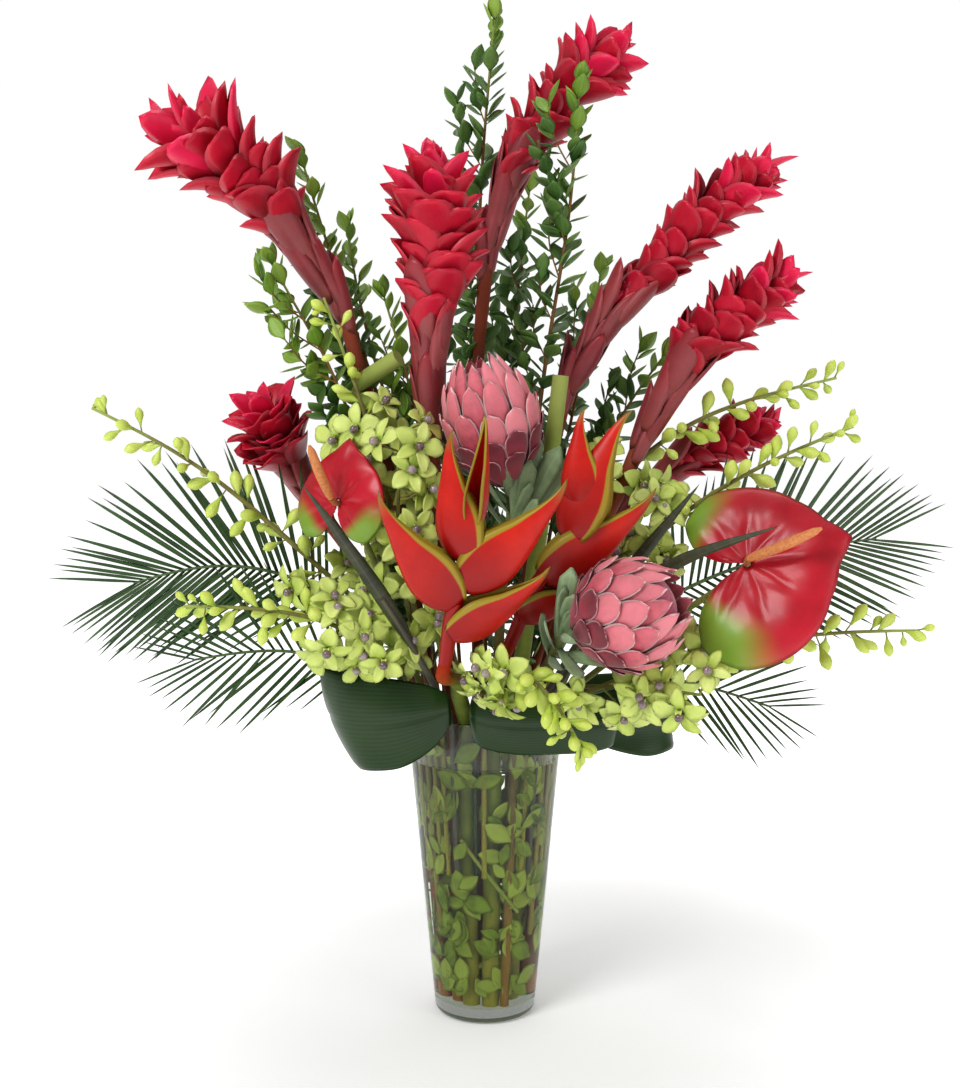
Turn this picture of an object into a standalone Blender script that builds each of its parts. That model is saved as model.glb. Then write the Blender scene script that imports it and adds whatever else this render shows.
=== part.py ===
"""A tall tropical bouquet in a tapered glass vase, led by seven red ginger blooms.

Metres, +Z up. The origin is the centre of the vase's flat foot and -Y is the front.
The blooms, leaves and stems are held by the vase and the water; nothing in it moves.

Order of making: the vase, the routes of all the stems, the big blooms, and then the
sprays, fronds and leafy sprigs, whose small parts are turned clear of what is there.
"""
import math

import bmesh
import bpy
import numpy as np
from mathutils import Matrix, Vector
from mathutils.bvhtree import BVHTree

# Vase: a florist's tapered cylinder, twelve inches tall.
VASE_HEIGHT = 0.305
MOUTH_RADIUS = 0.079
FOOT_RADIUS = 0.051
VASE_WALL = 0.004
VASE_FLOOR = 0.014
FOOT_ROUNDING = 0.007
VASE_SIDES = 32
WATER_LEVEL = 0.258

# Clearances between pieces.
TOUCH_GAP = 0.0003
HOLE_GAP = 0.0004
SLOT_GAP = 0.0014
STEM_GAP = 0.0030
LEAF_GAP = 0.0012

# Where the stems cross the plane of the mouth, and the spacing of their route points.
RIM_PLANE = 0.297
ROUTE_STEP = 0.020
THICK_TOLERANCE = 0.0009
THIN_TOLERANCE = 0.0023

GOLDEN_ANGLE = math.radians(137.508)

# Colour, roughness and transmission of each material.
COLOURS = {
    "clear_glass": ((0.86, 0.93, 0.90), 0.03, 0.9),
    "water": ((0.80, 0.88, 0.84), 0.02, 0.9),
    "ginger_bract": ((0.62, 0.010, 0.040), 0.38, 0.0),
    "ginger_sheath": ((0.36, 0.13, 0.10), 0.55, 0.0),
    "heliconia_bract": ((0.78, 0.070, 0.012), 0.35, 0.0),
    "heliconia_stem": ((0.20, 0.26, 0.05), 0.50, 0.0),
    "protea_bract": ((0.70, 0.20, 0.25), 0.60, 0.0),
    "protea_leaf": ((0.20, 0.29, 0.17), 0.60, 0.0),
    "anthurium_spathe": ((0.72, 0.035, 0.06), 0.16, 0.0),
    "anthurium_stalk": ((0.46, 0.22, 0.07), 0.50, 0.0),
    "orchid_tepal": ((0.66, 0.75, 0.22), 0.50, 0.0),
    "palm_leaf": ((0.045, 0.12, 0.045), 0.45, 0.0),
    "broad_leaf": ((0.025, 0.10, 0.025), 0.28, 0.0),
    "spear_leaf": ((0.09, 0.10, 0.05), 0.50, 0.0),
    "cut_stem": ((0.30, 0.36, 0.09), 0.55, 0.0),
    "myrtle_leaf": ((0.06, 0.17, 0.035), 0.40, 0.0),
}

# The routes. Each stem has a radius, the height of its cut foot and the points that it
# passes above the rim, x right, y back, z up. A short stem's foot hangs in the water.
DEEP = VASE_FLOOR + 0.002
MIDDLE = 0.085
SHALLOW = 0.150

STEMS = {
    "ginger_1": (0.0062, DEEP, [(-0.080, 0.000, 0.480), (-0.109, 0.000, 0.587), (-0.131, 0.000, 0.675)]),
    "ginger_2": (0.0062, DEEP, [(-0.044, -0.030, 0.480), (-0.051, -0.040, 0.570)]),
    "ginger_3": (0.0062, DEEP, [(-0.010, 0.055, 0.494), (-0.012, 0.070, 0.615), (-0.003, 0.070, 0.730)]),
    "ginger_4": (0.0062, DEEP, [(0.045, 0.025, 0.475), (0.068, 0.030, 0.570), (0.080, 0.030, 0.605)]),
    "ginger_5": (0.0062, DEEP, [(0.085, 0.010, 0.446), (0.130, 0.010, 0.530)]),
    "ginger_6": (0.0055, DEEP, [(-0.105, 0.045, 0.422), (-0.155, 0.050, 0.490)]),
    "ginger_7": (0.0055, DEEP, [(0.075, 0.075, 0.420), (0.130, 0.080, 0.485)]),
    "heliconia_1": (0.0078, DEEP, [(-0.026, -0.105, 0.352), (-0.034, -0.145, 0.368)]),
    "heliconia_2": (0.0078, DEEP, [(0.020, -0.095, 0.354), (0.021, -0.112, 0.376)]),
    "protea_1": (0.0045, DEEP, [(0.014, -0.050, 0.430), (0.021, -0.066, 0.510)]),
    "protea_2": (0.0045, DEEP, [(0.052, -0.110, 0.362), (0.072, -0.158, 0.398)]),
    "anthurium_1": (0.0030, MIDDLE, [(0.110, -0.085, 0.372), (0.178, -0.120, 0.414),
                                     (0.228, -0.140, 0.458)]),
    "anthurium_2": (0.0030, MIDDLE, [(-0.068, -0.050, 0.390), (-0.104, -0.070, 0.453),
                                     (-0.131, -0.090, 0.509)]),
    "orchid_spray_1": (0.0026, SHALLOW, [(-0.080, -0.035, 0.395), (-0.130, -0.042, 0.430),
                                         (-0.180, -0.050, 0.466), (-0.247, -0.050, 0.540),
                                         (-0.319, -0.060, 0.585), (-0.374, -0.060, 0.606)]),
    "orchid_spray_2": (0.0026, SHALLOW, [(-0.080, -0.100, 0.385), (-0.135, -0.145, 0.425),
                                         (-0.204, -0.160, 0.433), (-0.267, -0.160, 0.428)]),
    "orchid_spray_3": (0.0026, SHALLOW, [(-0.068, -0.050, 0.420), (-0.089, -0.060, 0.500),
                                         (-0.108, -0.060, 0.595), (-0.138, -0.050, 0.667),
                                         (-0.154, -0.050, 0.711)]),
    "orchid_spray_4": (0.0026, SHALLOW, [(-0.066, -0.090, 0.385), (-0.090, -0.115, 0.456),
                                         (-0.082, -0.115, 0.535), (-0.077, -0.100, 0.585)]),
    "orchid_spray_5": (0.0026, SHALLOW, [(0.000, -0.130, 0.372), (0.015, -0.190, 0.392),
                                         (0.042, -0.215, 0.396), (0.070, -0.225, 0.368),
                                         (0.082, -0.220, 0.311)]),
    "orchid_spray_6": (0.0026, SHALLOW, [(0.090, 0.005, 0.480), (0.160, 0.010, 0.582),
                                         (0.221, 0.010, 0.614), (0.284, 0.000, 0.625),
                                         (0.349, 0.000, 0.638)]),
    "orchid_spray_7": (0.0026, SHALLOW, [(0.110, -0.050, 0.431), (0.168, -0.085, 0.508),
                                         (0.236, -0.095, 0.546), (0.293, -0.090, 0.573),
                                         (0.342, -0.090, 0.588)]),
    "orchid_spray_8": (0.0026, SHALLOW, [(0.118, -0.070, 0.356), (0.197, -0.110, 0.376),
                                         (0.288, -0.120, 0.404), (0.397, -0.120, 0.401)]),
    "orchid_spray_9": (0.0026, SHALLOW, [(0.080, -0.110, 0.352), (0.125, -0.165, 0.364),
                                         (0.187, -0.185, 0.353)]),
    "palm_frond_1": (0.0026, SHALLOW, [(-0.116, 0.010, 0.415), (-0.186, 0.000, 0.448),
                                       (-0.244, 0.000, 0.467), (-0.296, -0.010, 0.464),
                                       (-0.345, -0.030, 0.436)]),
    "palm_frond_2": (0.0026, SHALLOW, [(0.129, 0.030, 0.392), (0.215, 0.040, 0.435), (0.285, 0.030, 0.462),
                                       (0.345, 0.015, 0.478), (0.392, 0.000, 0.478)]),
    "palm_frond_3": (0.0026, SHALLOW, [(-0.145, -0.010, 0.378), (-0.216, -0.030, 0.383),
                                       (-0.284, -0.050, 0.363)]),
    "palm_frond_4": (0.0026, SHALLOW, [(0.140, -0.020, 0.358), (0.223, -0.040, 0.345),
                                       (0.277, -0.055, 0.318)]),
    "broad_leaf_1": (0.0026, SHALLOW, [(-0.070, -0.030, 0.320), (-0.099, -0.0255, 0.324)]),
    "broad_leaf_2": (0.0026, SHALLOW, [(-0.004, -0.073, 0.319), (-0.012, -0.092, 0.320)]),
    "broad_leaf_3": (0.0026, SHALLOW, [(0.072, 0.000, 0.319), (0.098, 0.004, 0.324)]),
    "spear_leaf_1": (0.0032, SHALLOW, [(-0.055, -0.120, 0.374), (-0.100, -0.170, 0.451),
                                       (-0.157, -0.195, 0.537)]),
    "spear_leaf_2": (0.0032, SHALLOW, [(0.106, -0.110, 0.415), (0.148, -0.175, 0.461),
                                       (0.192, -0.200, 0.480), (0.247, -0.215, 0.502)]),
    "spear_leaf_3": (0.0032, SHALLOW, [(0.105, -0.070, 0.420), (0.140, -0.125, 0.465),
                                       (0.165, -0.140, 0.499), (0.190, -0.150, 0.536)]),
    "cut_stem_1": (0.0085, DEEP, [(-0.056, -0.022, 0.448), (-0.078, -0.030, 0.576),
                                  (-0.084, -0.032, 0.656)]),
    "cut_stem_2": (0.0080, DEEP, [(0.049, -0.020, 0.458), (0.066, -0.020, 0.560), (0.074, -0.022, 0.639)]),
    "myrtle_sprig_1": (0.0021, MIDDLE, [(0.001, 0.090, 0.556), (-0.009, 0.100, 0.725),
                                        (-0.006, 0.100, 0.848), (0.010, 0.090, 1.014)]),
    "myrtle_sprig_2": (0.0021, MIDDLE, [(0.049, 0.035, 0.560), (0.062, 0.020, 0.679), (0.088, 0.010, 0.798),
                                        (0.093, 0.010, 0.926)]),
    "myrtle_sprig_3": (0.0021, MIDDLE, [(-0.085, 0.045, 0.557), (-0.126, 0.055, 0.669),
                                        (-0.161, 0.055, 0.768), (-0.187, 0.045, 0.865)]),
    "myrtle_sprig_4": (0.0021, MIDDLE, [(-0.085, 0.010, 0.517), (-0.140, -0.020, 0.635),
                                        (-0.175, -0.035, 0.690), (-0.204, -0.045, 0.744)]),
    "myrtle_sprig_5": (0.0021, MIDDLE, [(-0.076, 0.080, 0.546), (-0.112, 0.090, 0.640),
                                        (-0.138, 0.095, 0.723), (-0.145, 0.090, 0.799)]),
    "myrtle_sprig_6": (0.0021, MIDDLE, [(-0.055, 0.010, 0.557), (-0.075, 0.015, 0.636),
                                        (-0.087, 0.020, 0.685), (-0.101, 0.020, 0.719)]),
    "myrtle_sprig_7": (0.0021, MIDDLE, [(0.030, 0.130, 0.589), (0.031, 0.145, 0.698), (0.039, 0.150, 0.785),
                                        (0.049, 0.150, 0.849)]),
    "myrtle_sprig_8": (0.0021, MIDDLE, [(0.085, 0.120, 0.567), (0.104, 0.135, 0.643), (0.121, 0.145, 0.709),
                                        (0.128, 0.150, 0.763)]),
    "myrtle_sprig_9": (0.0021, MIDDLE, [(0.095, 0.095, 0.500), (0.130, 0.085, 0.598), (0.160, 0.075, 0.640),
                                        (0.187, 0.070, 0.665)]),
    "myrtle_sprig_10": (0.0021, MIDDLE, [(-0.044, 0.120, 0.578), (-0.049, 0.135, 0.676),
                                         (-0.036, 0.145, 0.753), (-0.022, 0.150, 0.828)]),
}

# The ginger heads: the axis, the half width at the widest, and the number of bracts.
GINGER_HEADS = {
    "ginger_1": ([(-0.148, -0.002, 0.713), (-0.179, -0.010, 0.764), (-0.215, -0.020, 0.812),
                  (-0.255, -0.035, 0.843), (-0.290, -0.050, 0.852)], 0.052, 21),
    "ginger_2": ([(-0.053, -0.042, 0.603), (-0.052, -0.048, 0.676), (-0.047, -0.053, 0.742),
                  (-0.048, -0.057, 0.815)], 0.052, 22),
    "ginger_3": ([(0.006, 0.070, 0.776), (0.020, 0.069, 0.826), (0.042, 0.065, 0.878),
                  (0.080, 0.059, 0.930), (0.126, 0.052, 0.966)], 0.045, 20),
    "ginger_4": ([(0.088, 0.030, 0.632), (0.121, 0.025, 0.693), (0.171, 0.020, 0.749),
                  (0.222, 0.010, 0.800), (0.262, 0.002, 0.833)], 0.046, 22),
    "ginger_5": ([(0.161, 0.002, 0.583), (0.192, -0.008, 0.641), (0.226, -0.018, 0.682),
                  (0.264, -0.028, 0.713), (0.282, -0.034, 0.726)], 0.048, 20),
    "ginger_6": ([(-0.174, 0.045, 0.512), (-0.194, 0.030, 0.548), (-0.211, 0.012, 0.581),
                  (-0.216, -0.002, 0.598)], 0.045, 13),
    "ginger_7": ([(0.154, 0.078, 0.508), (0.200, 0.068, 0.548), (0.240, 0.060, 0.572),
                  (0.270, 0.054, 0.586)], 0.040, 15),
}

# The protea heads: base, tip and half width.
PROTEA_HEADS = {
    "protea_1": ((0.022, -0.070, 0.534), (-0.007, -0.095, 0.640), 0.046),
    "protea_2": ((0.080, -0.168, 0.404), (0.158, -0.205, 0.440), 0.050),
}

# The heliconias: the flower axis, and the base and tip of each folded bract.
HELICONIAS = {
    "heliconia_1": ([(-0.036, -0.160, 0.378), (-0.028, -0.185, 0.427), (-0.014, -0.190, 0.475),
                     (-0.010, -0.195, 0.523)],
                    [((-0.029, -0.180, 0.409), (0.057, -0.185, 0.450)),
                     ((-0.027, -0.188, 0.437), (-0.099, -0.215, 0.515)),
                     ((-0.019, -0.190, 0.454), (0.075, -0.200, 0.523)),
                     ((-0.015, -0.192, 0.476), (-0.042, -0.195, 0.573)),
                     ((-0.010, -0.195, 0.506), (0.002, -0.195, 0.589))]),
    "heliconia_2": ([(0.023, -0.120, 0.390), (0.049, -0.135, 0.449), (0.080, -0.140, 0.490),
                     (0.095, -0.140, 0.539)],
                    [((0.031, -0.130, 0.419), (0.104, -0.125, 0.440)),
                     ((0.054, -0.135, 0.456), (0.155, -0.145, 0.513)),
                     ((0.080, -0.140, 0.490), (0.112, -0.140, 0.600)),
                     ((0.089, -0.140, 0.517), (0.076, -0.140, 0.597))]),
}

# Open flowers and buds of each orchid spray, and the part of the route that carries them.
ORCHID_SPRAYS = {
    "orchid_spray_1": (3, 9, 0.22), "orchid_spray_2": (5, 7, 0.26), "orchid_spray_3": (6, 4, 0.30),
    "orchid_spray_4": (5, 0, 0.30), "orchid_spray_5": (4, 9, 0.34), "orchid_spray_6": (2, 9, 0.45),
    "orchid_spray_7": (3, 8, 0.40), "orchid_spray_8": (3, 8, 0.28), "orchid_spray_9": (4, 0, 0.40),
}

# Leaflet pairs and longest leaflet of each frond, leaves and leaf length of each sprig.
PALM_FRONDS = {"palm_frond_1": (14, 0.150, 0.42), "palm_frond_2": (14, 0.140, 0.42),
               "palm_frond_3": (9, 0.110, 0.36), "palm_frond_4": (8, 0.100, 0.36)}
MYRTLE_SPRIGS = {"myrtle_sprig_1": (22, 0.030), "myrtle_sprig_2": (18, 0.028),
                 "myrtle_sprig_3": (20, 0.026), "myrtle_sprig_4": (10, 0.028),
                 "myrtle_sprig_5": (12, 0.028), "myrtle_sprig_6": (9, 0.026),
                 "myrtle_sprig_7": (14, 0.028), "myrtle_sprig_8": (12, 0.028),
                 "myrtle_sprig_9": (11, 0.030), "myrtle_sprig_10": (13, 0.028)}


# The folded broad leaves: pairs of points on the lower and the upper edge.
BROAD_LEAVES = {
    "broad_leaf_1": [((-0.070, -0.030, 0.313), (-0.070, -0.030, 0.327)),
                     ((-0.098, -0.026, 0.310), (-0.102, -0.025, 0.338)),
                     ((-0.114, -0.036, 0.282), (-0.139, -0.034, 0.356)),
                     ((-0.121, -0.058, 0.269), (-0.156, -0.058, 0.367)),
                     ((-0.121, -0.084, 0.267), (-0.155, -0.086, 0.364)),
                     ((-0.108, -0.104, 0.267), (-0.135, -0.108, 0.360)),
                     ((-0.078, -0.114, 0.272), (-0.095, -0.116, 0.357)),
                     ((-0.050, -0.114, 0.289), (-0.055, -0.115, 0.350)),
                     ((-0.032, -0.106, 0.310), (-0.034, -0.107, 0.340))],
    "broad_leaf_2": [((-0.004, -0.073, 0.313), (-0.004, -0.073, 0.325)),
                     ((-0.012, -0.092, 0.306), (-0.012, -0.092, 0.334)),
                     ((-0.005, -0.104, 0.290), (-0.005, -0.104, 0.338)),
                     ((0.025, -0.111, 0.284), (0.025, -0.111, 0.338)),
                     ((0.060, -0.112, 0.284), (0.060, -0.112, 0.338)),
                     ((0.095, -0.108, 0.285), (0.095, -0.108, 0.338)),
                     ((0.117, -0.098, 0.288), (0.118, -0.098, 0.335)),
                     ((0.122, -0.085, 0.291), (0.122, -0.085, 0.332))],
    "broad_leaf_3": [((0.072, 0.000, 0.313), (0.072, 0.000, 0.326)),
                     ((0.098, 0.004, 0.309), (0.098, 0.004, 0.338)),
                     ((0.135, 0.002, 0.298), (0.135, 0.002, 0.342)),
                     ((0.170, -0.008, 0.284), (0.172, -0.006, 0.338)),
                     ((0.186, -0.026, 0.277), (0.190, -0.026, 0.334)),
                     ((0.180, -0.046, 0.274), (0.184, -0.048, 0.331)),
                     ((0.155, -0.060, 0.271), (0.155, -0.062, 0.328)),
                     ((0.120, -0.064, 0.279), (0.120, -0.066, 0.324)),
                     ((0.100, -0.062, 0.290), (0.100, -0.064, 0.320))],
}
LEAF_THICKNESS = 0.0013

# The anthurium hearts: where the stalk passes through, the tip's direction, the way the
# glossy face looks, the way the spadix points, and the heart's reach round the stalk.
ANTHURIUMS = {
    "anthurium_1": ((0.233, -0.150, 0.465), (0.925, -0.237, 0.296), (-0.342, -0.857, 0.382),
                    [(0.232, -0.160, 0.470), (0.258, -0.180, 0.483), (0.287, -0.198, 0.499)],
                    (0.076, 0.094)),
    "anthurium_2": ((-0.136, -0.105, 0.517), (-0.050, -0.130, 0.990), (-0.620, -0.750, 0.150),
                    [(-0.141, -0.115, 0.522), (-0.150, -0.127, 0.545), (-0.158, -0.136, 0.570)],
                    (0.056, 0.056)),
}


def unit(vector):
    """The vector at length one."""
    vector = np.asarray(vector, float)
    return vector / max(np.linalg.norm(vector), 1e-12)


def lerp(value, points):
    """Read a value from a short list of (position, value) pairs."""
    return float(np.interp(value, [p[0] for p in points], [p[1] for p in points]))


def clear_scene():
    """Remove whatever the file opened with."""
    for item in list(bpy.data.objects):
        bpy.data.objects.remove(item, do_unlink=True)


def material(name):
    """One Principled material with the named colour."""
    found = bpy.data.materials.get(name)
    if found:
        return found
    colour, roughness, transmission = COLOURS[name]
    made = bpy.data.materials.new(name)
    made.use_nodes = True
    shader = made.node_tree.nodes["Principled BSDF"]
    shader.inputs["Base Color"].default_value = (*colour, 1.0)
    shader.inputs["Roughness"].default_value = roughness
    shader.inputs["Metallic"].default_value = 0.0
    shader.inputs["Transmission Weight"].default_value = transmission
    made.diffuse_color = (*colour, 1.0)
    return made


# Curves.


def catmull_rom(points, per_span=8):
    """A smooth curve through the points."""
    points = np.asarray(points, float)
    first = 2 * points[0] - points[1]
    last = 2 * points[-1] - points[-2]
    padded = np.vstack([first, points, last])
    out = []
    for i in range(1, len(padded) - 2):
        a, b, c, d = padded[i - 1], padded[i], padded[i + 1], padded[i + 2]
        for k in range(per_span):
            t = k / per_span
            out.append(0.5 * (2 * b + (c - a) * t + (2 * a - 5 * b + 4 * c - d) * t * t
                              + (3 * b - a - 3 * c + d) * t ** 3))
    out.append(points[-1])
    return np.array(out)


def resample(points, count):
    """The same line with evenly spaced points."""
    points = np.asarray(points, float)
    steps = np.linalg.norm(np.diff(points, axis=0), axis=1)
    length = np.concatenate([[0.0], np.cumsum(steps)])
    wanted = np.linspace(0.0, length[-1], count)
    return np.stack([np.interp(wanted, length, points[:, k]) for k in range(3)], axis=1)


def curve_length(points):
    return float(np.linalg.norm(np.diff(points, axis=0), axis=1).sum())


def at_fraction(points, fraction):
    """Position and direction at a fraction of an evenly spaced line."""
    place = np.clip(fraction, 0.0, 1.0) * (len(points) - 1)
    low = int(min(math.floor(place), len(points) - 2))
    here = points[low] + (points[low + 1] - points[low]) * (place - low)
    ahead = points[min(low + 2, len(points) - 1)]
    behind = points[max(low - 1, 0)]
    return here, unit(ahead - behind)


def thin_out(points, tolerance):
    """Keep only the points that the line needs, within the tolerance."""
    keep = [0, len(points) - 1]
    stack = [(0, len(points) - 1)]
    while stack:
        a, b = stack.pop()
        if b - a < 2:
            continue
        line = unit(points[b] - points[a])
        offset = points[a + 1:b] - points[a]
        away = np.linalg.norm(offset - np.outer(offset @ line, line), axis=1)
        worst = int(np.argmax(away))
        if away[worst] > tolerance:
            middle = a + 1 + worst
            keep.append(middle)
            stack += [(a, middle), (middle, b)]
    return points[sorted(keep)]


def tube(points, radii, sides, turn=0.0):
    """A closed stem of straight mitred lengths along the points."""
    points = np.asarray(points, float)
    runs = [unit(b - a) for a, b in zip(points[:-1], points[1:])]
    seed = (0, 0, 1) if abs(runs[0][2]) < 0.8 else (0, 1, 0)
    across = unit(np.cross(runs[0], seed))
    up = np.cross(runs[0], across)
    angles = [turn + 2 * math.pi * k / sides for k in range(sides)]
    ring = np.array([math.cos(a) * across + math.sin(a) * up for a in angles])
    verts = [points[0] + radii[0] * ring]
    for i in range(1, len(points)):
        run = runs[i - 1]
        plane = unit(run + runs[i]) if i < len(runs) else run
        ring = ring - np.outer(ring @ plane, run) / (plane @ run)
        verts.append(points[i] + radii[i] * ring)
    verts = np.vstack(verts)
    faces = [tuple(range(sides - 1, -1, -1))]
    for i in range(len(points) - 1):
        for k in range(sides):
            a, b = i * sides + k, i * sides + (k + 1) % sides
            faces.append((a, b, b + sides, a + sides))
    last = (len(points) - 1) * sides
    faces.append(tuple(range(last, last + sides)))
    return verts, faces


def blade(root, along, normal, length, width, thickness, cup=0.0, curl=0.0, stations=((0.6, 1.0),)):
    """A closed leaf or petal: a pointed root, stations of three points and a pointed tip.

    Each station has two edges and a raised middle on the far side from the normal. The
    edges rise by cup times the half width, and the tip bends by curl times the length,
    both towards the normal. Both faces are split into triangles alike.
    """
    root, along, normal = np.asarray(root, float), unit(along), np.asarray(normal, float)
    normal = unit(normal - along * (normal @ along))
    across = np.cross(along, normal)
    verts = [root]
    for t, share in stations:
        centre = root + along * length * t + normal * curl * length * t * t
        half = 0.5 * width * share
        rise = normal * cup * half
        edge = across * half
        verts += [centre + edge + rise, centre - edge + rise, centre - normal * thickness * share]
    verts.append(root + along * length + normal * curl * length)
    faces = [(0, 2, 1), (0, 3, 2), (0, 1, 3)]
    for s in range(len(stations) - 1):
        a = 1 + 3 * s
        faces += [(a, a + 1, a + 4), (a, a + 4, a + 3), (a + 1, a + 2, a + 4), (a + 2, a + 5, a + 4),
                  (a + 2, a, a + 3), (a + 2, a + 3, a + 5)]
    a, tip = 1 + 3 * (len(stations) - 1), len(verts) - 1
    faces += [(a, a + 1, tip), (a + 1, a + 2, tip), (a + 2, a, tip)]
    return np.array(verts), faces


def bud(root, along, length, width):
    """A small closed bud on a tapering stalk, three-sided."""
    along = unit(along)
    seed = (0, 0, 1) if abs(along[2]) < 0.8 else (1, 0, 0)
    across = unit(np.cross(along, seed))
    up = np.cross(along, across)
    verts = [np.asarray(root, float)]
    centre = verts[0] + along * length * 0.66
    for k in range(3):
        angle = 2 * math.pi * k / 3
        verts.append(centre + 0.55 * width * (math.cos(angle) * across + math.sin(angle) * up))
    verts.append(verts[0] + along * length)
    faces = []
    for k in range(3):
        a, b = 1 + k, 1 + (k + 1) % 3
        faces += [(0, b, a), (a, b, 4)]
    return np.array(verts), faces


def signed_volume(verts, faces):
    """Volume of a closed mesh; negative where it is inside out."""
    total = 0.0
    for face in faces:
        for k in range(1, len(face) - 1):
            total += np.dot(verts[face[0]], np.cross(verts[face[k]], verts[face[k + 1]]))
    return total / 6.0


def outward(mesh):
    """The mesh with its faces pointing out."""
    verts, faces = mesh
    if signed_volume(verts, faces) < 0:
        faces = [tuple(reversed(face)) for face in faces]
    return verts, faces


def add_object(name, mesh, colour, smooth=None):
    """Make one named object from a closed mesh."""
    verts, faces = outward(mesh)
    data = bpy.data.meshes.new(name)
    data.from_pydata([tuple(v) for v in verts], [], faces)
    data.validate()
    data.materials.append(material(colour))
    item = bpy.data.objects.new(name, data)
    bpy.context.scene.collection.objects.link(item)
    if smooth is not None:
        data.shade_smooth()
        data.set_sharp_from_angle(angle=math.radians(smooth))
    return item


def unite(name, core, bits, colour):
    """Fuse small parts to the piece they grow from, in one Boolean union."""
    item = add_object(name, core, colour)
    if not bits:
        return item
    group = bpy.data.collections.new(name + "_bits")
    bpy.context.scene.collection.children.link(group)
    for number, bit in enumerate(bits):
        extra = add_object("bit_%d" % number, bit, colour)
        bpy.context.scene.collection.objects.unlink(extra)
        group.objects.link(extra)
    union = item.modifiers.new("union", "BOOLEAN")
    union.operation = "UNION"
    union.operand_type = "COLLECTION"
    union.collection = group
    union.solver = "EXACT"
    apply_modifiers(item)
    for extra in list(group.objects):
        bpy.data.objects.remove(extra, do_unlink=True)
    bpy.data.collections.remove(group)
    return item


def apply_modifiers(item):
    """Bake the modifiers into the mesh."""
    bpy.context.view_layer.update()
    shape = item.evaluated_get(bpy.context.evaluated_depsgraph_get())
    data = bpy.data.meshes.new_from_object(shape)
    old = item.data
    item.modifiers.clear()
    item.data = data
    data.name = item.name
    bpy.data.meshes.remove(old)


# What is already in place, so that later leaves and florets turn clear of it.

PLACED = {}


def place(name, mesh):
    """Remember a solid as an obstacle for what is made after it."""
    verts, faces = outward(mesh)
    PLACED.setdefault(name, []).append((verts, faces))


def obstacle_tree(without):
    """A search tree of every placed solid but one node's own."""
    verts, faces = [], []
    for name, meshes in PLACED.items():
        if name == without:
            continue
        for points, polygons in meshes:
            start = len(verts)
            verts += [tuple(p) for p in points]
            faces += [tuple(i + start for i in polygon) for polygon in polygons]
    return BVHTree.FromPolygons(verts, faces)


def swollen(mesh, amount):
    """The mesh grown about its middle by the amount on every side."""
    verts, faces = mesh
    centre = verts.mean(axis=0)
    away = verts - centre
    size = np.linalg.norm(away, axis=1, keepdims=True)
    return centre + away * (1 + amount / np.maximum(size, 1e-6)), faces


def is_clear(tree, mesh, gap=LEAF_GAP):
    """Whether a small solid keeps its distance from everything placed."""
    verts, faces = mesh
    for point in verts:
        near = tree.find_nearest(Vector(point), gap)
        if near[0] is not None:
            return False
    middle = Vector(verts.mean(axis=0))
    near = tree.find_nearest(middle, gap)
    if near[0] is not None:
        return False
    grown, faces = swollen(mesh, gap)
    probe = BVHTree.FromPolygons([tuple(v) for v in grown], faces)
    if tree.overlap(probe):
        return False
    return not is_inside(tree, middle)


def is_inside(tree, point):
    """Whether a point lies inside a placed solid, by counting the faces above it."""
    hits = 0
    start = point.copy()
    while hits < 60:
        place_hit = tree.ray_cast(start, Vector((0.0, 0.0, 1.0)))
        if place_hit[0] is None:
            break
        hits += 1
        start = place_hit[0] + Vector((0.0, 0.0, 1e-5))
    return hits % 2 == 1


# Stem routes.


def vase_radius(height):
    """Inner radius of the vase at a height."""
    slope = (MOUTH_RADIUS - FOOT_RADIUS) / (VASE_HEIGHT - VASE_FLOOR)
    return FOOT_RADIUS - VASE_WALL + slope * (height - VASE_FLOOR)


def foot_slots():
    """Pack the stems' feet as discs on the floor, each on the side it leans to."""
    names = list(STEMS)
    radii = np.array([STEMS[n][0] for n in names])
    limit = vase_radius(VASE_FLOOR) - 0.0018
    lean = []
    for name in names:
        points = np.array(STEMS[name][2])
        if points[-1][2] > points[0][2]:
            height = np.clip(0.42, points[0][2], points[-1][2])
            lean.append([np.interp(height, points[:, 2], points[:, k]) for k in range(2)])
        else:
            lean.append(points[0][:2])
    lean = np.array(lean)
    reach = np.linalg.norm(lean, axis=1, keepdims=True)
    spots = lean / np.maximum(reach, 1e-6) * (limit - radii[:, None]) * np.minimum(1.0, reach / 0.10)
    wish = spots.copy()
    need = radii[:, None] + radii[None, :] + SLOT_GAP
    np.fill_diagonal(need, 0.0)
    for step in range(3000):
        apart = spots[:, None, :] - spots[None, :, :]
        gap = np.linalg.norm(apart, axis=2) + 1e-9
        push = np.clip(need - gap, 0.0, None) / gap
        np.fill_diagonal(push, 0.0)
        spots = spots + 0.42 * (apart * push[:, :, None]).sum(axis=1)
        if step < 1500:
            spots = spots + 0.01 * (wish - spots)
        out = np.linalg.norm(spots, axis=1)
        most = limit - radii
        spots = spots * np.minimum(1.0, most / np.maximum(out, 1e-9))[:, None]
    apart = np.linalg.norm(spots[:, None] - spots[None, :], axis=2)
    worst = (need - apart)[np.triu_indices(len(names), 1)].max()
    print("slots: worst crowding %.2f mm" % (1000 * worst))
    return {name: np.round(spot, 4) for name, spot in zip(names, spots)}


def in_vase(slot, height):
    """Where a stem that starts at a floor slot is at a height inside the vase."""
    share = vase_radius(height) / vase_radius(VASE_FLOOR)
    return np.array([slot[0] * share, slot[1] * share, height])


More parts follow.
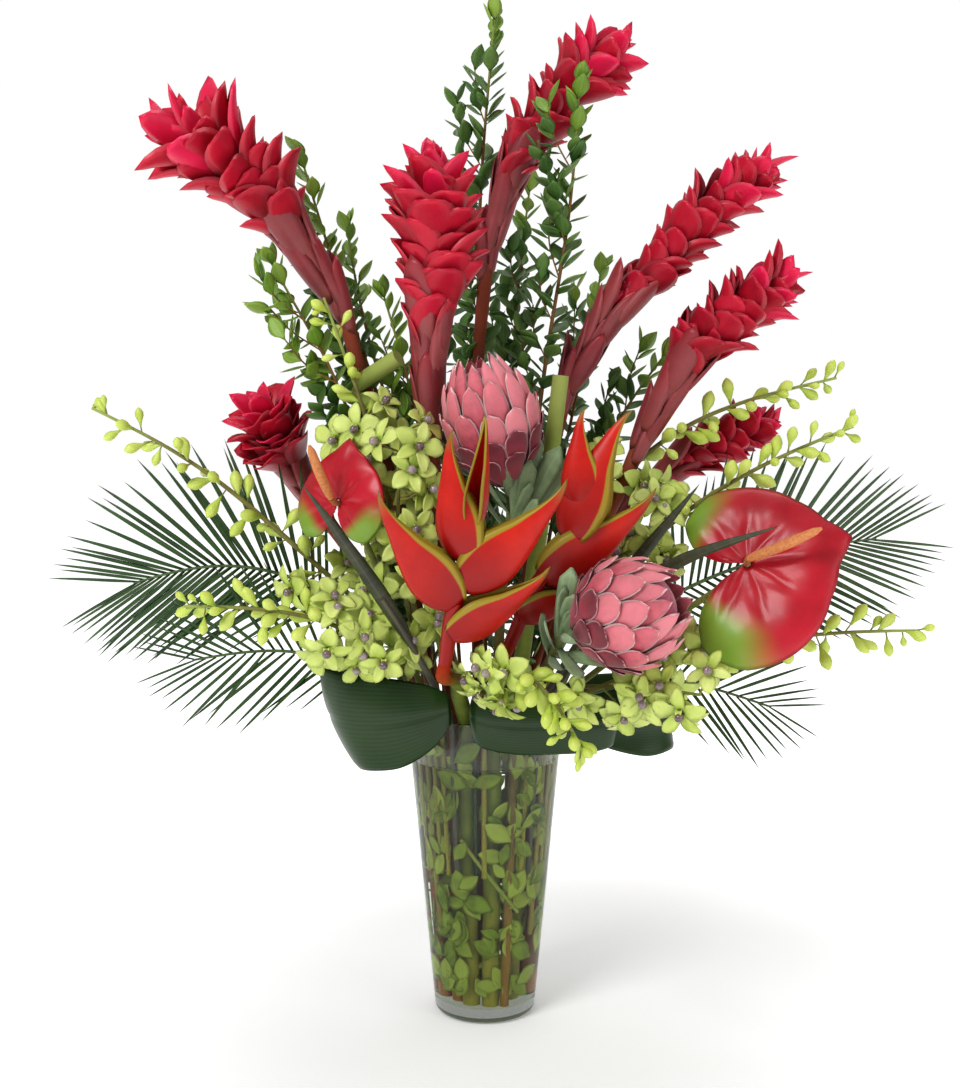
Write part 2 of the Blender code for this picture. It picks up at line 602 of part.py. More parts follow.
def closest_points(p1, q1, p2, q2):
    """Fractions along pairs of segments where they come closest, and the offset there."""
    d1, d2, r = q1 - p1, q2 - p2, p1 - p2
    a = (d1 * d1).sum(1) + 1e-12
    e = (d2 * d2).sum(1) + 1e-12
    f = (d2 * r).sum(1)
    c = (d1 * r).sum(1)
    b = (d1 * d2).sum(1)
    s = np.clip((b * f - c * e) / np.maximum(a * e - b * b, 1e-12), 0, 1)
    t = np.clip((b * s + f) / e, 0, 1)
    s = np.clip((b * t - c) / a, 0, 1)
    return s, t, (p1 + d1 * s[:, None]) - (p2 + d2 * t[:, None])


def guard_segments():
    """What the stems steer round: the rim, the blooms and the folded leaves."""
    starts, ends, radii, owners = [], [], [], []

    def add(points, radius, owner):
        radius = np.broadcast_to(radius, len(points))
        for a, b, r in zip(points[:-1], points[1:], radius):
            starts.append(a)
            ends.append(b)
            radii.append(r)
            owners.append(owner)

    turn = np.linspace(0, 2 * math.pi, 37)
    middle = MOUTH_RADIUS - VASE_WALL / 2
    rim = np.stack([middle * np.cos(turn), middle * np.sin(turn), np.full(37, VASE_HEIGHT - 0.002)], axis=1)
    add(rim, 0.0028, "vase")
    for name, (axis, half, _) in GINGER_HEADS.items():
        line = resample(catmull_rom(axis), 9)
        swell = ((0, 0.3), (0.25, 0.7), (0.5, 0.92), (1, 0.8))
        add(line, [half * lerp(t, swell) for t in np.linspace(0, 1, 9)], name)
    for name, (base, tip, half) in PROTEA_HEADS.items():
        add(resample(np.array([base, tip]), 5), [half * s for s in (0.6, 1.0, 1.0, 0.9, 0.7)], name)
    for name, (axis, bracts) in HELICONIAS.items():
        add(resample(catmull_rom(axis), 7), 0.014, name)
        for base, tip in bracts:
            add(resample(np.array([base, tip]), 4), [0.020, 0.020, 0.013, 0.006], name)
    for name, leaf in BROAD_LEAVES.items():
        low, high = np.array([p[0] for p in leaf]), np.array([p[1] for p in leaf])
        for share in (0.06, 0.28, 0.5, 0.72, 0.94):
            add(low + (high - low) * share, [0.0040] + [0.0070] * (len(leaf) - 1), name)
    return np.array(starts), np.array(ends), np.array(radii), owners


def head_approach(name):
    """The last two points of a stem, in line with the bloom that it carries."""
    if name in GINGER_HEADS:
        start, onward = np.array(GINGER_HEADS[name][0][0]), np.array(GINGER_HEADS[name][0][1])
    elif name in PROTEA_HEADS:
        start, onward = np.array(PROTEA_HEADS[name][0]), np.array(PROTEA_HEADS[name][1])
    elif name in HELICONIAS:
        start, onward = np.array(HELICONIAS[name][0][0]), np.array(HELICONIAS[name][0][1])
    elif name in ANTHURIUMS:
        centre, facing = np.array(ANTHURIUMS[name][0]), unit(ANTHURIUMS[name][2])
        return np.array([centre - 0.016 * facing, centre - 0.002 * facing])
    else:
        return np.zeros((0, 3))
    run = unit(onward - start)
    return np.array([start - 0.016 * run, start - TOUCH_GAP * run])


def stem_routes(slots):
    """Settle every stem's route above the rim so that no two touch."""
    names = list(STEMS)
    routes, fixed, reach = [], [], []
    for name in names:
        mouth = in_vase(slots[name], RIM_PLANE)
        line = np.vstack([mouth, np.array(STEMS[name][2]), head_approach(name)])
        count = max(3, int(round(curve_length(line) / ROUTE_STEP)) + 1)
        route = resample(line, count)
        pinned = np.zeros(count, bool)
        pinned[0] = True
        pinned[-1] = True
        if len(head_approach(name)):
            pinned[-2:] = True
            route[-2:] = head_approach(name)
        routes.append(route)
        fixed.append(pinned)
        reach.append(STEMS[name][0])
    start = np.cumsum([0] + [len(r) for r in routes])
    points = np.vstack(routes)
    wish = points.copy()
    pinned = np.concatenate(fixed)
    owner = np.concatenate([[i] * len(r) for i, r in enumerate(routes)])
    radius = np.concatenate([[x] * len(r) for x, r in zip(reach, routes)])
    first = np.array([i for i in range(len(points) - 1) if owner[i] == owner[i + 1]])
    g0, g1, gr, gname = guard_segments()
    gowner = np.array([names.index(n) if n in names else -1 for n in gname])
    free = ~pinned
    inner = np.array([i for i in range(1, len(points) - 1) if owner[i - 1] == owner[i + 1]])
    inner = inner[free[inner]]
    for step in range(520):
        if step % 8 == 0:
            pairs = near_pairs(points, first, owner, radius)
            guards = near_guards(points, first, owner, radius, g0, g1, gr, gowner)
        push = np.zeros_like(points)
        weight = np.full(len(points), 1e-9)
        spread_push(points, first, pairs, radius, push, weight)
        guard_push(points, first, guards, radius, g0, g1, gr, push, weight)
        move = push / np.maximum(weight, 1.0)[:, None]
        points[free] += 0.8 * move[free]
        if step < 420:
            ease = 0.5 * (points[inner - 1] + points[inner + 1]) - points[inner]
            points[inner] += 0.30 * ease + 0.03 * (wish[inner] - points[inner])
        elif step < 500:
            ease = 0.5 * (points[inner - 1] + points[inner + 1]) - points[inner]
            points[inner] += 0.06 * ease
    report_crowding(points, first, owner, radius, names)
    out = {}
    for i, name in enumerate(names):
        out[name] = np.round(points[start[i]:start[i + 1]], 4)
    return out


def near_pairs(points, first, owner, radius):
    """Segment pairs of different stems that could meet."""
    middle = 0.5 * (points[first] + points[first + 1])
    half = 0.5 * np.linalg.norm(points[first + 1] - points[first], axis=1) + radius[first]
    gap = np.linalg.norm(middle[:, None] - middle[None, :], axis=2)
    near = gap < half[:, None] + half[None, :] + 0.012
    near &= owner[first][:, None] != owner[first][None, :]
    return np.argwhere(np.triu(near, 1))


def near_guards(points, first, owner, radius, g0, g1, gr, gowner):
    """Segments of the stems that come near a bloom, a folded leaf or the rim."""
    middle = 0.5 * (points[first] + points[first + 1])
    half = 0.5 * np.linalg.norm(points[first + 1] - points[first], axis=1) + radius[first]
    gmid = 0.5 * (g0 + g1)
    ghalf = 0.5 * np.linalg.norm(g1 - g0, axis=1) + gr
    gap = np.linalg.norm(middle[:, None] - gmid[None, :], axis=2)
    near = gap < half[:, None] + ghalf[None, :] + 0.012
    near &= owner[first][:, None] != gowner[None, :]
    return np.argwhere(near)


def spread_push(points, first, pairs, radius, push, weight):
    """Push apart the segment pairs that are too close."""
    a, b = first[pairs[:, 0]], first[pairs[:, 1]]
    s, t, apart = closest_points(points[a], points[a + 1], points[b], points[b + 1])
    gap = np.linalg.norm(apart, axis=1) + 1e-9
    lack = radius[a] + radius[b] + STEM_GAP - gap
    hit = lack > 0
    a, b, s, t = a[hit], b[hit], s[hit], t[hit]
    shove = apart[hit] / gap[hit][:, None] * (0.5 * lack[hit])[:, None]
    for index, share, sign in ((a, 1 - s, 1), (a + 1, s, 1), (b, 1 - t, -1), (b + 1, t, -1)):
        np.add.at(push, index, sign * shove * (0.35 + 0.65 * share)[:, None])
        np.add.at(weight, index, 0.35 + 0.65 * share)


def guard_push(points, first, guards, radius, g0, g1, gr, push, weight):
    """Push stems out of what stands in their way."""
    if not len(guards):
        return
    a, g = first[guards[:, 0]], guards[:, 1]
    s, t, apart = closest_points(points[a], points[a + 1], g0[g], g1[g])
    gap = np.linalg.norm(apart, axis=1) + 1e-9
    lack = radius[a] + gr[g] + 0.0008 - gap
    hit = lack > 0
    a, s = a[hit], s[hit]
    shove = apart[hit] / gap[hit][:, None] * lack[hit][:, None]
    for index, share in ((a, 1 - s), (a + 1, s)):
        np.add.at(push, index, shove * (0.35 + 0.65 * share)[:, None])
        np.add.at(weight, index, 0.35 + 0.65 * share)


def report_crowding(points, first, owner, radius, names):
    """Say which stems still come too close."""
    pairs = near_pairs(points, first, owner, radius)
    a, b = first[pairs[:, 0]], first[pairs[:, 1]]
    _, _, apart = closest_points(points[a], points[a + 1], points[b], points[b + 1])
    spare = np.linalg.norm(apart, axis=1) - radius[a] - radius[b]
    for k in np.argsort(spare)[:8]:
        print("stems: %s and %s %.2f mm apart at z %.3f" % (names[owner[a[k]]], names[owner[b[k]]],
                                                            1000 * spare[k], points[a[k]][2]))


# The vase and the water.


def lathe(profile, sides):
    """A closed turned solid from (radius, height) points, with a centre point at radius zero."""
    verts, rings = [], []
    for radius, height in profile:
        if radius == 0:
            rings.append([len(verts)])
            verts.append((0.0, 0.0, height))
            continue
        rings.append(list(range(len(verts), len(verts) + sides)))
        for k in range(sides):
            angle = 2 * math.pi * k / sides
            verts.append((radius * math.cos(angle), radius * math.sin(angle), height))
    faces = []
    for low, high in zip(rings[:-1], rings[1:]):
        for k in range(sides):
            n = (k + 1) % sides
            if len(low) == 1:
                faces.append((low[0], high[n], high[k]))
            elif len(high) == 1:
                faces.append((low[k], low[n], high[0]))
            else:
                faces.append((low[k], low[n], high[n], high[k]))
    return np.array(verts), faces


def make_vase():
    """The tapered glass cylinder with its thick floor."""
    lip = VASE_WALL / 2
    edge = MOUTH_RADIUS - VASE_WALL
    profile = [(0, 0.0), (FOOT_RADIUS - FOOT_ROUNDING, 0.0), (FOOT_RADIUS - 0.0022, 0.0022),
               (FOOT_RADIUS, FOOT_ROUNDING)]
    profile += [(MOUTH_RADIUS - 0.0002, VASE_HEIGHT - 0.0012), (MOUTH_RADIUS - lip, VASE_HEIGHT),
                (edge + 0.0002, VASE_HEIGHT - 0.0012)]
    profile += [(vase_radius(VASE_FLOOR + 0.003), VASE_FLOOR + 0.003),
                (vase_radius(VASE_FLOOR) - 0.003, VASE_FLOOR), (0, VASE_FLOOR)]
    mesh = lathe(profile, VASE_SIDES)
    place("vase", mesh)
    return add_object("vase", mesh, "clear_glass", smooth=40)


def make_water(slots):
    """The water, with a plain hole for each stem that stands in it."""
    slack = 0.0005
    low = VASE_FLOOR + TOUCH_GAP
    profile = [(0, low), (vase_radius(low) - 0.003 - slack, low),
               (vase_radius(low + 0.003) - slack, low + 0.003),
               (vase_radius(WATER_LEVEL) - slack, WATER_LEVEL), (0, WATER_LEVEL)]
    item = add_object("water", lathe(profile, VASE_SIDES), "water")
    group = bpy.data.collections.new("stem_holes")
    bpy.context.scene.collection.children.link(group)
    for name, (radius, foot, _) in STEMS.items():
        start, end = in_vase(slots[name], foot), in_vase(slots[name], RIM_PLANE)
        run = unit(end - start)
        line = np.array([start - HOLE_GAP * run, end])
        cutter = add_object("hole_" + name, tube(line, [radius + HOLE_GAP] * 2, stem_sides(name)), "water")
        bpy.context.scene.collection.objects.unlink(cutter)
        group.objects.link(cutter)
    cut = item.modifiers.new("holes", "BOOLEAN")
    cut.operation = "DIFFERENCE"
    cut.operand_type = "COLLECTION"
    cut.collection = group
    cut.solver = "EXACT"
    apply_modifiers(item)
    for extra in list(group.objects):
        bpy.data.objects.remove(extra, do_unlink=True)
    bpy.data.collections.remove(group)
    return item


def stem_sides(name):
    """Thick stems have six sides, thin ones four and the thinnest three."""
    radius = STEMS[name][0]
    return 6 if radius > 0.004 else 4 if radius > 0.0027 else 3


def stem_line(name, route):
    """The few points of a route that its stem needs, with the run into a bloom kept."""
    tolerance = THICK_TOLERANCE if STEMS[name][0] > 0.004 else THIN_TOLERANCE
    if len(head_approach(name)):
        return np.vstack([thin_out(route[:-1], tolerance), route[-1:]])
    return thin_out(route, tolerance)


def stem_tube(name, slots, route, tip_radius=None, grow=0.10):
    """The whole stem from its cut foot, through the vase, along its route."""
    radius, foot, _ = STEMS[name]
    above = stem_line(name, route)
    points = np.vstack([in_vase(slots[name], foot), above])
    steps = np.linalg.norm(np.diff(points, axis=0), axis=1)
    left = np.concatenate([np.cumsum(steps[::-1])[::-1], [0.0]])
    tip_radius = tip_radius or radius
    radii = [radius + (tip_radius - radius) * max(0.0, 1 - d / grow) for d in left]
    return tube(points, radii, stem_sides(name))


# Sheets: broad leaves and spathes, from a grid of points on their middle surface.


def sheet(grid, thickness):
    """A closed thin solid about a grid of points, its two faces split into triangles alike."""
    grid = np.asarray(grid, float)
    rows, cols = grid.shape[:2]
    along = np.gradient(grid, axis=0)
    across = np.gradient(grid, axis=1)
    normal = np.cross(along, across)
    normal /= np.maximum(np.linalg.norm(normal, axis=2, keepdims=True), 1e-12)
    thickness = np.broadcast_to(thickness, (rows, cols))[:, :, None]
    top = (grid + normal * thickness / 2).reshape(-1, 3)
    bottom = (grid - normal * thickness / 2).reshape(-1, 3)
    count = rows * cols
    faces = []
    for i in range(rows - 1):
        for j in range(cols - 1):
            a, b = i * cols + j, (i + 1) * cols + j
            for tri in ((a, b, b + 1), (a, b + 1, a + 1)):
                faces.append(tri)
                faces.append(tuple(count + v for v in reversed(tri)))
    rim = [j for j in range(cols)] + [i * cols + cols - 1 for i in range(1, rows)]
    rim += [(rows - 1) * cols + j for j in range(cols - 2, -1, -1)]
    rim += [i * cols for i in range(rows - 2, 0, -1)]
    for a, b in zip(rim, rim[1:] + rim[:1]):
        faces.append((a, b, count + b))
        faces.append((a, count + b, count + a))
    return np.vstack([top, bottom]), faces


def make_broad_leaf(name, slots, route):
    """A broad leaf folded round on itself, on its round stalk."""
    edges = BROAD_LEAVES[name]
    low = np.array([p[0] for p in edges])
    high = np.array([p[1] for p in edges])
    run = np.gradient(0.5 * (low + high), axis=0)
    side = np.array([unit(np.cross(d, (0, 0, 1))) for d in run])
    height = np.linalg.norm(high - low, axis=1)[:, None]
    grid = np.stack([low, 0.5 * (low + high) + side * height * 0.05, high], axis=1)
    leaf = sheet(grid, LEAF_THICKNESS)
    stalk = stem_tube(name, slots, route, tip_radius=0.0012, grow=0.03)
    place(name, leaf)
    place(name, stalk)
    return unite(name, stalk, [leaf], "broad_leaf")


# The red ginger.


def bract_shape(t):
    """Lean from the axis, length and width shares of a bract at a place on the head."""
    lean = math.radians(lerp(t, ((0, 7), (0.22, 15), (0.38, 38), (0.55, 46), (0.85, 46), (1.0, 16))))
    length = lerp(t, ((0, 1.45), (0.3, 1.38), (0.6, 1.38), (0.9, 1.20), (1.0, 0.95)))
    width = lerp(t, ((0, 0.55), (0.25, 0.80), (0.45, 1.0), (0.7, 1.05), (1.0, 0.85)))
    return lean, length, width


def ginger_bracts(core_line, half, count):
    """The overlapping bracts in a spiral from the base of the head to its tip."""
    line = resample(core_line, 60)
    across = unit(np.cross(at_fraction(line, 0)[1], (0.3, 1.0, 0.2)))
    bits = []
    for i in range(count):
        t = (i + 0.4) / count
        point, run = at_fraction(line, 0.03 + 0.93 * t)
        side = unit(across - run * (across @ run))
        up = np.cross(run, side)
        angle = i * GOLDEN_ANGLE
        outward_way = math.cos(angle) * side + math.sin(angle) * up
        lean, length, width = bract_shape(t)
        along = run * math.cos(lean) + outward_way * math.sin(lean)
        normal = run * math.sin(lean) - outward_way * math.cos(lean)
        bits.append(blade(point, along, normal, length * half, width * half, 0.17 * width * half, cup=0.10,
                          curl=-0.10, stations=((0.72, 1.0),)))
    return bits


def make_ginger_head(name):
    """The cone of red bracts on its slim core."""
    axis, half, count = GINGER_HEADS[name]
    line = resample(catmull_rom(axis), 7)
    core = tube(line, [half * s for s in (0.21, 0.28, 0.34, 0.40, 0.40, 0.34, 0.16)], 6)
    bits = [b for b in ginger_bracts(line, half, count) if is_clear(obstacle_tree(name), b)]
    for mesh in [core] + bits:
        place(name + "_head", mesh)
    print(name, "bracts", len(bits), "of", count)
    return unite(name + "_head", core, bits, "ginger_bract")


# The protea.


GOBLET = ((0.0, 0.20), (0.12, 0.56), (0.30, 0.86), (0.50, 1.0), (0.70, 0.99), (0.85, 0.90), (1.0, 0.76))


def goblet_bract(base, run, side, up, length, half, angle, low, high, share, spread):
    """One bract that hugs the goblet from a sunk root to a free tip."""
    def spot(t, turn, lift):
        way = math.cos(angle + turn) * side + math.sin(angle + turn) * up
        return base + run * length * t + way * (half * share * lerp(t, GOBLET) + lift)

    root = base + run * length * low + 0.002 * (math.cos(angle) * side + math.sin(angle) * up)
    verts = [root]
    for t, wide in ((0.42, 0.9), (0.80, 1.0)):
        z = low + (high - low) * t
        turn = 0.5 * spread * wide
        verts += [spot(z, turn, -0.001), spot(z, -turn, -0.001), spot(z, 0.0, 0.0035)]
    verts.append(spot(high, 0.0, 0.004))
    faces = [(0, 2, 1), (0, 3, 2), (0, 1, 3), (1, 2, 5), (1, 5, 4), (2, 3, 5), (3, 6, 5),
             (3, 1, 4), (3, 4, 6), (4, 5, 7), (5, 6, 7), (6, 4, 7)]
    return np.array(verts), faces


def make_protea_head(name):
    """A goblet of bracts in three rings round a domed heart."""
    base, tip, half = PROTEA_HEADS[name]
    base, tip = np.array(base), np.array(tip)
    run = unit(tip - base)
    length = np.linalg.norm(tip - base)
    side = unit(np.cross(run, (0.2, 1.0, 0.1)))
    up = np.cross(run, side)
    profile = ((0.0, 0.18), (0.14, 0.42), (0.40, 0.60), (0.66, 0.60), (0.84, 0.46), (0.94, 0.20))
    core = tube([base + run * length * t for t, _ in profile], [half * r for _, r in profile], 8)
    bits = []
    for ring, (low, high, share, spread) in enumerate(((0.03, 0.50, 1.0, 0.66), (0.06, 0.76, 0.88, 0.74),
                                                       (0.10, 1.0, 0.76, 0.80))):
        for k in range(7):
            angle = 2 * math.pi * (k + 0.5 * ring) / 7
            bits.append(goblet_bract(base, run, side, up, length, half, angle, low, high, share, spread))
    bits = [b for b in bits if is_clear(obstacle_tree(name), b)]
    for mesh in [core] + bits:
        place(name + "_head", mesh)
    print(name, "bracts", len(bits))
    return unite(name + "_head", core, bits, "protea_bract")


# The heliconia.


def boat(base, tip, up, depth, half):
    """A folded boat-shaped bract: a keel below, two rims and a groove between them above."""
    base, tip = np.asarray(base, float), np.asarray(tip, float)
    run = unit(tip - base)
    up = unit(up - run * (up @ run))
    side = np.cross(run, up)
    length = np.linalg.norm(tip - base)
    verts = []
    for t, deep, wide in ((-0.05, 0.90, 0.9), (0.20, 1.0, 1.0), (0.60, 0.46, 0.66)):
        centre = base + run * length * t + up * depth * 0.10 * t
        keel = -0.50 * deep * depth
        rim = 0.50 * deep * depth
        section = ((0.0, keel), (0.95, -0.10 * deep * depth), (0.62, rim), (0.0, rim - 0.28 * deep * depth),
                   (-0.62, rim), (-0.95, -0.10 * deep * depth))
        verts += [centre + side * wide * half * x + up * z for x, z in section]
    verts.append(tip + up * depth * 0.10)
    faces = []
    for i in range(2):
        for k in range(6):
            a, b = 6 * i + k, 6 * i + (k + 1) % 6
            faces += [(a, b, b + 6), (a, b + 6, a + 6)]
    for k in range(6):
        faces.append((12 + k, 12 + (k + 1) % 6, 18))
    faces.append((5, 4, 3))
    faces.append((3, 2, 1))
    faces.append((5, 3, 1))
    faces.append((5, 1, 0))
    return np.array(verts), faces


def make_heliconia(name):
    """The zigzag flower axis with its folded bracts."""
    axis, bracts = HELICONIAS[name]
    line = resample(catmull_rom(axis), 6)
    core = tube(line, [0.0082, 0.0085, 0.008, 0.007, 0.006, 0.004], 6)
    bits = []
    for number, (base, tip) in enumerate(bracts):
        base, tip = np.array(base), np.array(tip)
        run = unit(tip - base)
        near = int(np.argmin(np.linalg.norm(line - base, axis=1)))
        climb = at_fraction(line, near / 5)[1]
        up = climb - run * (climb @ run)
        length = np.linalg.norm(tip - base)
        bits.append(boat(base, tip, up, 0.40 * length + 0.008, 0.0125))
    for mesh in [core] + bits:
        place(name + "_bracts", mesh)
    return unite(name + "_bracts", core, bits, "heliconia_bract")


# The anthurium.


def make_spathe(name):
    """The glossy heart, with the notch between its lobes open round the stalk."""
    centre, tip_way, facing, _, (upper, lower) = ANTHURIUMS[name]
    centre = np.array(centre)
    facing = unit(facing)
    ahead = unit(np.array(tip_way) - facing * (np.array(tip_way) @ facing))
    aside = np.cross(facing, ahead)
    outline = ((0, 1.10), (16, 0.93), (40, 0.90), (76, 0.98), (106, 1.03), (130, 0.94),
               (148, 0.66), (160, 0.30), (166, 0.12))
    grid = []
    for degrees in (-163, -149, -132, -106, -76, -44, -18, 0, 18, 44, 76, 106, 132, 149, 163):
        angle = math.radians(degrees)
        way = math.cos(angle) * ahead + math.sin(angle) * aside
        blend = 0.5 - 0.5 * math.cos(min(abs(angle) * 2, math.pi))
        size = (1 - blend) * 0.5 * (upper + lower) + blend * (upper if degrees > 0 else lower)
        reach = size * lerp(abs(degrees), outline)
        inner = 0.0034
        row = []
        for share in (0.0, 0.5, 1.0):
            out = inner + (reach - inner) * share
            rise = 0.10 * out * math.sin(math.pi * share * 0.9) - 0.10 * out * share ** 2
            row.append(centre + way * out + facing * rise)
        grid.append(row)
    mesh = sheet(np.array(grid), 0.0013)
    place(name + "_spathe", mesh)
    return add_object(name + "_spathe", mesh, "anthurium_spathe", smooth=50)


def make_anthurium_stalk(name, slots, route):
    """The long stalk, through the notch of the heart and on as the spadix."""
    centre, _, facing, spadix, _ = ANTHURIUMS[name]
    radius, foot, _ = STEMS[name]
    facing = unit(facing)
    above = thin_out(route[:-1], THIN_TOLERANCE)
    through = np.array([np.array(centre) + 0.004 * facing])
    finger = resample(catmull_rom(spadix), 4)
    points = np.vstack([in_vase(slots[name], foot), above, through, finger])
    radii = [radius] * (1 + len(above)) + [radius * 0.95, 0.0042, 0.0046, 0.0040, 0.0022]
    mesh = tube(points, radii, stem_sides(name))
    place(name, mesh)
    return add_object(name + "_stalk", mesh, "anthurium_stalk")


# Orchid sprays.


def star_flower(root, centre, facing, spin, radius):
    """Five pointed tepals in one thin closed star, with a stalk that is sunk in the stem."""
    root, centre, facing = np.asarray(root, float), np.asarray(centre, float), unit(facing)
    seed = (0, 0, 1) if abs(facing[2]) < 0.9 else (1, 0, 0)
    right = unit(np.cross(seed, facing))
    up = np.cross(facing, right)
    verts = [root, centre + facing * 0.0014]
    for k in range(5):
        outline = ((-0.5, 0.24, 0.0), (-0.22, 0.62, 0.10), (0.0, 1.0, 0.22), (0.22, 0.62, 0.10))
        for turn, reach, lift in outline:
            angle = spin + 2 * math.pi * (k + turn) / 5
            way = math.cos(angle) * right + math.sin(angle) * up
            verts.append(centre + way * radius * reach + facing * radius * lift)
    starts = (0, 8, 12)
    for start in starts:
        angle = spin + 2 * math.pi * (start / 4 - 0.5 + 0.2) / 5
        way = math.cos(angle) * right + math.sin(angle) * up
        verts.append(centre + way * 0.0018 - facing * 0.0014)
    faces = [(1, 2 + i, 2 + (i + 1) % 20) for i in range(20)]
    for n, start in enumerate(starts):
        own, after, stop = 22 + n, 22 + (n + 1) % 3, starts[(n + 1) % 3] or 20
        faces += [(own, 2 + (i + 1) % 20, 2 + i) for i in range(start, stop)]
        faces.append((own, after, 2 + stop % 20))
        faces.append((0, after, own))
    return np.array(verts), faces


def make_orchid_spray(name, slots, route):
    """An arching spray: open flowers below and buds towards the tip."""
    flowers, buds, start = ORCHID_SPRAYS[name]
    stem = stem_tube(name, slots, route, tip_radius=0.0013, grow=0.22)
    line = resample(stem_line(name, route), 90)
    tree = obstacle_tree(name)
    bits = []
    total = flowers + buds
    turn = 0.9 * int(name[-1])
    for i in range(total):
        t = start + (1 - start) * (i + 0.5) / total
        point, run = at_fraction(line, t)
        side = unit(np.cross(run, (0, 1, 0.15)))
        front = np.cross(side, run)
        front = front if front[1] < 0 else -front
        if i < flowers:
            made = grow_flower(tree, bits, point, run, side, front, turn + i * 2.2)
        else:
            size = lerp(i / total, ((0, 1.0), (1, 0.6)))
            made = grow_bud(tree, bits, point, run, side, front, turn + i * 2.6, size)
        bits += made
    for mesh in [stem] + bits:
        place(name, mesh)
    print(name, "bits", len(bits))
    return unite(name, stem, bits, "orchid_tepal")


def clear_of_bits(bits, mesh, gap=0.0008):
    """Whether a part keeps clear of its own neighbours on the spray."""
    if not bits:
        return True
    verts, faces = [], []
    for points, polygons in bits:
        start = len(verts)
        verts += [tuple(p) for p in points]
        faces += [tuple(i + start for i in polygon) for polygon in polygons]
    tree = BVHTree.FromPolygons(verts, faces)
    grown, polygons = swollen(mesh, gap)
    return not tree.overlap(BVHTree.FromPolygons([tuple(v) for v in grown], polygons))


def grow_flower(tree, bits, point, run, side, front, angle):
    """One open flower on its stalk, turned to where there is room for it."""
    for radius in (0.026, 0.023, 0.020):
        for shift in (0.0, 0.6, -0.6, 1.2, -1.2, 1.8, -1.8, 2.4, -2.4, 3.1):
            forward = 0.55 + 0.45 * math.sin(angle + shift)
            way = unit(math.cos(angle + shift) * side + forward * front + 0.25 * run)
            centre = point + way * 0.022
            facing = unit(0.75 * way + 0.5 * front + 0.1 * np.array([0, 0, 1.0]))
            flower = star_flower(point, centre, facing, 0.5 * math.pi + 0.1 * math.sin(3 * angle), radius)
            if is_clear(tree, flower) and clear_of_bits(bits, flower):
                return [flower]
    return []


def grow_bud(tree, bits, point, run, side, front, angle, size):
    """One bud, turned to where there is room for it."""
    for shift in (0.0, 0.7, -0.7, 1.4, -1.4, 2.2, -2.2, 3.0):
        forward = 0.2 + 0.8 * math.sin(angle + shift)
        way = unit(math.cos(angle + shift) * side + forward * front + 0.8 * run)
        mesh = bud(point, way, 0.030 * size + 0.004, 0.0125 * size)
        if is_clear(tree, mesh) and clear_of_bits(bits, mesh):
            return [mesh]
    return []


# Palm fronds.


def make_palm_frond(name, slots, route):
    """A feather of narrow leaflets along both sides of the rib."""
    pairs, longest, start = PALM_FRONDS[name]
    rib = stem_tube(name, slots, route, tip_radius=0.0011, grow=0.30)
    line = resample(stem_line(name, route), 90)
    tree = obstacle_tree(name)
    bits = []
    for i in range(pairs):
        t = start + (0.985 - start) * i / (pairs - 1)
        point, run = at_fraction(line, t)
        share = (t - start) / (1 - start)
        length = longest * lerp(share, ((0, 0.62), (0.25, 1.0), (0.6, 0.95), (0.85, 0.70), (1.0, 0.55)))
        spread = math.radians(lerp(share, ((0, 62), (0.5, 46), (1.0, 16))))
        side = unit(np.cross(run, (0.0, -1.0, 0.35)))
        front = np.cross(side, run)
        front = front if front[1] < 0 else -front
        for sign in (1, -1):
            bits += grow_leaflet(tree, point, run, side * sign, front, spread, length)
    for mesh in [rib] + bits:
        place(name, mesh)
    print(name, "leaflets", len(bits), "of", 2 * pairs)
    return unite(name, rib, bits, "palm_leaf")


def grow_leaflet(tree, point, run, side, front, spread, length):
    """One long leaflet, swung clear of its surroundings or cut shorter."""
    for size in (1.0, 0.75, 0.5):
        for tilt in (0.10, 0.30, -0.12, 0.50, -0.34, 0.75, -0.60):
            way = unit(run * math.cos(spread) + side * math.sin(spread) + front * tilt)
            mesh = blade(point, way, front, length * size, 0.0092, 0.0011, cup=0.25, curl=-0.05,
                         stations=((0.38, 1.0),))
            if is_clear(tree, mesh):
                return [mesh]
    return []


# Leafy sprigs.


def make_myrtle_sprig(name, slots, route):
    """An upright sprig with small pointed leaves all round."""
    count, size = MYRTLE_SPRIGS[name]
    stem = stem_tube(name, slots, route, tip_radius=0.0011, grow=0.30)
    line = resample(stem_line(name, route), 90)
    tree = obstacle_tree(name)
    bits = []
    length = curve_length(route)
    start = max(0.15, 1 - (count * 0.0125 + 0.05) / length * 1.5)
    for i in range(count):
        t = start + (0.99 - start) * i / (count - 1)
        point, run = at_fraction(line, t)
        side = unit(np.cross(run, (0.1, 1.0, 0.2)))
        up = np.cross(run, side)
        lean = math.radians(lerp(i / count, ((0, 62), (0.7, 50), (1.0, 22))))
        leaf = size * lerp(i / count, ((0, 1.0), (0.75, 0.95), (1.0, 0.75)))
        for shift in (0.0, 0.5, -0.5, 1.0, -1.0, 1.7, -1.7, 2.5, -2.5):
            angle = i * 2.4 + shift
            way = math.cos(angle) * side + math.sin(angle) * up
            along = run * math.cos(lean) + way * math.sin(lean)
            normal = run * math.sin(lean) - way * math.cos(lean)
            mesh = blade(point, along, normal, leaf + 0.004, leaf * 0.54, 0.0012, cup=0.1, curl=0.05,
                         stations=((0.55, 1.0),))
            if is_clear(tree, mesh):
                bits.append(mesh)
                break
    for mesh in [stem] + bits:
        place(name, mesh)
    print(name, "leaves", len(bits), "of", count)
    return unite(name, stem, bits, "myrtle_leaf")


# Spear leaves, cut stems and the leafy protea stems.


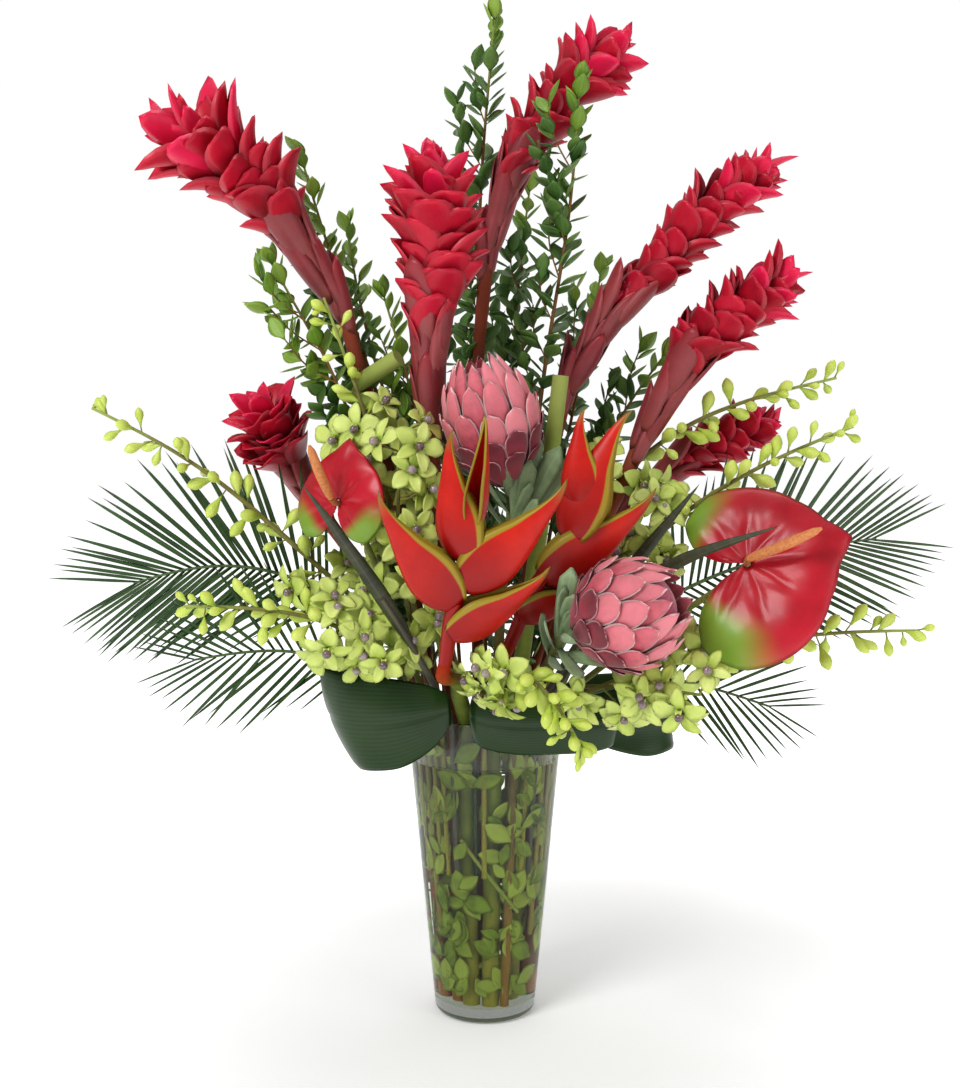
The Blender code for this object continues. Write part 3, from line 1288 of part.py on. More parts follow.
def make_spear_leaf(name, slots, route):
    """A long folded leaf that runs on from its stalk to a point."""
    line = resample(stem_line(name, route), 60)
    start = 0.34
    points = [at_fraction(line, start + (1 - start) * k / 5)[0] for k in range(6)]
    wide = (0.004, 0.0135, 0.0150, 0.0120, 0.0075)
    verts = []
    for k in range(5):
        run = unit(points[k + 1] - points[max(k - 1, 0)])
        side = unit(np.cross(run, (0.0, 1.0, 0.35)))
        front = np.cross(side, run)
        half = wide[k] * 0.5
        verts += [points[k] + side * half + front * half * 0.5, points[k] + front * 0.0006,
                  points[k] - side * half + front * half * 0.5, points[k] - front * 0.0016]
    verts.append(points[5])
    faces = [(3, 2, 1), (3, 1, 0)]
    for s in range(4):
        for k in range(4):
            a, b = 4 * s + k, 4 * s + (k + 1) % 4
            if k % 2 == 0:
                faces += [(a, b, b + 4), (a, b + 4, a + 4)]
            else:
                faces += [(a, b, a + 4), (b, b + 4, a + 4)]
    for k in range(4):
        faces.append((16 + k, 16 + (k + 1) % 4, 20))
    leaf = (np.array(verts), faces)
    keep = int(len(route) * 0.62) + 1
    stalk = stem_tube(name, slots, route[:keep], tip_radius=0.0026)
    place(name, leaf)
    place(name, stalk)
    return unite(name, stalk, [leaf], "spear_leaf")


def make_protea_stem(name, slots, route):
    """The stem below the head, with a ruff of blunt grey-green leaves."""
    stem = stem_tube(name, slots, route)
    line = resample(stem_line(name, route), 90)
    length = curve_length(route)
    tree = obstacle_tree(name)
    bits = []
    for i in range(9):
        back = 0.004 + 0.0055 * i
        point, run = at_fraction(line, 1 - back / length)
        side = unit(np.cross(run, (0.0, 1.0, 0.1)))
        front = np.cross(side, run)
        for lean, shift in ((40, 0), (55, 0), (55, 0.5), (55, -0.5), (70, 0.2), (70, 1.0), (80, -0.8),
                            (85, 1.6)):
            angle = i * GOLDEN_ANGLE + shift
            way = math.cos(angle) * side + math.sin(angle) * front
            a = math.radians(lean)
            along = run * math.cos(a) + way * math.sin(a)
            normal = run * math.sin(a) - way * math.cos(a)
            mesh = blade(point, along, normal, 0.058, 0.0145, 0.0016, cup=0.15, curl=0.14,
                         stations=((0.40, 0.8), (0.88, 0.95)))
            if is_clear(tree, mesh) and clear_of_bits(bits, mesh, 0.0):
                bits.append(mesh)
                break
    for mesh in [stem] + bits:
        place(name, mesh)
    print(name, "stem leaves", len(bits))
    return unite(name + "_stem", stem, bits, "protea_leaf")


def main():
    clear_scene()
    make_vase()
    slots = foot_slots()
    routes = stem_routes(slots)
    make_water(slots)
    for name, route in routes.items():
        if not name.startswith(("anthurium", "broad", "spear")):
            place(name, stem_tube(name, slots, route))
    for name in BROAD_LEAVES:
        make_broad_leaf(name, slots, routes[name])
    for name in ANTHURIUMS:
        make_anthurium_stalk(name, slots, routes[name])
        make_spathe(name)
    for name in HELICONIAS:
        make_heliconia(name)
        add_object(name + "_stem", stem_tube(name, slots, routes[name]), "heliconia_stem", smooth=40)
    for number in (1, 2, 3):
        name = "spear_leaf_%d" % number
        make_spear_leaf(name, slots, routes[name])
    for name in PROTEA_HEADS:
        make_protea_head(name)
    for name in GINGER_HEADS:
        make_ginger_head(name)
        mesh = stem_tube(name, slots, routes[name], tip_radius=0.0082)
        PLACED[name] = [outward(mesh)]
        add_object(name + "_stem", mesh, "ginger_sheath", smooth=40)
    for number in (1, 2):
        name = "cut_stem_%d" % number
        add_object(name, stem_tube(name, slots, routes[name]), "cut_stem", smooth=40)
    for name in PROTEA_HEADS:
        make_protea_stem(name, slots, routes[name])
    for name in ORCHID_SPRAYS:
        make_orchid_spray(name, slots, routes[name])
    for name in PALM_FRONDS:
        make_palm_frond(name, slots, routes[name])
    for name in MYRTLE_SPRIGS:
        make_myrtle_sprig(name, slots, routes[name])
    total = 0
    for item in bpy.context.scene.objects:
        item.data.calc_loop_triangles()
        total += len(item.data.loop_triangles)
    print("nodes", len(bpy.context.scene.objects), "triangles", total)


main()
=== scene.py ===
# %% [markdown]
# # A tall tropical bouquet in a tapered glass vase
#
# Seven red gingers lead this arrangement, with heliconias, proteas, anthuriums, lime
# orchids, palm fronds, myrtle and folded broad leaves round them. The plain solids of
# every piece are loaded first. They stay where they are, and each finer piece that is
# grown in this lesson takes the place of one of them.

# %% Load the plain solids
import math
from itertools import product

import bmesh
import bpy
import numpy as np
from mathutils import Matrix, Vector
from mathutils.bvhtree import BVHTree
from mathutils.kdtree import KDTree


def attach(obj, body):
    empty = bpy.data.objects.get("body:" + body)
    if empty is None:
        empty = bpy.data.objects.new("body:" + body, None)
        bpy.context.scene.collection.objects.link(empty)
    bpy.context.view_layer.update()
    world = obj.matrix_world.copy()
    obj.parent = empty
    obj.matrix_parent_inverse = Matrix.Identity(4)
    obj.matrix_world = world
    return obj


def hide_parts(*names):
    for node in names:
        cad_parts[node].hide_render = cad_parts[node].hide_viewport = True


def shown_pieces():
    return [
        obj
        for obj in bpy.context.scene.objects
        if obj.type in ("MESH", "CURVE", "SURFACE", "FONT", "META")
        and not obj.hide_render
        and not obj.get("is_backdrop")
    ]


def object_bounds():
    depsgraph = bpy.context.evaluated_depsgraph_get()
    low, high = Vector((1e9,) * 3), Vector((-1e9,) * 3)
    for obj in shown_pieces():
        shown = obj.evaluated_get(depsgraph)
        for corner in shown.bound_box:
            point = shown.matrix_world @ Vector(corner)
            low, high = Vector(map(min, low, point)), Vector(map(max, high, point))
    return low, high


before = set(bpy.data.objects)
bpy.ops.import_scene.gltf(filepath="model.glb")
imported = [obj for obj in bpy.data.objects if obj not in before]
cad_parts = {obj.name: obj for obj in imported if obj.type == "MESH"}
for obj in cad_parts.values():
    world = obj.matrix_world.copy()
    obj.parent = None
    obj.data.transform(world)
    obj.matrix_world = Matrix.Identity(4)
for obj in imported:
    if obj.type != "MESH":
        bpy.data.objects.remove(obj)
PLAIN_BOX = [[round(float(x), 5) for x in corner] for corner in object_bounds()]
print("plain solids:", len(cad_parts), "box:", PLAIN_BOX)

# %% [markdown]
# ## The sizes of the real things
#
# A florist's tapered cylinder is twelve inches tall, and everything else is measured
# against it. A stem is given by its radius, the height of its cut foot and the points
# that it passes above the rim. Real stems were pushed in one after the other, so the
# table is in the order of a florist's work: big blooms first, then sprays and greens.

# %% The vase

VASE_HEIGHT = 0.305
MOUTH_RADIUS = 0.079
FOOT_RADIUS = 0.051
VASE_WALL = 0.004
VASE_FLOOR = 0.014
WATER_LEVEL = 0.258
RIM_PLANE = 0.297
SLOT_GAP = 0.0014
STEM_GAP = 0.0030
ROUTE_STEP = 0.020
TOUCH_GAP = 0.0003
GOLDEN_ANGLE = math.radians(137.508)

DEEP = VASE_FLOOR + 0.002
MIDDLE = 0.085
SHALLOW = 0.150

def metres(value):
    """Millimetres to metres, for a number, a point or a list of points."""
    if isinstance(value, (int, float)):
        return round(value / 1000, 6)
    return [metres(part) for part in value]

print("the vase is", VASE_HEIGHT, "m tall and", 2 * MOUTH_RADIUS, "m wide at its mouth")

# %% [markdown]
# The table is in millimetres. Each kind has its radius and how deep it stands, and then a
# row of points for every stem.

# %% The stems
STEM_KINDS = {
    "ginger": (6.2, DEEP, [
        [(-80, 0, 480), (-109, 0, 587), (-131, 0, 675)],
        [(-44, -30, 480), (-51, -40, 570)],
        [(-10, 55, 494), (-12, 70, 615), (-3, 70, 730)],
        [(45, 25, 475), (68, 30, 570), (80, 30, 605)],
        [(85, 10, 446), (130, 10, 530)],
        [(-105, 45, 422), (-155, 50, 490)],
        [(75, 75, 420), (130, 80, 485)]]),
    "heliconia": (7.8, DEEP, [
        [(-26, -105, 352), (-34, -145, 368)],
        [(20, -95, 354), (21, -112, 376)]]),
    "protea": (4.5, DEEP, [
        [(14, -50, 430), (21, -66, 510)],
        [(52, -110, 362), (72, -158, 398)]]),
    "anthurium": (3, MIDDLE, [
        [(110, -85, 372), (178, -120, 414), (228, -140, 458)],
        [(-68, -50, 390), (-104, -70, 453), (-131, -90, 509)]]),
    "orchid_spray": (2.6, SHALLOW, [
        [(-80, -35, 395), (-130, -42, 430), (-180, -50, 466), (-247, -50, 540), (-319, -60, 585),
         (-374, -60, 606)],
        [(-80, -100, 385), (-135, -145, 425), (-204, -160, 433), (-267, -160, 428)],
        [(-68, -50, 420), (-89, -60, 500), (-108, -60, 595), (-138, -50, 667), (-154, -50, 711)],
        [(-66, -90, 385), (-90, -115, 456), (-82, -115, 535), (-77, -100, 585)],
        [(0, -130, 372), (15, -190, 392), (42, -215, 396), (70, -225, 368), (82, -220, 311)],
        [(90, 5, 480), (160, 10, 582), (221, 10, 614), (284, 0, 625), (349, 0, 638)],
        [(110, -50, 431), (168, -85, 508), (236, -95, 546), (293, -90, 573), (342, -90, 588)],
        [(118, -70, 356), (197, -110, 376), (288, -120, 404), (397, -120, 401)],
        [(80, -110, 352), (125, -165, 364), (187, -185, 353)]]),
    "palm_frond": (2.6, SHALLOW, [
        [(-116, 10, 415), (-186, 0, 448), (-244, 0, 467), (-296, -10, 464), (-345, -30, 436)],
        [(129, 30, 392), (215, 40, 435), (285, 30, 462), (345, 15, 478), (392, 0, 478)],
        [(-145, -10, 378), (-216, -30, 383), (-284, -50, 363)],
        [(140, -20, 358), (223, -40, 345), (277, -55, 318)]]),
    "broad_leaf": (2.6, SHALLOW, [
        [(-70, -30, 320), (-99, -25.5, 324)],
        [(-4, -73, 319), (-12, -92, 320)],
        [(72, 0, 319), (98, 4, 324)]]),
    "spear_leaf": (3.2, SHALLOW, [
        [(-55, -120, 374), (-100, -170, 451), (-157, -195, 537)],
        [(106, -110, 415), (148, -175, 461), (192, -200, 480), (247, -215, 502)],
        [(105, -70, 420), (140, -125, 465), (165, -140, 499), (190, -150, 536)]]),
    "cut_stem": (8, DEEP, [
        [(-56, -22, 448), (-78, -30, 576), (-84, -32, 656)],
        [(49, -20, 458), (66, -20, 560), (74, -22, 639)]]),
    "myrtle_sprig": (2.1, MIDDLE, [
        [(1, 90, 556), (-9, 100, 725), (-6, 100, 848), (10, 90, 1014)],
        [(49, 35, 560), (62, 20, 679), (88, 10, 798), (93, 10, 926)],
        [(-85, 45, 557), (-126, 55, 669), (-161, 55, 768), (-187, 45, 865)],
        [(-85, 10, 517), (-140, -20, 635), (-175, -35, 690), (-204, -45, 744)],
        [(-76, 80, 546), (-112, 90, 640), (-138, 95, 723), (-145, 90, 799)],
        [(-55, 10, 557), (-75, 15, 636), (-87, 20, 685), (-101, 20, 719)],
        [(30, 130, 589), (31, 145, 698), (39, 150, 785), (49, 150, 849)],
        [(85, 120, 567), (104, 135, 643), (121, 145, 709), (128, 150, 763)],
        [(95, 95, 500), (130, 85, 598), (160, 75, 640), (187, 70, 665)],
        [(-44, 120, 578), (-49, 135, 676), (-36, 145, 753), (-22, 150, 828)]]),
}
OTHER_RADII = {"ginger_6": 5.5, "ginger_7": 5.5, "cut_stem_1": 8.5}

def stem_table():
    """Every stem by name: its radius, the height of its foot and its points, in metres."""
    table = {}
    for kind, (radius, foot, stems) in STEM_KINDS.items():
        for number, points in enumerate(stems, 1):
            name = "%s_%d" % (kind, number)
            table[name] = (metres(OTHER_RADII.get(name, radius)), foot, metres(points))
    return table

STEMS = stem_table()
print("stems:", len(STEMS))

# %% [markdown]
# The blooms stand at the ends of their stems. A ginger or a heliconia is given by its
# axis, a protea by its base and tip, and an anthurium by the way that its heart looks.

# %% The blooms
# Ginger: the axis of the head, its half width, and the number of bracts of the solid.
GINGER_HEADS = {
    "ginger_1": ([(-148, -2, 713), (-179, -10, 764), (-215, -20, 812), (-255, -35, 843),
        (-290, -50, 852)], 52, 21),
    "ginger_2": ([(-53, -42, 603), (-52, -48, 676), (-47, -53, 742), (-48, -57, 815)], 52, 22),
    "ginger_3": ([(6, 70, 776), (20, 69, 826), (42, 65, 878), (80, 59, 930), (126, 52, 966)], 45, 20),
    "ginger_4": ([(88, 30, 632), (121, 25, 693), (171, 20, 749), (222, 10, 800), (262, 2, 833)], 46, 22),
    "ginger_5": ([(161, 2, 583), (192, -8, 641), (226, -18, 682), (264, -28, 713), (282, -34, 726)], 48, 20),
    "ginger_6": ([(-174, 45, 512), (-194, 30, 548), (-211, 12, 581), (-216, -2, 598)], 45, 13),
    "ginger_7": ([(154, 78, 508), (200, 68, 548), (240, 60, 572), (270, 54, 586)], 40, 15),
}
GINGER_HEADS = {name: (metres(axis), metres(half), count)
                for name, (axis, half, count) in GINGER_HEADS.items()}

# Protea: base, tip and half width.
PROTEA_HEADS = {
    "protea_1": metres([(22, -70, 534), (-7, -95, 640), 46]),
    "protea_2": metres([(80, -168, 404), (158, -205, 440), 50]),
}

# Heliconia: the flower axis, and the base and tip of each folded bract.
HELICONIAS = {
    "heliconia_1": metres([[(-36, -160, 378), (-28, -185, 427), (-14, -190, 475), (-10, -195, 523)],
        [((-29, -180, 409), (57, -185, 450)), ((-27, -188, 437), (-99, -215, 515)),
         ((-19, -190, 454), (75, -200, 523)), ((-15, -192, 476), (-42, -195, 573)),
         ((-10, -195, 506), (2, -195, 589))]]),
    "heliconia_2": metres([[(23, -120, 390), (49, -135, 449), (80, -140, 490), (95, -140, 539)],
        [((31, -130, 419), (104, -125, 440)), ((54, -135, 456), (155, -145, 513)),
         ((80, -140, 490), (112, -140, 600)), ((89, -140, 517), (76, -140, 597))]]),
}

# Anthurium: where the stalk passes through, the tip's direction, the way the glossy face
# looks, the line of the spadix, and the heart's reach on its upper and lower side.
ANTHURIUMS = {
    "anthurium_1": (metres((233, -150, 465)), (0.925, -0.237, 0.296), (-0.342, -0.857, 0.382),
                    metres([(232, -160, 470), (258, -180, 483), (287, -198, 499)]), metres((76, 94))),
    "anthurium_2": (metres((-136, -105, 517)), (-0.05, -0.13, 0.99), (-0.62, -0.75, 0.15),
                    metres([(-141, -115, 522), (-150, -127, 545), (-158, -136, 570)]), metres((56, 56))),
}

print("heads:", len(GINGER_HEADS), "gingers,", len(PROTEA_HEADS), "proteas,", len(HELICONIAS), "heliconias")

# %% [markdown]
# The sprays and the greens are given by how many flowers, buds or leaves they carry, and
# each folded leaf by the smooth lines of its two edges.

# %% The sprays and the greens
# Orchids: open flowers, buds, and where on the stem they begin.
ORCHID_SPRAYS = {
    "orchid_spray_1": (3, 9, 0.22), "orchid_spray_2": (5, 7, 0.26), "orchid_spray_3": (6, 4, 0.30),
    "orchid_spray_4": (5, 0, 0.30), "orchid_spray_5": (4, 9, 0.34), "orchid_spray_6": (2, 9, 0.45),
    "orchid_spray_7": (3, 8, 0.40), "orchid_spray_8": (3, 8, 0.28), "orchid_spray_9": (4, 0, 0.40),
}

# Palm: pairs of leaflets, the longest leaflet, and where they begin. Myrtle: leaves and leaf length.
PALM_FRONDS = {"palm_frond_1": (14, 0.150, 0.42), "palm_frond_2": (14, 0.140, 0.42),
               "palm_frond_3": (9, 0.110, 0.36), "palm_frond_4": (8, 0.100, 0.36)}
MYRTLE_SPRIGS = {"myrtle_sprig_1": (22, 0.030), "myrtle_sprig_2": (18, 0.028),
                 "myrtle_sprig_3": (20, 0.026), "myrtle_sprig_4": (10, 0.028),
                 "myrtle_sprig_5": (12, 0.028), "myrtle_sprig_6": (9, 0.026),
                 "myrtle_sprig_7": (14, 0.028), "myrtle_sprig_8": (12, 0.028),
                 "myrtle_sprig_9": (11, 0.030), "myrtle_sprig_10": (13, 0.028)}

# Broad leaves: pairs of points on the lower and the upper edge of each fold.
BROAD_LEAVES = {
    "broad_leaf_1": metres([((-70, -30, 313), (-70, -30, 327)), ((-98, -26, 310), (-102, -25, 338)),
        ((-114, -36, 282), (-139, -34, 356)), ((-121, -58, 269), (-156, -58, 367)),
        ((-121, -84, 267), (-155, -86, 364)), ((-108, -104, 267), (-135, -108, 360)),
        ((-78, -114, 272), (-95, -116, 357)), ((-50, -114, 289), (-55, -115, 350)),
        ((-32, -106, 310), (-34, -107, 340))]),
    "broad_leaf_2": metres([((-4, -73, 313), (-4, -73, 325)), ((-12, -92, 306), (-12, -92, 334)),
        ((-5, -104, 290), (-5, -104, 338)), ((25, -111, 284), (25, -111, 338)),
        ((60, -112, 284), (60, -112, 338)), ((95, -108, 285), (95, -108, 338)),
        ((117, -98, 288), (118, -98, 335)), ((122, -85, 291), (122, -85, 332))]),
    "broad_leaf_3": metres([((72, 0, 313), (72, 0, 326)), ((98, 4, 309), (98, 4, 338)),
        ((135, 2, 298), (135, 2, 342)), ((170, -8, 284), (172, -6, 338)), ((186, -26, 277), (190, -26, 334)),
        ((180, -46, 274), (184, -48, 331)), ((155, -60, 271), (155, -62, 328)),
        ((120, -64, 279), (120, -66, 324)), ((100, -62, 290), (100, -64, 320))]),
}
print("sprays:", len(ORCHID_SPRAYS), "fronds:", len(PALM_FRONDS), "sprigs:", len(MYRTLE_SPRIGS))

# %% [markdown]
# ## Lines that bend like stems
#
# A stem never has corners. A Catmull-Rom curve runs smoothly through a few points, which
# is easier to steer than a Bezier curve with handles, so every bend here is one.

# %% Curves
def unit(vector):
    """The vector at length one."""
    vector = np.asarray(vector, float)
    return vector / max(np.linalg.norm(vector), 1e-12)

def lerp(value, points):
    """Read a value from a short list of (position, value) pairs."""
    return float(np.interp(value, [p[0] for p in points], [p[1] for p in points]))

def catmull_rom(points, per_span=8):
    """A smooth curve through the points."""
    points = np.asarray(points, float)
    first = 2 * points[0] - points[1]
    last = 2 * points[-1] - points[-2]
    padded = np.vstack([first, points, last])
    out = []
    for i in range(1, len(padded) - 2):
        a, b, c, d = padded[i - 1], padded[i], padded[i + 1], padded[i + 2]
        for k in range(per_span):
            t = k / per_span
            out.append(0.5 * (2 * b + (c - a) * t + (2 * a - 5 * b + 4 * c - d) * t * t
                              + (3 * b - a - 3 * c + d) * t ** 3))
    out.append(points[-1])
    return np.array(out)

def resample(points, count):
    """The same line with evenly spaced points."""
    points = np.asarray(points, float)
    steps = np.linalg.norm(np.diff(points, axis=0), axis=1)
    length = np.concatenate([[0.0], np.cumsum(steps)])
    wanted = np.linspace(0.0, length[-1], count)
    return np.stack([np.interp(wanted, length, points[:, k]) for k in range(3)], axis=1)

def curve_length(points):
    """The length of a line of points."""
    return float(np.linalg.norm(np.diff(points, axis=0), axis=1).sum())

def at_fraction(points, fraction):
    """Position and direction at a fraction of an evenly spaced line."""
    place = np.clip(fraction, 0.0, 1.0) * (len(points) - 1)
    low = int(min(math.floor(place), len(points) - 2))
    here = points[low] + (points[low + 1] - points[low]) * (place - low)
    ahead = points[min(low + 2, len(points) - 1)]
    behind = points[max(low - 1, 0)]
    return here, unit(ahead - behind)

def thin_out(points, tolerance):
    """Keep only the points that the line needs, within the tolerance."""
    keep = [0, len(points) - 1]
    stack = [(0, len(points) - 1)]
    while stack:
        a, b = stack.pop()
        if b - a < 2:
            continue
        line = unit(points[b] - points[a])
        offset = points[a + 1:b] - points[a]
        away = np.linalg.norm(offset - np.outer(offset @ line, line), axis=1)
        worst = int(np.argmax(away))
        if away[worst] > tolerance:
            middle = a + 1 + worst
            keep.append(middle)
            stack += [(a, middle), (middle, b)]
    return points[sorted(keep)]

print("a bend of three points becomes", len(catmull_rom([(0, 0, 0), (1, 0, 1), (3, 0, 1)])), "points")

# %% [markdown]
# ## Where each stem stands
#
# Every stem has a place of its own on the floor of the vase, on the side that it leans
# to. The feet are packed as discs: each pushes its neighbours off until all fit. Inside
# the tapered vase a stem is straight, so its place at any height is its foot's place
# scaled by how wide the vase is there.

# %% Feet in the vase
def vase_radius(height):
    """Inner radius of the vase at a height."""
    slope = (MOUTH_RADIUS - FOOT_RADIUS) / (VASE_HEIGHT - VASE_FLOOR)
    return FOOT_RADIUS - VASE_WALL + slope * (height - VASE_FLOOR)

def foot_slots():
    """Pack the stems' feet as discs on the floor, each on the side it leans to."""
    names = list(STEMS)
    radii = np.array([STEMS[n][0] for n in names])
    limit = vase_radius(VASE_FLOOR) - 0.0018
    lean = []
    for name in names:
        points = np.array(STEMS[name][2])
        if points[-1][2] > points[0][2]:
            height = np.clip(0.42, points[0][2], points[-1][2])
            lean.append([np.interp(height, points[:, 2], points[:, k]) for k in range(2)])
        else:
            lean.append(points[0][:2])
    lean = np.array(lean)
    reach = np.linalg.norm(lean, axis=1, keepdims=True)
    spots = lean / np.maximum(reach, 1e-6) * (limit - radii[:, None]) * np.minimum(1.0, reach / 0.10)
    wish = spots.copy()
    need = radii[:, None] + radii[None, :] + SLOT_GAP
    np.fill_diagonal(need, 0.0)
    for step in range(3000):
        apart = spots[:, None, :] - spots[None, :, :]
        gap = np.linalg.norm(apart, axis=2) + 1e-9
        push = np.clip(need - gap, 0.0, None) / gap
        np.fill_diagonal(push, 0.0)
        spots = spots + 0.42 * (apart * push[:, :, None]).sum(axis=1)
        if step < 1500:
            spots = spots + 0.01 * (wish - spots)
        out = np.linalg.norm(spots, axis=1)
        most = limit - radii
        spots = spots * np.minimum(1.0, most / np.maximum(out, 1e-9))[:, None]
    return {name: np.round(spot, 4) for name, spot in zip(names, spots)}

def in_vase(slot, height):
    """Where a stem that starts at a floor slot is at a height inside the vase."""
    share = vase_radius(height) / vase_radius(VASE_FLOOR)
    return np.array([slot[0] * share, slot[1] * share, height])

slots = foot_slots()
print("feet placed:", len(slots))

# %% [markdown]
# ## Stems that don't cross
#
# Above the rim real stems rest side by side and never run through each other. The same
# settling rule as for the solids is used again, so that the fine stems lie exactly where
# the plain ones are: near stems push each other apart, and each is drawn back to its line.

# %% What the stems steer round
def closest_points(p1, q1, p2, q2):
    """Fractions along pairs of segments where they come closest, and the offset there."""
    d1, d2, r = q1 - p1, q2 - p2, p1 - p2
    a = (d1 * d1).sum(1) + 1e-12
    e = (d2 * d2).sum(1) + 1e-12
    f = (d2 * r).sum(1)
    c = (d1 * r).sum(1)
    b = (d1 * d2).sum(1)
    s = np.clip((b * f - c * e) / np.maximum(a * e - b * b, 1e-12), 0, 1)
    t = np.clip((b * s + f) / e, 0, 1)
    s = np.clip((b * t - c) / a, 0, 1)
    return s, t, (p1 + d1 * s[:, None]) - (p2 + d2 * t[:, None])

def guard_segments():
    """What the stems steer round: the rim, the blooms and the folded leaves."""
    starts, ends, radii, owners = [], [], [], []

    def add(points, radius, owner):
        radius = np.broadcast_to(radius, len(points))
        for a, b, r in zip(points[:-1], points[1:], radius):
            starts.append(a)
            ends.append(b)
            radii.append(r)
            owners.append(owner)

    turn = np.linspace(0, 2 * math.pi, 37)
    middle = MOUTH_RADIUS - VASE_WALL / 2
    rim = np.stack([middle * np.cos(turn), middle * np.sin(turn), np.full(37, VASE_HEIGHT - 0.002)], axis=1)
    add(rim, 0.0028, "vase")
    for name, (axis, half, _) in GINGER_HEADS.items():
        line = resample(catmull_rom(axis), 9)
        swell = ((0, 0.3), (0.25, 0.7), (0.5, 0.92), (1, 0.8))
        add(line, [half * lerp(t, swell) for t in np.linspace(0, 1, 9)], name)
    for name, (base, tip, half) in PROTEA_HEADS.items():
        add(resample(np.array([base, tip]), 5), [half * s for s in (0.6, 1.0, 1.0, 0.9, 0.7)], name)
    for name, (axis, bracts) in HELICONIAS.items():
        add(resample(catmull_rom(axis), 7), 0.014, name)
        for base, tip in bracts:
            add(resample(np.array([base, tip]), 4), [0.020, 0.020, 0.013, 0.006], name)
    for name, leaf in BROAD_LEAVES.items():
        low, high = np.array([p[0] for p in leaf]), np.array([p[1] for p in leaf])
        for share in (0.06, 0.28, 0.5, 0.72, 0.94):
            add(low + (high - low) * share, [0.0040] + [0.0070] * (len(leaf) - 1), name)
    return np.array(starts), np.array(ends), np.array(radii), owners

def head_approach(name):
    """The last two points of a stem, in line with the bloom that it carries."""
    if name in GINGER_HEADS:
        start, onward = np.array(GINGER_HEADS[name][0][0]), np.array(GINGER_HEADS[name][0][1])
    elif name in PROTEA_HEADS:
        start, onward = np.array(PROTEA_HEADS[name][0]), np.array(PROTEA_HEADS[name][1])
    elif name in HELICONIAS:
        start, onward = np.array(HELICONIAS[name][0][0]), np.array(HELICONIAS[name][0][1])
    elif name in ANTHURIUMS:
        centre, facing = np.array(ANTHURIUMS[name][0]), unit(ANTHURIUMS[name][2])
        return np.array([centre - 0.016 * facing, centre - 0.002 * facing])
    else:
        return np.zeros((0, 3))
    run = unit(onward - start)
    return np.array([start - 0.016 * run, start - TOUCH_GAP * run])

print("obstacles:", len(guard_segments()[0]), "short lengths")

# %% Pushing near stems apart
def lengths_near(middles, halves, owners):
    """Which short lengths of one group come near those of another that they don't belong to."""
    gap = np.linalg.norm(middles[0][:, None] - middles[1][None, :], axis=2)
    near = gap < halves[0][:, None] + halves[1][None, :] + 0.012
    return near & (owners[0][:, None] != owners[1][None, :])

def middle_and_half(starts, ends, radii):
    """The middle of each short length, and how far it reaches from there."""
    return 0.5 * (starts + ends), 0.5 * np.linalg.norm(ends - starts, axis=1) + radii

def push_out(points, own, starts, ends, reach, part):
    """Where lengths are nearer than their reach: which ones, where along them, and the push."""
    s, t, apart = closest_points(points[own], points[own + 1], starts, ends)
    gap = np.linalg.norm(apart, axis=1) + 1e-9
    hit = reach - gap > 0
    shove = apart[hit] / gap[hit][:, None] * (part * (reach - gap)[hit])[:, None]
    return hit, s[hit], t[hit], shove

def add_push(push, weight, index, share, shove):
    """Share a push out between the two ends of a short length."""
    np.add.at(push, index, shove * (0.35 + 0.65 * share)[:, None])
    np.add.at(weight, index, 0.35 + 0.65 * share)

print("a push on a length is shared between its two ends")

# %% [markdown]
# The stems settle in small steps. Most of them also straighten a stem a little and draw it
# back to the line that it is meant to take; the last ones only push.

# %% Settle the stems
def first_lines():
    """Every stem's line from the mouth to its bloom, and which points hold still."""
    lines, pinned = [], []
    for name in STEMS:
        approach = head_approach(name)
        line = np.vstack([in_vase(slots[name], RIM_PLANE), np.array(STEMS[name][2]), approach])
        line = resample(line, max(3, int(round(curve_length(line) / ROUTE_STEP)) + 1))
        still = np.zeros(len(line), bool)
        still[[0, -1]] = True
        if len(approach):
            still[-2:] = True
            line[-2:] = approach
        lines.append(line)
        pinned.append(still)
    return lines, pinned

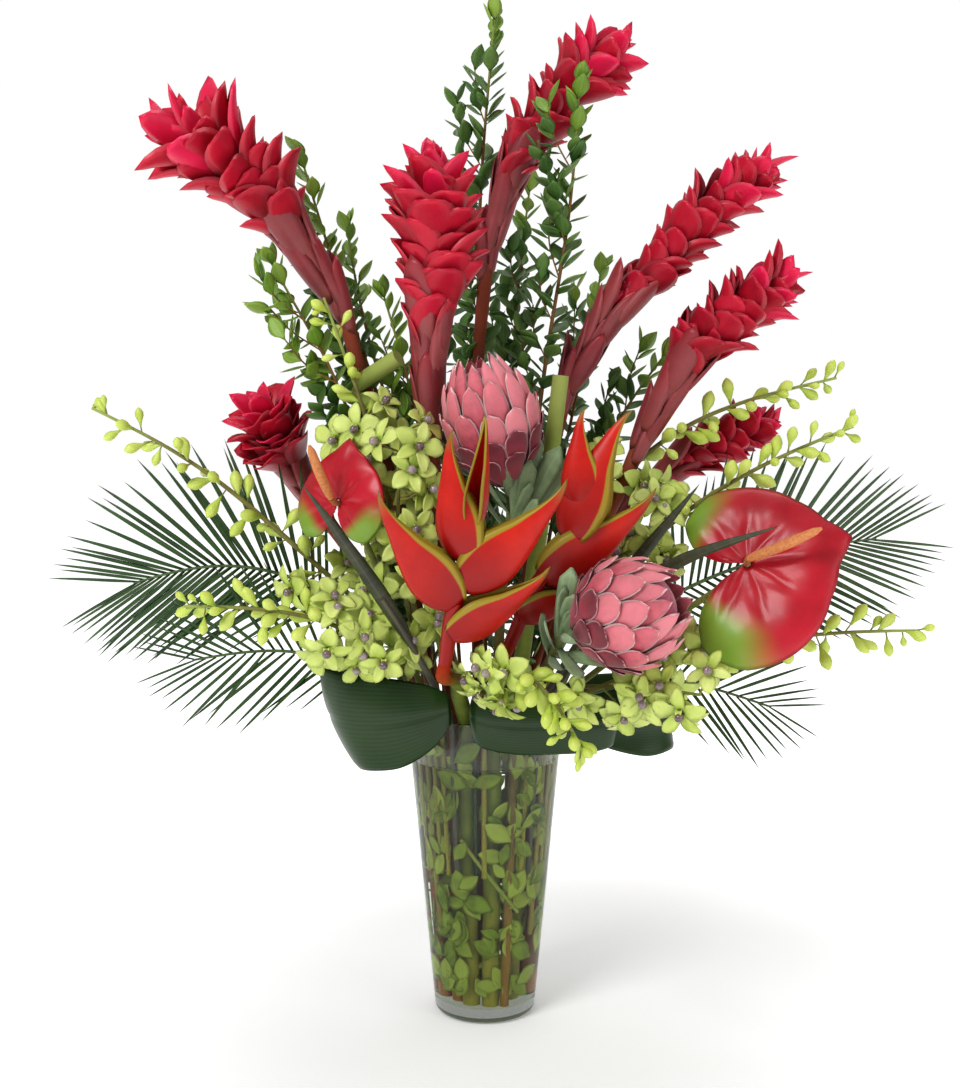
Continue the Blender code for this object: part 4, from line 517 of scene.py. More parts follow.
def stem_routes():
    """Settle every stem's route above the rim so that no two touch."""
    names = list(STEMS)
    lines, pinned = first_lines()
    points, free = np.vstack(lines), ~np.concatenate(pinned)
    wish = points.copy()
    owner = np.concatenate([[i] * len(line) for i, line in enumerate(lines)])
    radius = np.array([STEMS[names[i]][0] for i in owner])
    first = np.array([i for i in range(len(points) - 1) if owner[i] == owner[i + 1]])
    inner = np.array([i for i in range(1, len(points) - 1) if owner[i - 1] == owner[i + 1]])
    inner = inner[free[inner]]
    g0, g1, gr, guards_of = guard_segments()
    guards_of = np.array([names.index(n) if n in names else -1 for n in guards_of])
    guard_middle, guard_half = middle_and_half(g0, g1, gr)
    for step in range(520):
        if step % 8 == 0:
            middle, half = middle_and_half(points[first], points[first + 1], radius[first])
            own = owner[first]
            pairs = first[np.argwhere(np.triu(lengths_near((middle, middle), (half, half), (own, own)), 1))]
            guards = np.argwhere(lengths_near((middle, guard_middle), (half, guard_half), (own, guards_of)))
        push, weight = np.zeros_like(points), np.full(len(points), 1e-9)
        a, b = pairs[:, 0], pairs[:, 1]
        reach = radius[a] + radius[b] + STEM_GAP
        hit, s, t, shove = push_out(points, a, points[b], points[b + 1], reach, 0.5)
        a, b = a[hit], b[hit]
        for index, share, sign in ((a, 1 - s, 1), (a + 1, s, 1), (b, 1 - t, -1), (b + 1, t, -1)):
            add_push(push, weight, index, share, sign * shove)
        a, g = first[guards[:, 0]], guards[:, 1]
        hit, s, t, shove = push_out(points, a, g0[g], g1[g], radius[a] + gr[g] + 0.0008, 1.0)
        for index, share in ((a[hit], 1 - s), (a[hit] + 1, s)):
            add_push(push, weight, index, share, shove)
        points[free] += 0.8 * (push / np.maximum(weight, 1.0)[:, None])[free]
        ease = 0.5 * (points[inner - 1] + points[inner + 1]) - points[inner]
        if step < 420:
            points[inner] += 0.30 * ease + 0.03 * (wish[inner] - points[inner])
        elif step < 500:
            points[inner] += 0.06 * ease
    start = np.cumsum([0] + [len(line) for line in lines])
    return {name: np.round(points[start[i]:start[i + 1]], 4) for i, name in enumerate(names)}

routes = stem_routes()
print("routes settled:", len(routes))

# %% [markdown]
# ## A leaf as a thin closed shell
#
# Leaves, petals and bracts are all thin, with two faces that meet at a sharp rim. They
# could be flat planes, but a plane has no thickness and shows nothing from behind. Here a
# grid of points on the middle of the leaf gets an upper and a lower face that share
# their rim. Each point also keeps how far it is towards the tip and how far to the side,
# so that a material can paint veins, edges and tips that follow the leaf.

# %% Shells
def grid_normals(grid):
    """The direction that each point of a grid faces."""
    facing = np.cross(np.gradient(grid, axis=0), np.gradient(grid, axis=1))
    length = np.linalg.norm(facing, axis=2, keepdims=True)
    return facing / np.maximum(length, 1e-12)

def surface(rows, cols, place, down=(0, 1), across=(-1, 1)):
    """A grid of points: place(row, s, v) for each row's share s and each column's v."""
    return np.array([[place(row, s, v) for v in np.linspace(*across, cols)]
                     for row, s in enumerate(np.linspace(*down, rows))])

def new_object(name, data):
    """An object that shows this data, put in the scene."""
    item = bpy.data.objects.new(name, data)
    bpy.context.scene.collection.objects.link(item)
    return item

def keep_values(data, values, kind="FLOAT"):
    """Keep named values on the corners of a mesh."""
    field = "value" if kind == "FLOAT" else "vector"
    for key, numbers in values.items():
        flat = np.asarray(numbers, np.float32).reshape(-1)
        data.attributes.new(key, kind, "POINT").data.foreach_set(field, flat)

def shell(name, grid, thickness, finish=None):
    """A closed thin solid about a grid of points, with 'tipward' and 'sideways' kept on it."""
    rows, cols = grid.shape[:2]
    half = grid_normals(grid) * (thickness / 2)
    top = np.arange(rows * cols).reshape(rows, cols)
    bottom = top + rows * cols
    bottom[0], bottom[-1], bottom[:, 0], bottom[:, -1] = top[0], top[-1], top[:, 0], top[:, -1]
    inside = np.zeros((rows, cols, 1))
    inside[1:-1, 1:-1] = 1
    points = np.vstack([(grid + half * inside).reshape(-1, 3), (grid - half * inside).reshape(-1, 3)])
    faces = []
    for i in range(rows - 1):
        for j in range(cols - 1):
            faces.append((top[i, j], top[i + 1, j], top[i + 1, j + 1], top[i, j + 1]))
            faces.append((bottom[i, j], bottom[i, j + 1], bottom[i + 1, j + 1], bottom[i + 1, j]))
    tipward, sideways = np.meshgrid(np.linspace(0, 1, rows), np.linspace(-1, 1, cols), indexing="ij")
    marks = {"tipward": np.tile(tipward.ravel(), 2), "sideways": np.tile(sideways.ravel(), 2)}
    return closed_mesh(name, points, faces, marks, finish)

def closed_mesh(name, points, faces, marks=None, finish=None):
    """A smooth mesh object with its doubles merged and its faces turned outwards."""
    data = bpy.data.meshes.new(name)
    data.from_pydata([tuple(map(float, p)) for p in points], [], [tuple(map(int, f)) for f in faces])
    keep_values(data, marks or {})
    body = bmesh.new()
    body.from_mesh(data)
    bmesh.ops.remove_doubles(body, verts=body.verts, dist=1e-5)
    bmesh.ops.dissolve_degenerate(body, dist=1e-6, edges=body.edges)
    bmesh.ops.delete(body, geom=[v for v in body.verts if not v.link_faces], context="VERTS")
    bmesh.ops.recalc_face_normals(body, faces=body.faces)
    body.to_mesh(data)
    body.free()
    data.shade_smooth()
    if finish:
        data.materials.append(finish)
    return new_object(name, data)

print("shells are closed, with a sharp rim")

# %% [markdown]
# Most leaves, petals and bracts differ only in how wide they are, how they bow and how
# they cup. One function makes them all at unit length, to be set on a plant at any size.

# %% Leaves
def leaf(name, wide, bow, cup, rows=8, cols=5, thick=0.03, wave=0.0, keel=0.0):
    """A leaf of unit length that grows along +Z and looks along +Y.

    wide gives the half width along it, bow how far it leans towards its upper face, in
    degrees, and cup how far its two sides turn up. Each is a list of (place, value) pairs.
    """
    angle = np.radians([lerp(s, bow) for s in np.linspace(0, 1, rows)])
    between_rows, step = (angle[1:] + angle[:-1]) / 2, 1.0 / (rows - 1)
    height = np.concatenate([[0], np.cumsum(np.cos(between_rows) * step)])
    ahead = np.concatenate([[0], np.cumsum(np.sin(between_rows) * step)])

    def place(row, s, v):
        half, turn = lerp(s, wide), math.radians(max(0.5, lerp(s, cup)))
        lift = half * (1 - math.cos(turn * v)) / turn + keel * half * abs(v)
        lift += wave * half * math.sin(9 * s + 2 * v) * abs(v)
        return (half * math.sin(turn * v) / turn, ahead[row] + lift * math.cos(angle[row]),
                height[row] - lift * math.sin(angle[row]))

    return shell(name, surface(rows, cols, place), thick)

sample = leaf("sample", ((0, 0.1), (1, 0)), ((0, 0),), ((0, 20),))
print("a leaf has", len(sample.data.polygons), "faces")
bpy.data.objects.remove(sample, do_unlink=True)

# %% [markdown]
# ## Growing with Geometry Nodes
#
# A plant repeats one part many times by a simple rule, and that is what Geometry Nodes
# do well. Three trees are enough. The first draws a stem along a line. The second turns
# a spiral of bracts round an axis by the golden angle, as a ginger head grows. The third
# sets a leaf, petal or bud on each of many spots. All three end in plain geometry.

# %% Small helpers for node trees
def node(tree, kind, inputs=None, **settings):
    """Add a node, set its choices, and fill or link its inputs by name or number."""
    made = tree.nodes.new(kind)
    for key, value in settings.items():
        setattr(made, key, value)
    for key, value in (inputs or {}).items():
        if isinstance(value, bpy.types.NodeSocket):
            tree.links.new(value, made.inputs[key])
        else:
            made.inputs[key].default_value = value
    return made

def new_tree(name, sockets, kind="GeometryNodeTree", gives=(("Geometry", "NodeSocketGeometry"),)):
    """A node tree with named inputs and outputs."""
    tree = bpy.data.node_groups.new(name, kind)
    for label, socket, *default in sockets:
        made = tree.interface.new_socket(label, in_out="INPUT", socket_type=socket)
        if default:
            made.default_value = default[0]
    for label, socket in gives:
        tree.interface.new_socket(label, in_out="OUTPUT", socket_type=socket)
    return tree, tree.nodes.new("NodeGroupInput"), tree.nodes.new("NodeGroupOutput")

def math_node(tree, operation, a, b=0.0):
    """A sum, product or other plain step between two values."""
    return node(tree, "ShaderNodeMath", {0: a, 1: b}, operation=operation).outputs[0]

def attribute(tree, name, kind="FLOAT"):
    """A value that the source mesh keeps under a name."""
    return node(tree, "GeometryNodeInputNamedAttribute", {"Name": name}, data_type=kind).outputs[0]

def turned(tree, rotation, axis, angle):
    """The rotation turned about one of its own axes."""
    by = node(tree, "FunctionNodeAxisAngleToRotation", {"Axis": axis, "Angle": angle}).outputs[0]
    return node(tree, "FunctionNodeRotateRotation", {"Rotation": rotation, "Rotate By": by},
                rotation_space="LOCAL").outputs[0]

def facing_rotation(tree, grows, looks):
    """The rotation of a part that grows one way and looks another."""
    return node(tree, "FunctionNodeAxesToRotation", {"Primary Axis": grows, "Secondary Axis": looks},
                primary_axis="Z", secondary_axis="Y").outputs[0]

def scaled(tree, vector, factor):
    """A vector made longer or shorter."""
    return node(tree, "ShaderNodeVectorMath", {0: vector, "Scale": factor}, operation="SCALE").outputs[0]

def set_on_points(tree, points, part, rotation, scale):
    """An instance of a part on every point."""
    shape = node(tree, "GeometryNodeObjectInfo", {"Object": part}, transform_space="ORIGINAL")
    return node(tree, "GeometryNodeInstanceOnPoints",
                {"Points": points, "Instance": shape.outputs["Geometry"], "Rotation": rotation,
                 "Scale": scale}).outputs[0]

def finish_tree(tree, geometry, group_in, group_out, tint_seed=None):
    """Give each part a tint of its own, then make plain geometry with its material."""
    if tint_seed is not None:
        tint = node(tree, "FunctionNodeRandomValue", {2: 0.0, 3: 1.0, "Seed": tint_seed}, data_type="FLOAT")
        geometry = node(tree, "GeometryNodeStoreNamedAttribute",
                        {"Geometry": geometry, "Name": "tint", "Value": tint.outputs[1]},
                        data_type="FLOAT", domain="INSTANCE").outputs[0]
    plain = node(tree, "GeometryNodeRealizeInstances", {"Geometry": geometry})
    smooth = node(tree, "GeometryNodeSetShadeSmooth", {"Geometry": plain.outputs[0]})
    painted = node(tree, "GeometryNodeSetMaterial",
                   {"Geometry": smooth.outputs[0], "Material": group_in.outputs["Material"]})
    tree.links.new(painted.outputs[0], group_out.inputs[0])

print("helpers for node trees are ready")

# %% The stem tree
def stem_tree():
    """A round stem drawn along a line of edges."""
    tree, group_in, group_out = new_tree("stem_along_a_line", [
        ("Geometry", "NodeSocketGeometry"), ("Sides", "NodeSocketInt", 12),
        ("Material", "NodeSocketMaterial")])
    put = group_in.outputs
    line = node(tree, "GeometryNodeMeshToCurve", {"Mesh": put["Geometry"]})
    ring = node(tree, "GeometryNodeCurvePrimitiveCircle", {"Resolution": put["Sides"], "Radius": 1.0})
    stem = node(tree, "GeometryNodeCurveToMesh",
                {"Curve": line.outputs[0], "Profile Curve": ring.outputs[0],
                 "Scale": attribute(tree, "radius_here"), "Fill Caps": True})
    finish_tree(tree, stem.outputs[0], group_in, group_out)
    return tree

STEM_TREE = stem_tree()
print("stem tree:", len(STEM_TREE.nodes), "nodes")

# %% The spiral tree
def spiral_tree():
    """Bracts on a line, each turned on from the one before it."""
    tree, group_in, group_out = new_tree("spiral_of_bracts", [
        ("Geometry", "NodeSocketGeometry"), ("Bract", "NodeSocketObject"), ("Count", "NodeSocketInt", 60),
        ("Turn", "NodeSocketFloat", GOLDEN_ANGLE), ("First Turn", "NodeSocketFloat", 0.0),
        ("Size", "NodeSocketFloat", 0.045), ("Looseness", "NodeSocketFloat", 0.10),
        ("Seed", "NodeSocketInt", 1), ("Material", "NodeSocketMaterial")])
    put = group_in.outputs

    def loose(seed_shift, spread):
        """A small seeded difference for each bract, as a share of the looseness."""
        seed = math_node(tree, "ADD", put["Seed"], seed_shift)
        wild = node(tree, "FunctionNodeRandomValue", {2: -spread, 3: spread, "Seed": seed},
                    data_type="FLOAT")
        return math_node(tree, "MULTIPLY", wild.outputs[1], put["Looseness"])

    line = node(tree, "GeometryNodeMeshToCurve", {"Mesh": put["Geometry"]})
    spots = node(tree, "GeometryNodeCurveToPoints", {"Curve": line.outputs[0], "Count": put["Count"]},
                 mode="COUNT")
    rotation = facing_rotation(tree, spots.outputs["Tangent"], spots.outputs["Normal"])
    angle = math_node(tree, "MULTIPLY", node(tree, "GeometryNodeInputIndex").outputs[0], put["Turn"])
    angle = math_node(tree, "ADD", angle, math_node(tree, "ADD", put["First Turn"], loose(11, 1.6)))
    rotation = turned(tree, rotation, (0, 0, 1), angle)
    outward = node(tree, "FunctionNodeRotateVector", {"Vector": (0, -1, 0), "Rotation": rotation})
    offset = scaled(tree, outward.outputs[0], attribute(tree, "reach"))
    moved = node(tree, "GeometryNodeSetPosition", {"Geometry": spots.outputs[0], "Offset": offset})
    lean = math_node(tree, "ADD", attribute(tree, "lean"), loose(23, 1.0))
    rotation = turned(tree, turned(tree, rotation, (1, 0, 0), lean), (0, 0, 1), loose(31, 1.5))
    size = math_node(tree, "MULTIPLY", attribute(tree, "growth"), put["Size"])
    size = math_node(tree, "MULTIPLY", size, math_node(tree, "ADD", loose(47, 1.0), 1.0))
    broad = math_node(tree, "MULTIPLY", size, attribute(tree, "breadth"))
    scale = node(tree, "ShaderNodeCombineXYZ", {0: broad, 1: size, 2: size}).outputs[0]
    bracts = set_on_points(tree, moved.outputs[0], put["Bract"], rotation, scale)
    finish_tree(tree, bracts, group_in, group_out, put["Seed"])
    return tree

SPIRAL_TREE = spiral_tree()
print("spiral tree:", len(SPIRAL_TREE.nodes), "nodes")

# %% The tree that sets parts on spots
def spot_tree():
    """A part on every point, turned and sized by what the point keeps."""
    tree, group_in, group_out = new_tree("parts_on_spots", [
        ("Geometry", "NodeSocketGeometry"), ("Part", "NodeSocketObject"),
        ("Looseness", "NodeSocketFloat", 0.08), ("Seed", "NodeSocketInt", 1),
        ("Material", "NodeSocketMaterial")])
    put = group_in.outputs
    grows, looks, size = (attribute(tree, name, "FLOAT_VECTOR") for name in ("grows", "looks", "size"))
    wild = node(tree, "FunctionNodeRandomValue",
                {0: (-1.0, -1.0, -1.0), 1: (1.0, 1.0, 1.0), "Seed": put["Seed"]}, data_type="FLOAT_VECTOR")
    sway = scaled(tree, wild.outputs[0], put["Looseness"])
    sway = node(tree, "FunctionNodeEulerToRotation", {"Euler": sway})
    rotation = node(tree, "FunctionNodeRotateRotation",
                    {"Rotation": facing_rotation(tree, grows, looks), "Rotate By": sway.outputs[0]},
                    rotation_space="LOCAL").outputs[0]
    parts = set_on_points(tree, put["Geometry"], put["Part"], rotation, size)
    finish_tree(tree, parts, group_in, group_out, put["Seed"])
    return tree

SPOT_TREE = spot_tree()
print("spot tree:", len(SPOT_TREE.nodes), "nodes")

# %% [markdown]
# A tree is put on a small mesh of points or edges, its inputs are set by the sockets'
# identifiers, and the evaluated result is kept as a plain mesh without the modifier.

# %% From a tree to a plain mesh
SPIRAL_STEPS = 60

def grown(tree, name, source, **inputs):
    """Run a tree on a source object, and keep only the plain mesh that it makes."""
    modifier = source.modifiers.new("grow", "NODES")
    modifier.node_group = tree
    for item in tree.interface.items_tree:
        label = item.name.replace(" ", "_").lower()
        if item.in_out == "INPUT" and label in inputs:
            modifier[item.identifier] = inputs[label]
    source.update_tag()
    bpy.context.view_layer.update()
    shape = source.evaluated_get(bpy.context.evaluated_depsgraph_get())
    data = bpy.data.meshes.new_from_object(shape)
    data.name = name
    bpy.data.objects.remove(source, do_unlink=True)
    return new_object(name, data)

def marked_points(name, points, floats=None, vectors=None, joined_up=False):
    """A mesh of bare points, or of one line, with values kept on each point."""
    data = bpy.data.meshes.new(name)
    edges = [(i, i + 1) for i in range(len(points) - 1)] if joined_up else []
    data.from_pydata([tuple(map(float, p)) for p in points], edges, [])
    keep_values(data, floats or {})
    keep_values(data, vectors or {}, "FLOAT_VECTOR")
    return new_object(name, data)

def stem_piece(name, line, radii, finish, sides=12):
    """A round stem along a line, with 'along' running from 0 at its foot to 1."""
    marks = {"radius_here": np.broadcast_to(radii, len(line)), "along": np.linspace(0, 1, len(line))}
    path = marked_points(name + "_path", line, marks, joined_up=True)
    return grown(STEM_TREE, name, path, sides=sides, material=finish)

def parts_on(name, part, spots, finish, looseness=0.06, seed=1):
    """Set one part on every spot. A spot is (point, way of growth, way it looks, size)."""
    points, grows, looks, sizes = zip(*spots)
    source = marked_points(name + "_spots", points, vectors={
        "grows": grows, "looks": looks, "size": [(size, size, size) for size in sizes]})
    return grown(SPOT_TREE, name, source, part=part, looseness=looseness, seed=seed, material=finish)

def spiral(name, bract, line, finish, count, size, turn=GOLDEN_ANGLE, first=0.0, looseness=0.10, seed=1,
           **profiles):
    """Turn a spiral of bracts round a line. Each profile is read along the line."""
    share = np.linspace(0, 1, SPIRAL_STEPS)
    marks = {key: [lerp(s, values) for s in share] for key, values in profiles.items()}
    path = marked_points(name + "_axis", resample(line, SPIRAL_STEPS), marks, joined_up=True)
    return grown(SPIRAL_TREE, name, path, bract=bract, count=count, turn=turn, first_turn=first, size=size,
                 looseness=looseness, seed=seed, material=finish)

def one_piece(name, parts, slot, *nodes):
    """Join parts into one object that rides with the vase and stands for its plain solids."""
    first = parts[0]
    if len(parts) > 1:
        with bpy.context.temp_override(active_object=first, object=first, selected_objects=parts,
                                       selected_editable_objects=parts):
            bpy.ops.object.join()
    first.name = name
    first.data.name = name
    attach(first, "root")
    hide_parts(*nodes)
    return first

print("growers are ready")

# %% [markdown]
# ## Colour that varies as on a living plant
#
# No petal is one flat colour. Two shader groups carry what the finishes share. The first
# gives a mottled colour between a shaded, a main and a light tone, with a tint for each
# leaf of its own. The second reads how far a point is along and across its leaf, and
# gives masks for the midrib, the veins, the rim and the tip.

# %% The shader groups
def blend(tree, mask, a, b):
    """Mix two colours by a mask. Each may be a socket or a plain value."""
    mixed = node(tree, "ShaderNodeMix", data_type="RGBA")
    for number, value in ((0, mask), (6, a), (7, b)):
        if isinstance(value, bpy.types.NodeSocket):
            tree.links.new(value, mixed.inputs[number])
        else:
            mixed.inputs[number].default_value = value if number == 0 else (*value, 1.0)
    return mixed.outputs[2]

def between(tree, value, low, high, at_low=0.0, at_high=1.0):
    """A soft step from one value to another."""
    return node(tree, "ShaderNodeMapRange", {0: value, 1: low, 2: high, 3: at_low, 4: at_high},
                interpolation_type="SMOOTHSTEP").outputs[0]

def kept(tree, name):
    """A value that a mesh keeps under a name."""
    return node(tree, "ShaderNodeAttribute", attribute_name=name).outputs["Fac"]

def noise_at(tree, scale, detail, **more):
    """Noise at a place of the object itself."""
    place = node(tree, "ShaderNodeTexCoord").outputs["Object"]
    inputs = {"Vector": place, "Scale": scale, "Detail": detail, **more}
    return node(tree, "ShaderNodeTexNoise", inputs).outputs["Fac"]

def shade_group():
    """The shared group that mottles and tints a colour."""
    tree, group_in, group_out = new_tree("living_colour", [
        ("Shaded", "NodeSocketColor"), ("Main", "NodeSocketColor"), ("Light", "NodeSocketColor"),
        ("Patch Scale", "NodeSocketFloat", 60.0), ("Own Tint", "NodeSocketFloat", 0.5)],
        "ShaderNodeTree", (("Color", "NodeSocketColor"), ("Mottle", "NodeSocketFloat")))
    put = group_in.outputs
    noise = noise_at(tree, put["Patch Scale"], 4.0, Roughness=0.6)
    patches = node(tree, "ShaderNodeMapRange", {0: noise, 1: 0.32, 2: 0.62}).outputs[0]
    colour = blend(tree, patches, put["Shaded"], put["Main"])
    own = math_node(tree, "MULTIPLY", kept(tree, "tint"), put["Own Tint"])
    tree.links.new(blend(tree, own, colour, put["Light"]), group_out.inputs["Color"])
    tree.links.new(patches, group_out.inputs["Mottle"])
    return tree

def marks_group():
    """The shared group that finds the midrib, veins, rim, tip and rounded edge."""
    tree, group_in, group_out = new_tree("leaf_marks", [
        ("Vein Count", "NodeSocketFloat", 9.0), ("Vein Slant", "NodeSocketFloat", 0.6)], "ShaderNodeTree",
        [(label, "NodeSocketFloat") for label in ("Midrib", "Veins", "Rim", "Tip", "Edge")])
    put = group_in.outputs
    tipward, aside = kept(tree, "tipward"), math_node(tree, "ABSOLUTE", kept(tree, "sideways"))
    slanted = math_node(tree, "SUBTRACT", tipward, math_node(tree, "MULTIPLY", aside, put["Vein Slant"]))
    turns = math_node(tree, "MULTIPLY", slanted, put["Vein Count"])
    wave = math_node(tree, "SINE", math_node(tree, "MULTIPLY", turns, 2 * math.pi))
    rim = between(tree, aside, 0.72, 1.0)
    inward = math_node(tree, "MULTIPLY", math_node(tree, "SUBTRACT", 1.0, aside), 0.12)
    rounded = between(tree, math_node(tree, "SUBTRACT", tipward, inward), 0.82, 0.96)
    for label, mask in (("Midrib", between(tree, aside, 0.0, 0.10, 1.0, 0.0)),
                        ("Veins", between(tree, wave, 0.55, 1.0)), ("Rim", rim), ("Tip", tipward),
                        ("Edge", math_node(tree, "MAXIMUM", rim, rounded))):
        tree.links.new(mask, group_out.inputs[label])
    return tree

SHADE, MARKS = shade_group(), marks_group()
print("groups:", SHADE.name, "and", MARKS.name)

# %% [markdown]
# A finish starts from those groups. Its gloss is a plain number on the shader, and fine
# relief goes through a Bump node: a fine grain everywhere, and raised veins on leaves.

# %% A finish
RELIEF_DEPTH = 0.0006
GRAIN_SHARE = 0.25
STEM_END_SHARE = 0.9

def finish(name, shaded, main, light, patch=60.0, own=0.5, roughness=0.45, relief=0.15,
           relief_scale=900.0, marks=None, **fixed):
    """A Principled material with living colour, marks of the leaf and a fine relief."""
    made = bpy.data.materials.new(name)
    made.use_nodes = True
    made.diffuse_color = (*main, 1.0)
    tree = made.node_tree
    shader = tree.nodes["Principled BSDF"]
    shader.inputs["Roughness"].default_value = roughness
    for key, value in fixed.items():
        shader.inputs[key.replace("_", " ").title().replace("Ior", "IOR")].default_value = value
    shade = node(tree, "ShaderNodeGroup", {"Patch Scale": patch, "Own Tint": own}, node_tree=SHADE)
    for key, value in (("Shaded", shaded), ("Main", main), ("Light", light)):
        shade.inputs[key].default_value = (*value, 1.0)
    colour, height = shade.outputs["Color"], None
    if marks:
        colour, height = marks(tree, node(tree, "ShaderNodeGroup", node_tree=MARKS), colour)
    grain = noise_at(tree, relief_scale, 2.0)
    if height is not None:
        grain = math_node(tree, "ADD", math_node(tree, "MULTIPLY", grain, GRAIN_SHARE), height)
    bump = node(tree, "ShaderNodeBump", {"Strength": relief, "Distance": RELIEF_DEPTH, "Height": grain})
    tree.links.new(colour, shader.inputs["Base Color"])
    tree.links.new(bump.outputs[0], shader.inputs["Normal"])
    return made

def tipped(share, tip, start, end, rim=None, rim_share=0.0, base=None, crisp=None, edge="Rim"):
    """Marks that turn a bract to another colour at its tip, its base and its rim.

    base gives the colour, its share and where it ends (on the gingers and proteas a darker base is painted
    shade); crisp sharpens the rim's inner side.
    """
    def paint(tree, leaf_marks, colour):
        along = leaf_marks.outputs["Tip"]
        colour = blend(tree, between(tree, along, start, end, 0.0, share), colour, tip)
        if base:
            colour = blend(tree, between(tree, along, 0.0, base[1], base[2], 0.0), colour, base[0])
        if rim:
            mask = leaf_marks.outputs[edge]
            if crisp:
                mask = between(tree, mask, *crisp)
            colour = blend(tree, math_node(tree, "MULTIPLY", mask, rim_share), colour, rim)
        return colour, 0.0
    return paint

def veined(pale, midrib_share, vein_share, count=9.0, slant=0.6):
    """Marks of a green leaf: a pale midrib and slanting veins that also stand out."""
    def paint(tree, leaf_marks, colour):
        leaf_marks.inputs["Vein Count"].default_value = count
        leaf_marks.inputs["Vein Slant"].default_value = slant
        for label, share in (("Veins", vein_share), ("Midrib", midrib_share)):
            mask = math_node(tree, "MULTIPLY", leaf_marks.outputs[label], share)
            colour = blend(tree, mask, colour, pale)
        return colour, leaf_marks.outputs["Veins"]
    return paint

def stem_finish(name, tones, foot, top, lower=0.55, upper=0.85, specular_ior_level=0.08, **settings):
    """The finish of a stem, which changes colour towards its foot and its top."""
    def paint(tree, _, colour):
        along = kept(tree, "along")
        colour = blend(tree, between(tree, along, 0.0, lower, STEM_END_SHARE, 0.0), colour, foot)
        return blend(tree, between(tree, along, upper, 1.0, 0.0, STEM_END_SHARE), colour, top), None
    return finish(name, *tones, own=0.0, marks=paint, specular_ior_level=specular_ior_level, **settings)

print("finishes can be mixed")

# %% The finishes of the blooms
# The darker base of each ginger bract is painted shade, deep in the head where the bracts overlap.
GINGER_RED = finish(
    "ginger_red", (0.16, 0.001, 0.006), (0.36, 0.004, 0.016), (0.64, 0.016, 0.048), patch=45, own=0.6,
    roughness=0.38, relief=0.12, specular_ior_level=0.3,
    marks=tipped(0.35, (0.68, 0.016, 0.060), 0.30, 1.0, (0.76, 0.12, 0.15), 0.45,
                 base=((0.08, 0.0, 0.004), 0.6, 0.95)))
GINGER_TOP = finish(
    "ginger_top_pink", (0.42, 0.003, 0.020), (0.62, 0.006, 0.045), (0.80, 0.018, 0.10), patch=45, own=0.6,
    roughness=0.38, relief=0.12, specular_ior_level=0.3,
    marks=tipped(0.35, (0.84, 0.025, 0.12), 0.30, 1.0, (0.88, 0.15, 0.22), 0.40,
                 base=((0.22, 0.0, 0.01), 0.6, 0.9)))
GINGER_SHEATH = finish(
    "ginger_sheath_pink", (0.15, 0.012, 0.020), (0.26, 0.026, 0.036), (0.38, 0.085, 0.085), patch=30,
    own=0.6, roughness=0.42, relief_scale=500.0,
    marks=tipped(0.6, (0.32, 0.008, 0.022), 0.45, 1.0, (0.46, 0.11, 0.11), 0.5,
                 base=((0.28, 0.085, 0.055), 0.35, 0.5)))
GINGER_CANE = stem_finish(
    "ginger_cane", ((0.14, 0.032, 0.015), (0.25, 0.062, 0.030), (0.34, 0.13, 0.055)),
    (0.44, 0.19, 0.045), (0.30, 0.070, 0.040), lower=0.4, patch=22, roughness=0.5, relief_scale=400.0)
HELICONIA_RED = finish(
    "heliconia_red", (0.40, 0.005, 0.003), (0.57, 0.014, 0.004), (0.70, 0.050, 0.006), patch=22, own=0.2,
    roughness=0.36, relief=0.10, relief_scale=500.0, specular_ior_level=0.35,
    marks=tipped(0.9, (0.20, 0.17, 0.02), 0.80, 1.0, (0.33, 0.24, 0.022), 1.0,
                 base=((0.26, 0.003, 0.003), 0.60, 0.85), crisp=(0.38, 0.60)))
HELICONIA_CANE = stem_finish(
    "heliconia_cane", ((0.13, 0.17, 0.03), (0.20, 0.25, 0.045), (0.36, 0.26, 0.05)),
    (0.36, 0.32, 0.05), (0.34, 0.006, 0.003), lower=0.45, upper=0.86)
# The darker base of each pink protea bract is painted shade, low in the goblet where the bracts overlap.
PROTEA_PINK = finish(
    "protea_pink", (0.25, 0.010, 0.028), (0.50, 0.046, 0.084), (0.80, 0.28, 0.32), patch=120, own=0.8,
    roughness=0.6, sheen_weight=0.2,
    marks=tipped(0.4, (0.78, 0.26, 0.29), 0.5, 1.0, (0.86, 0.62, 0.60), 0.9,
                 base=((0.20, 0.004, 0.016), 0.78, 0.97), crisp=(0.45, 0.95), edge="Edge"))
# The outer maroon bracts darken towards their tips: that darker tip is painted shade.
PROTEA_DARK = finish(
    "protea_maroon", (0.16, 0.007, 0.018), (0.27, 0.015, 0.038), (0.50, 0.08, 0.12), patch=120, own=0.5,
    roughness=0.6, sheen_weight=0.2,
    marks=tipped(0.8, (0.12, 0.004, 0.015), 0.45, 0.95, (0.74, 0.40, 0.41), 0.9, crisp=(0.45, 0.95),
                 edge="Edge"))
PROTEA_FUZZ = finish(
    "protea_fuzz", (0.30, 0.02, 0.07), (0.46, 0.06, 0.12), (0.66, 0.22, 0.30), patch=300,
    roughness=0.85, relief=0.5, sheen_weight=0.5)
PROTEA_LEAF = finish(
    "protea_leaf_grey_green", (0.13, 0.22, 0.09), (0.24, 0.34, 0.17), (0.36, 0.46, 0.26), own=0.6,
    roughness=0.62, sheen_weight=0.2, marks=veined((0.42, 0.50, 0.36), 0.35, 0.05))
PROTEA_STEM = stem_finish(
    "protea_stem", ((0.14, 0.09, 0.035), (0.20, 0.17, 0.06), (0.28, 0.26, 0.12)),
    (0.36, 0.20, 0.05), (0.20, 0.24, 0.10), roughness=0.6)
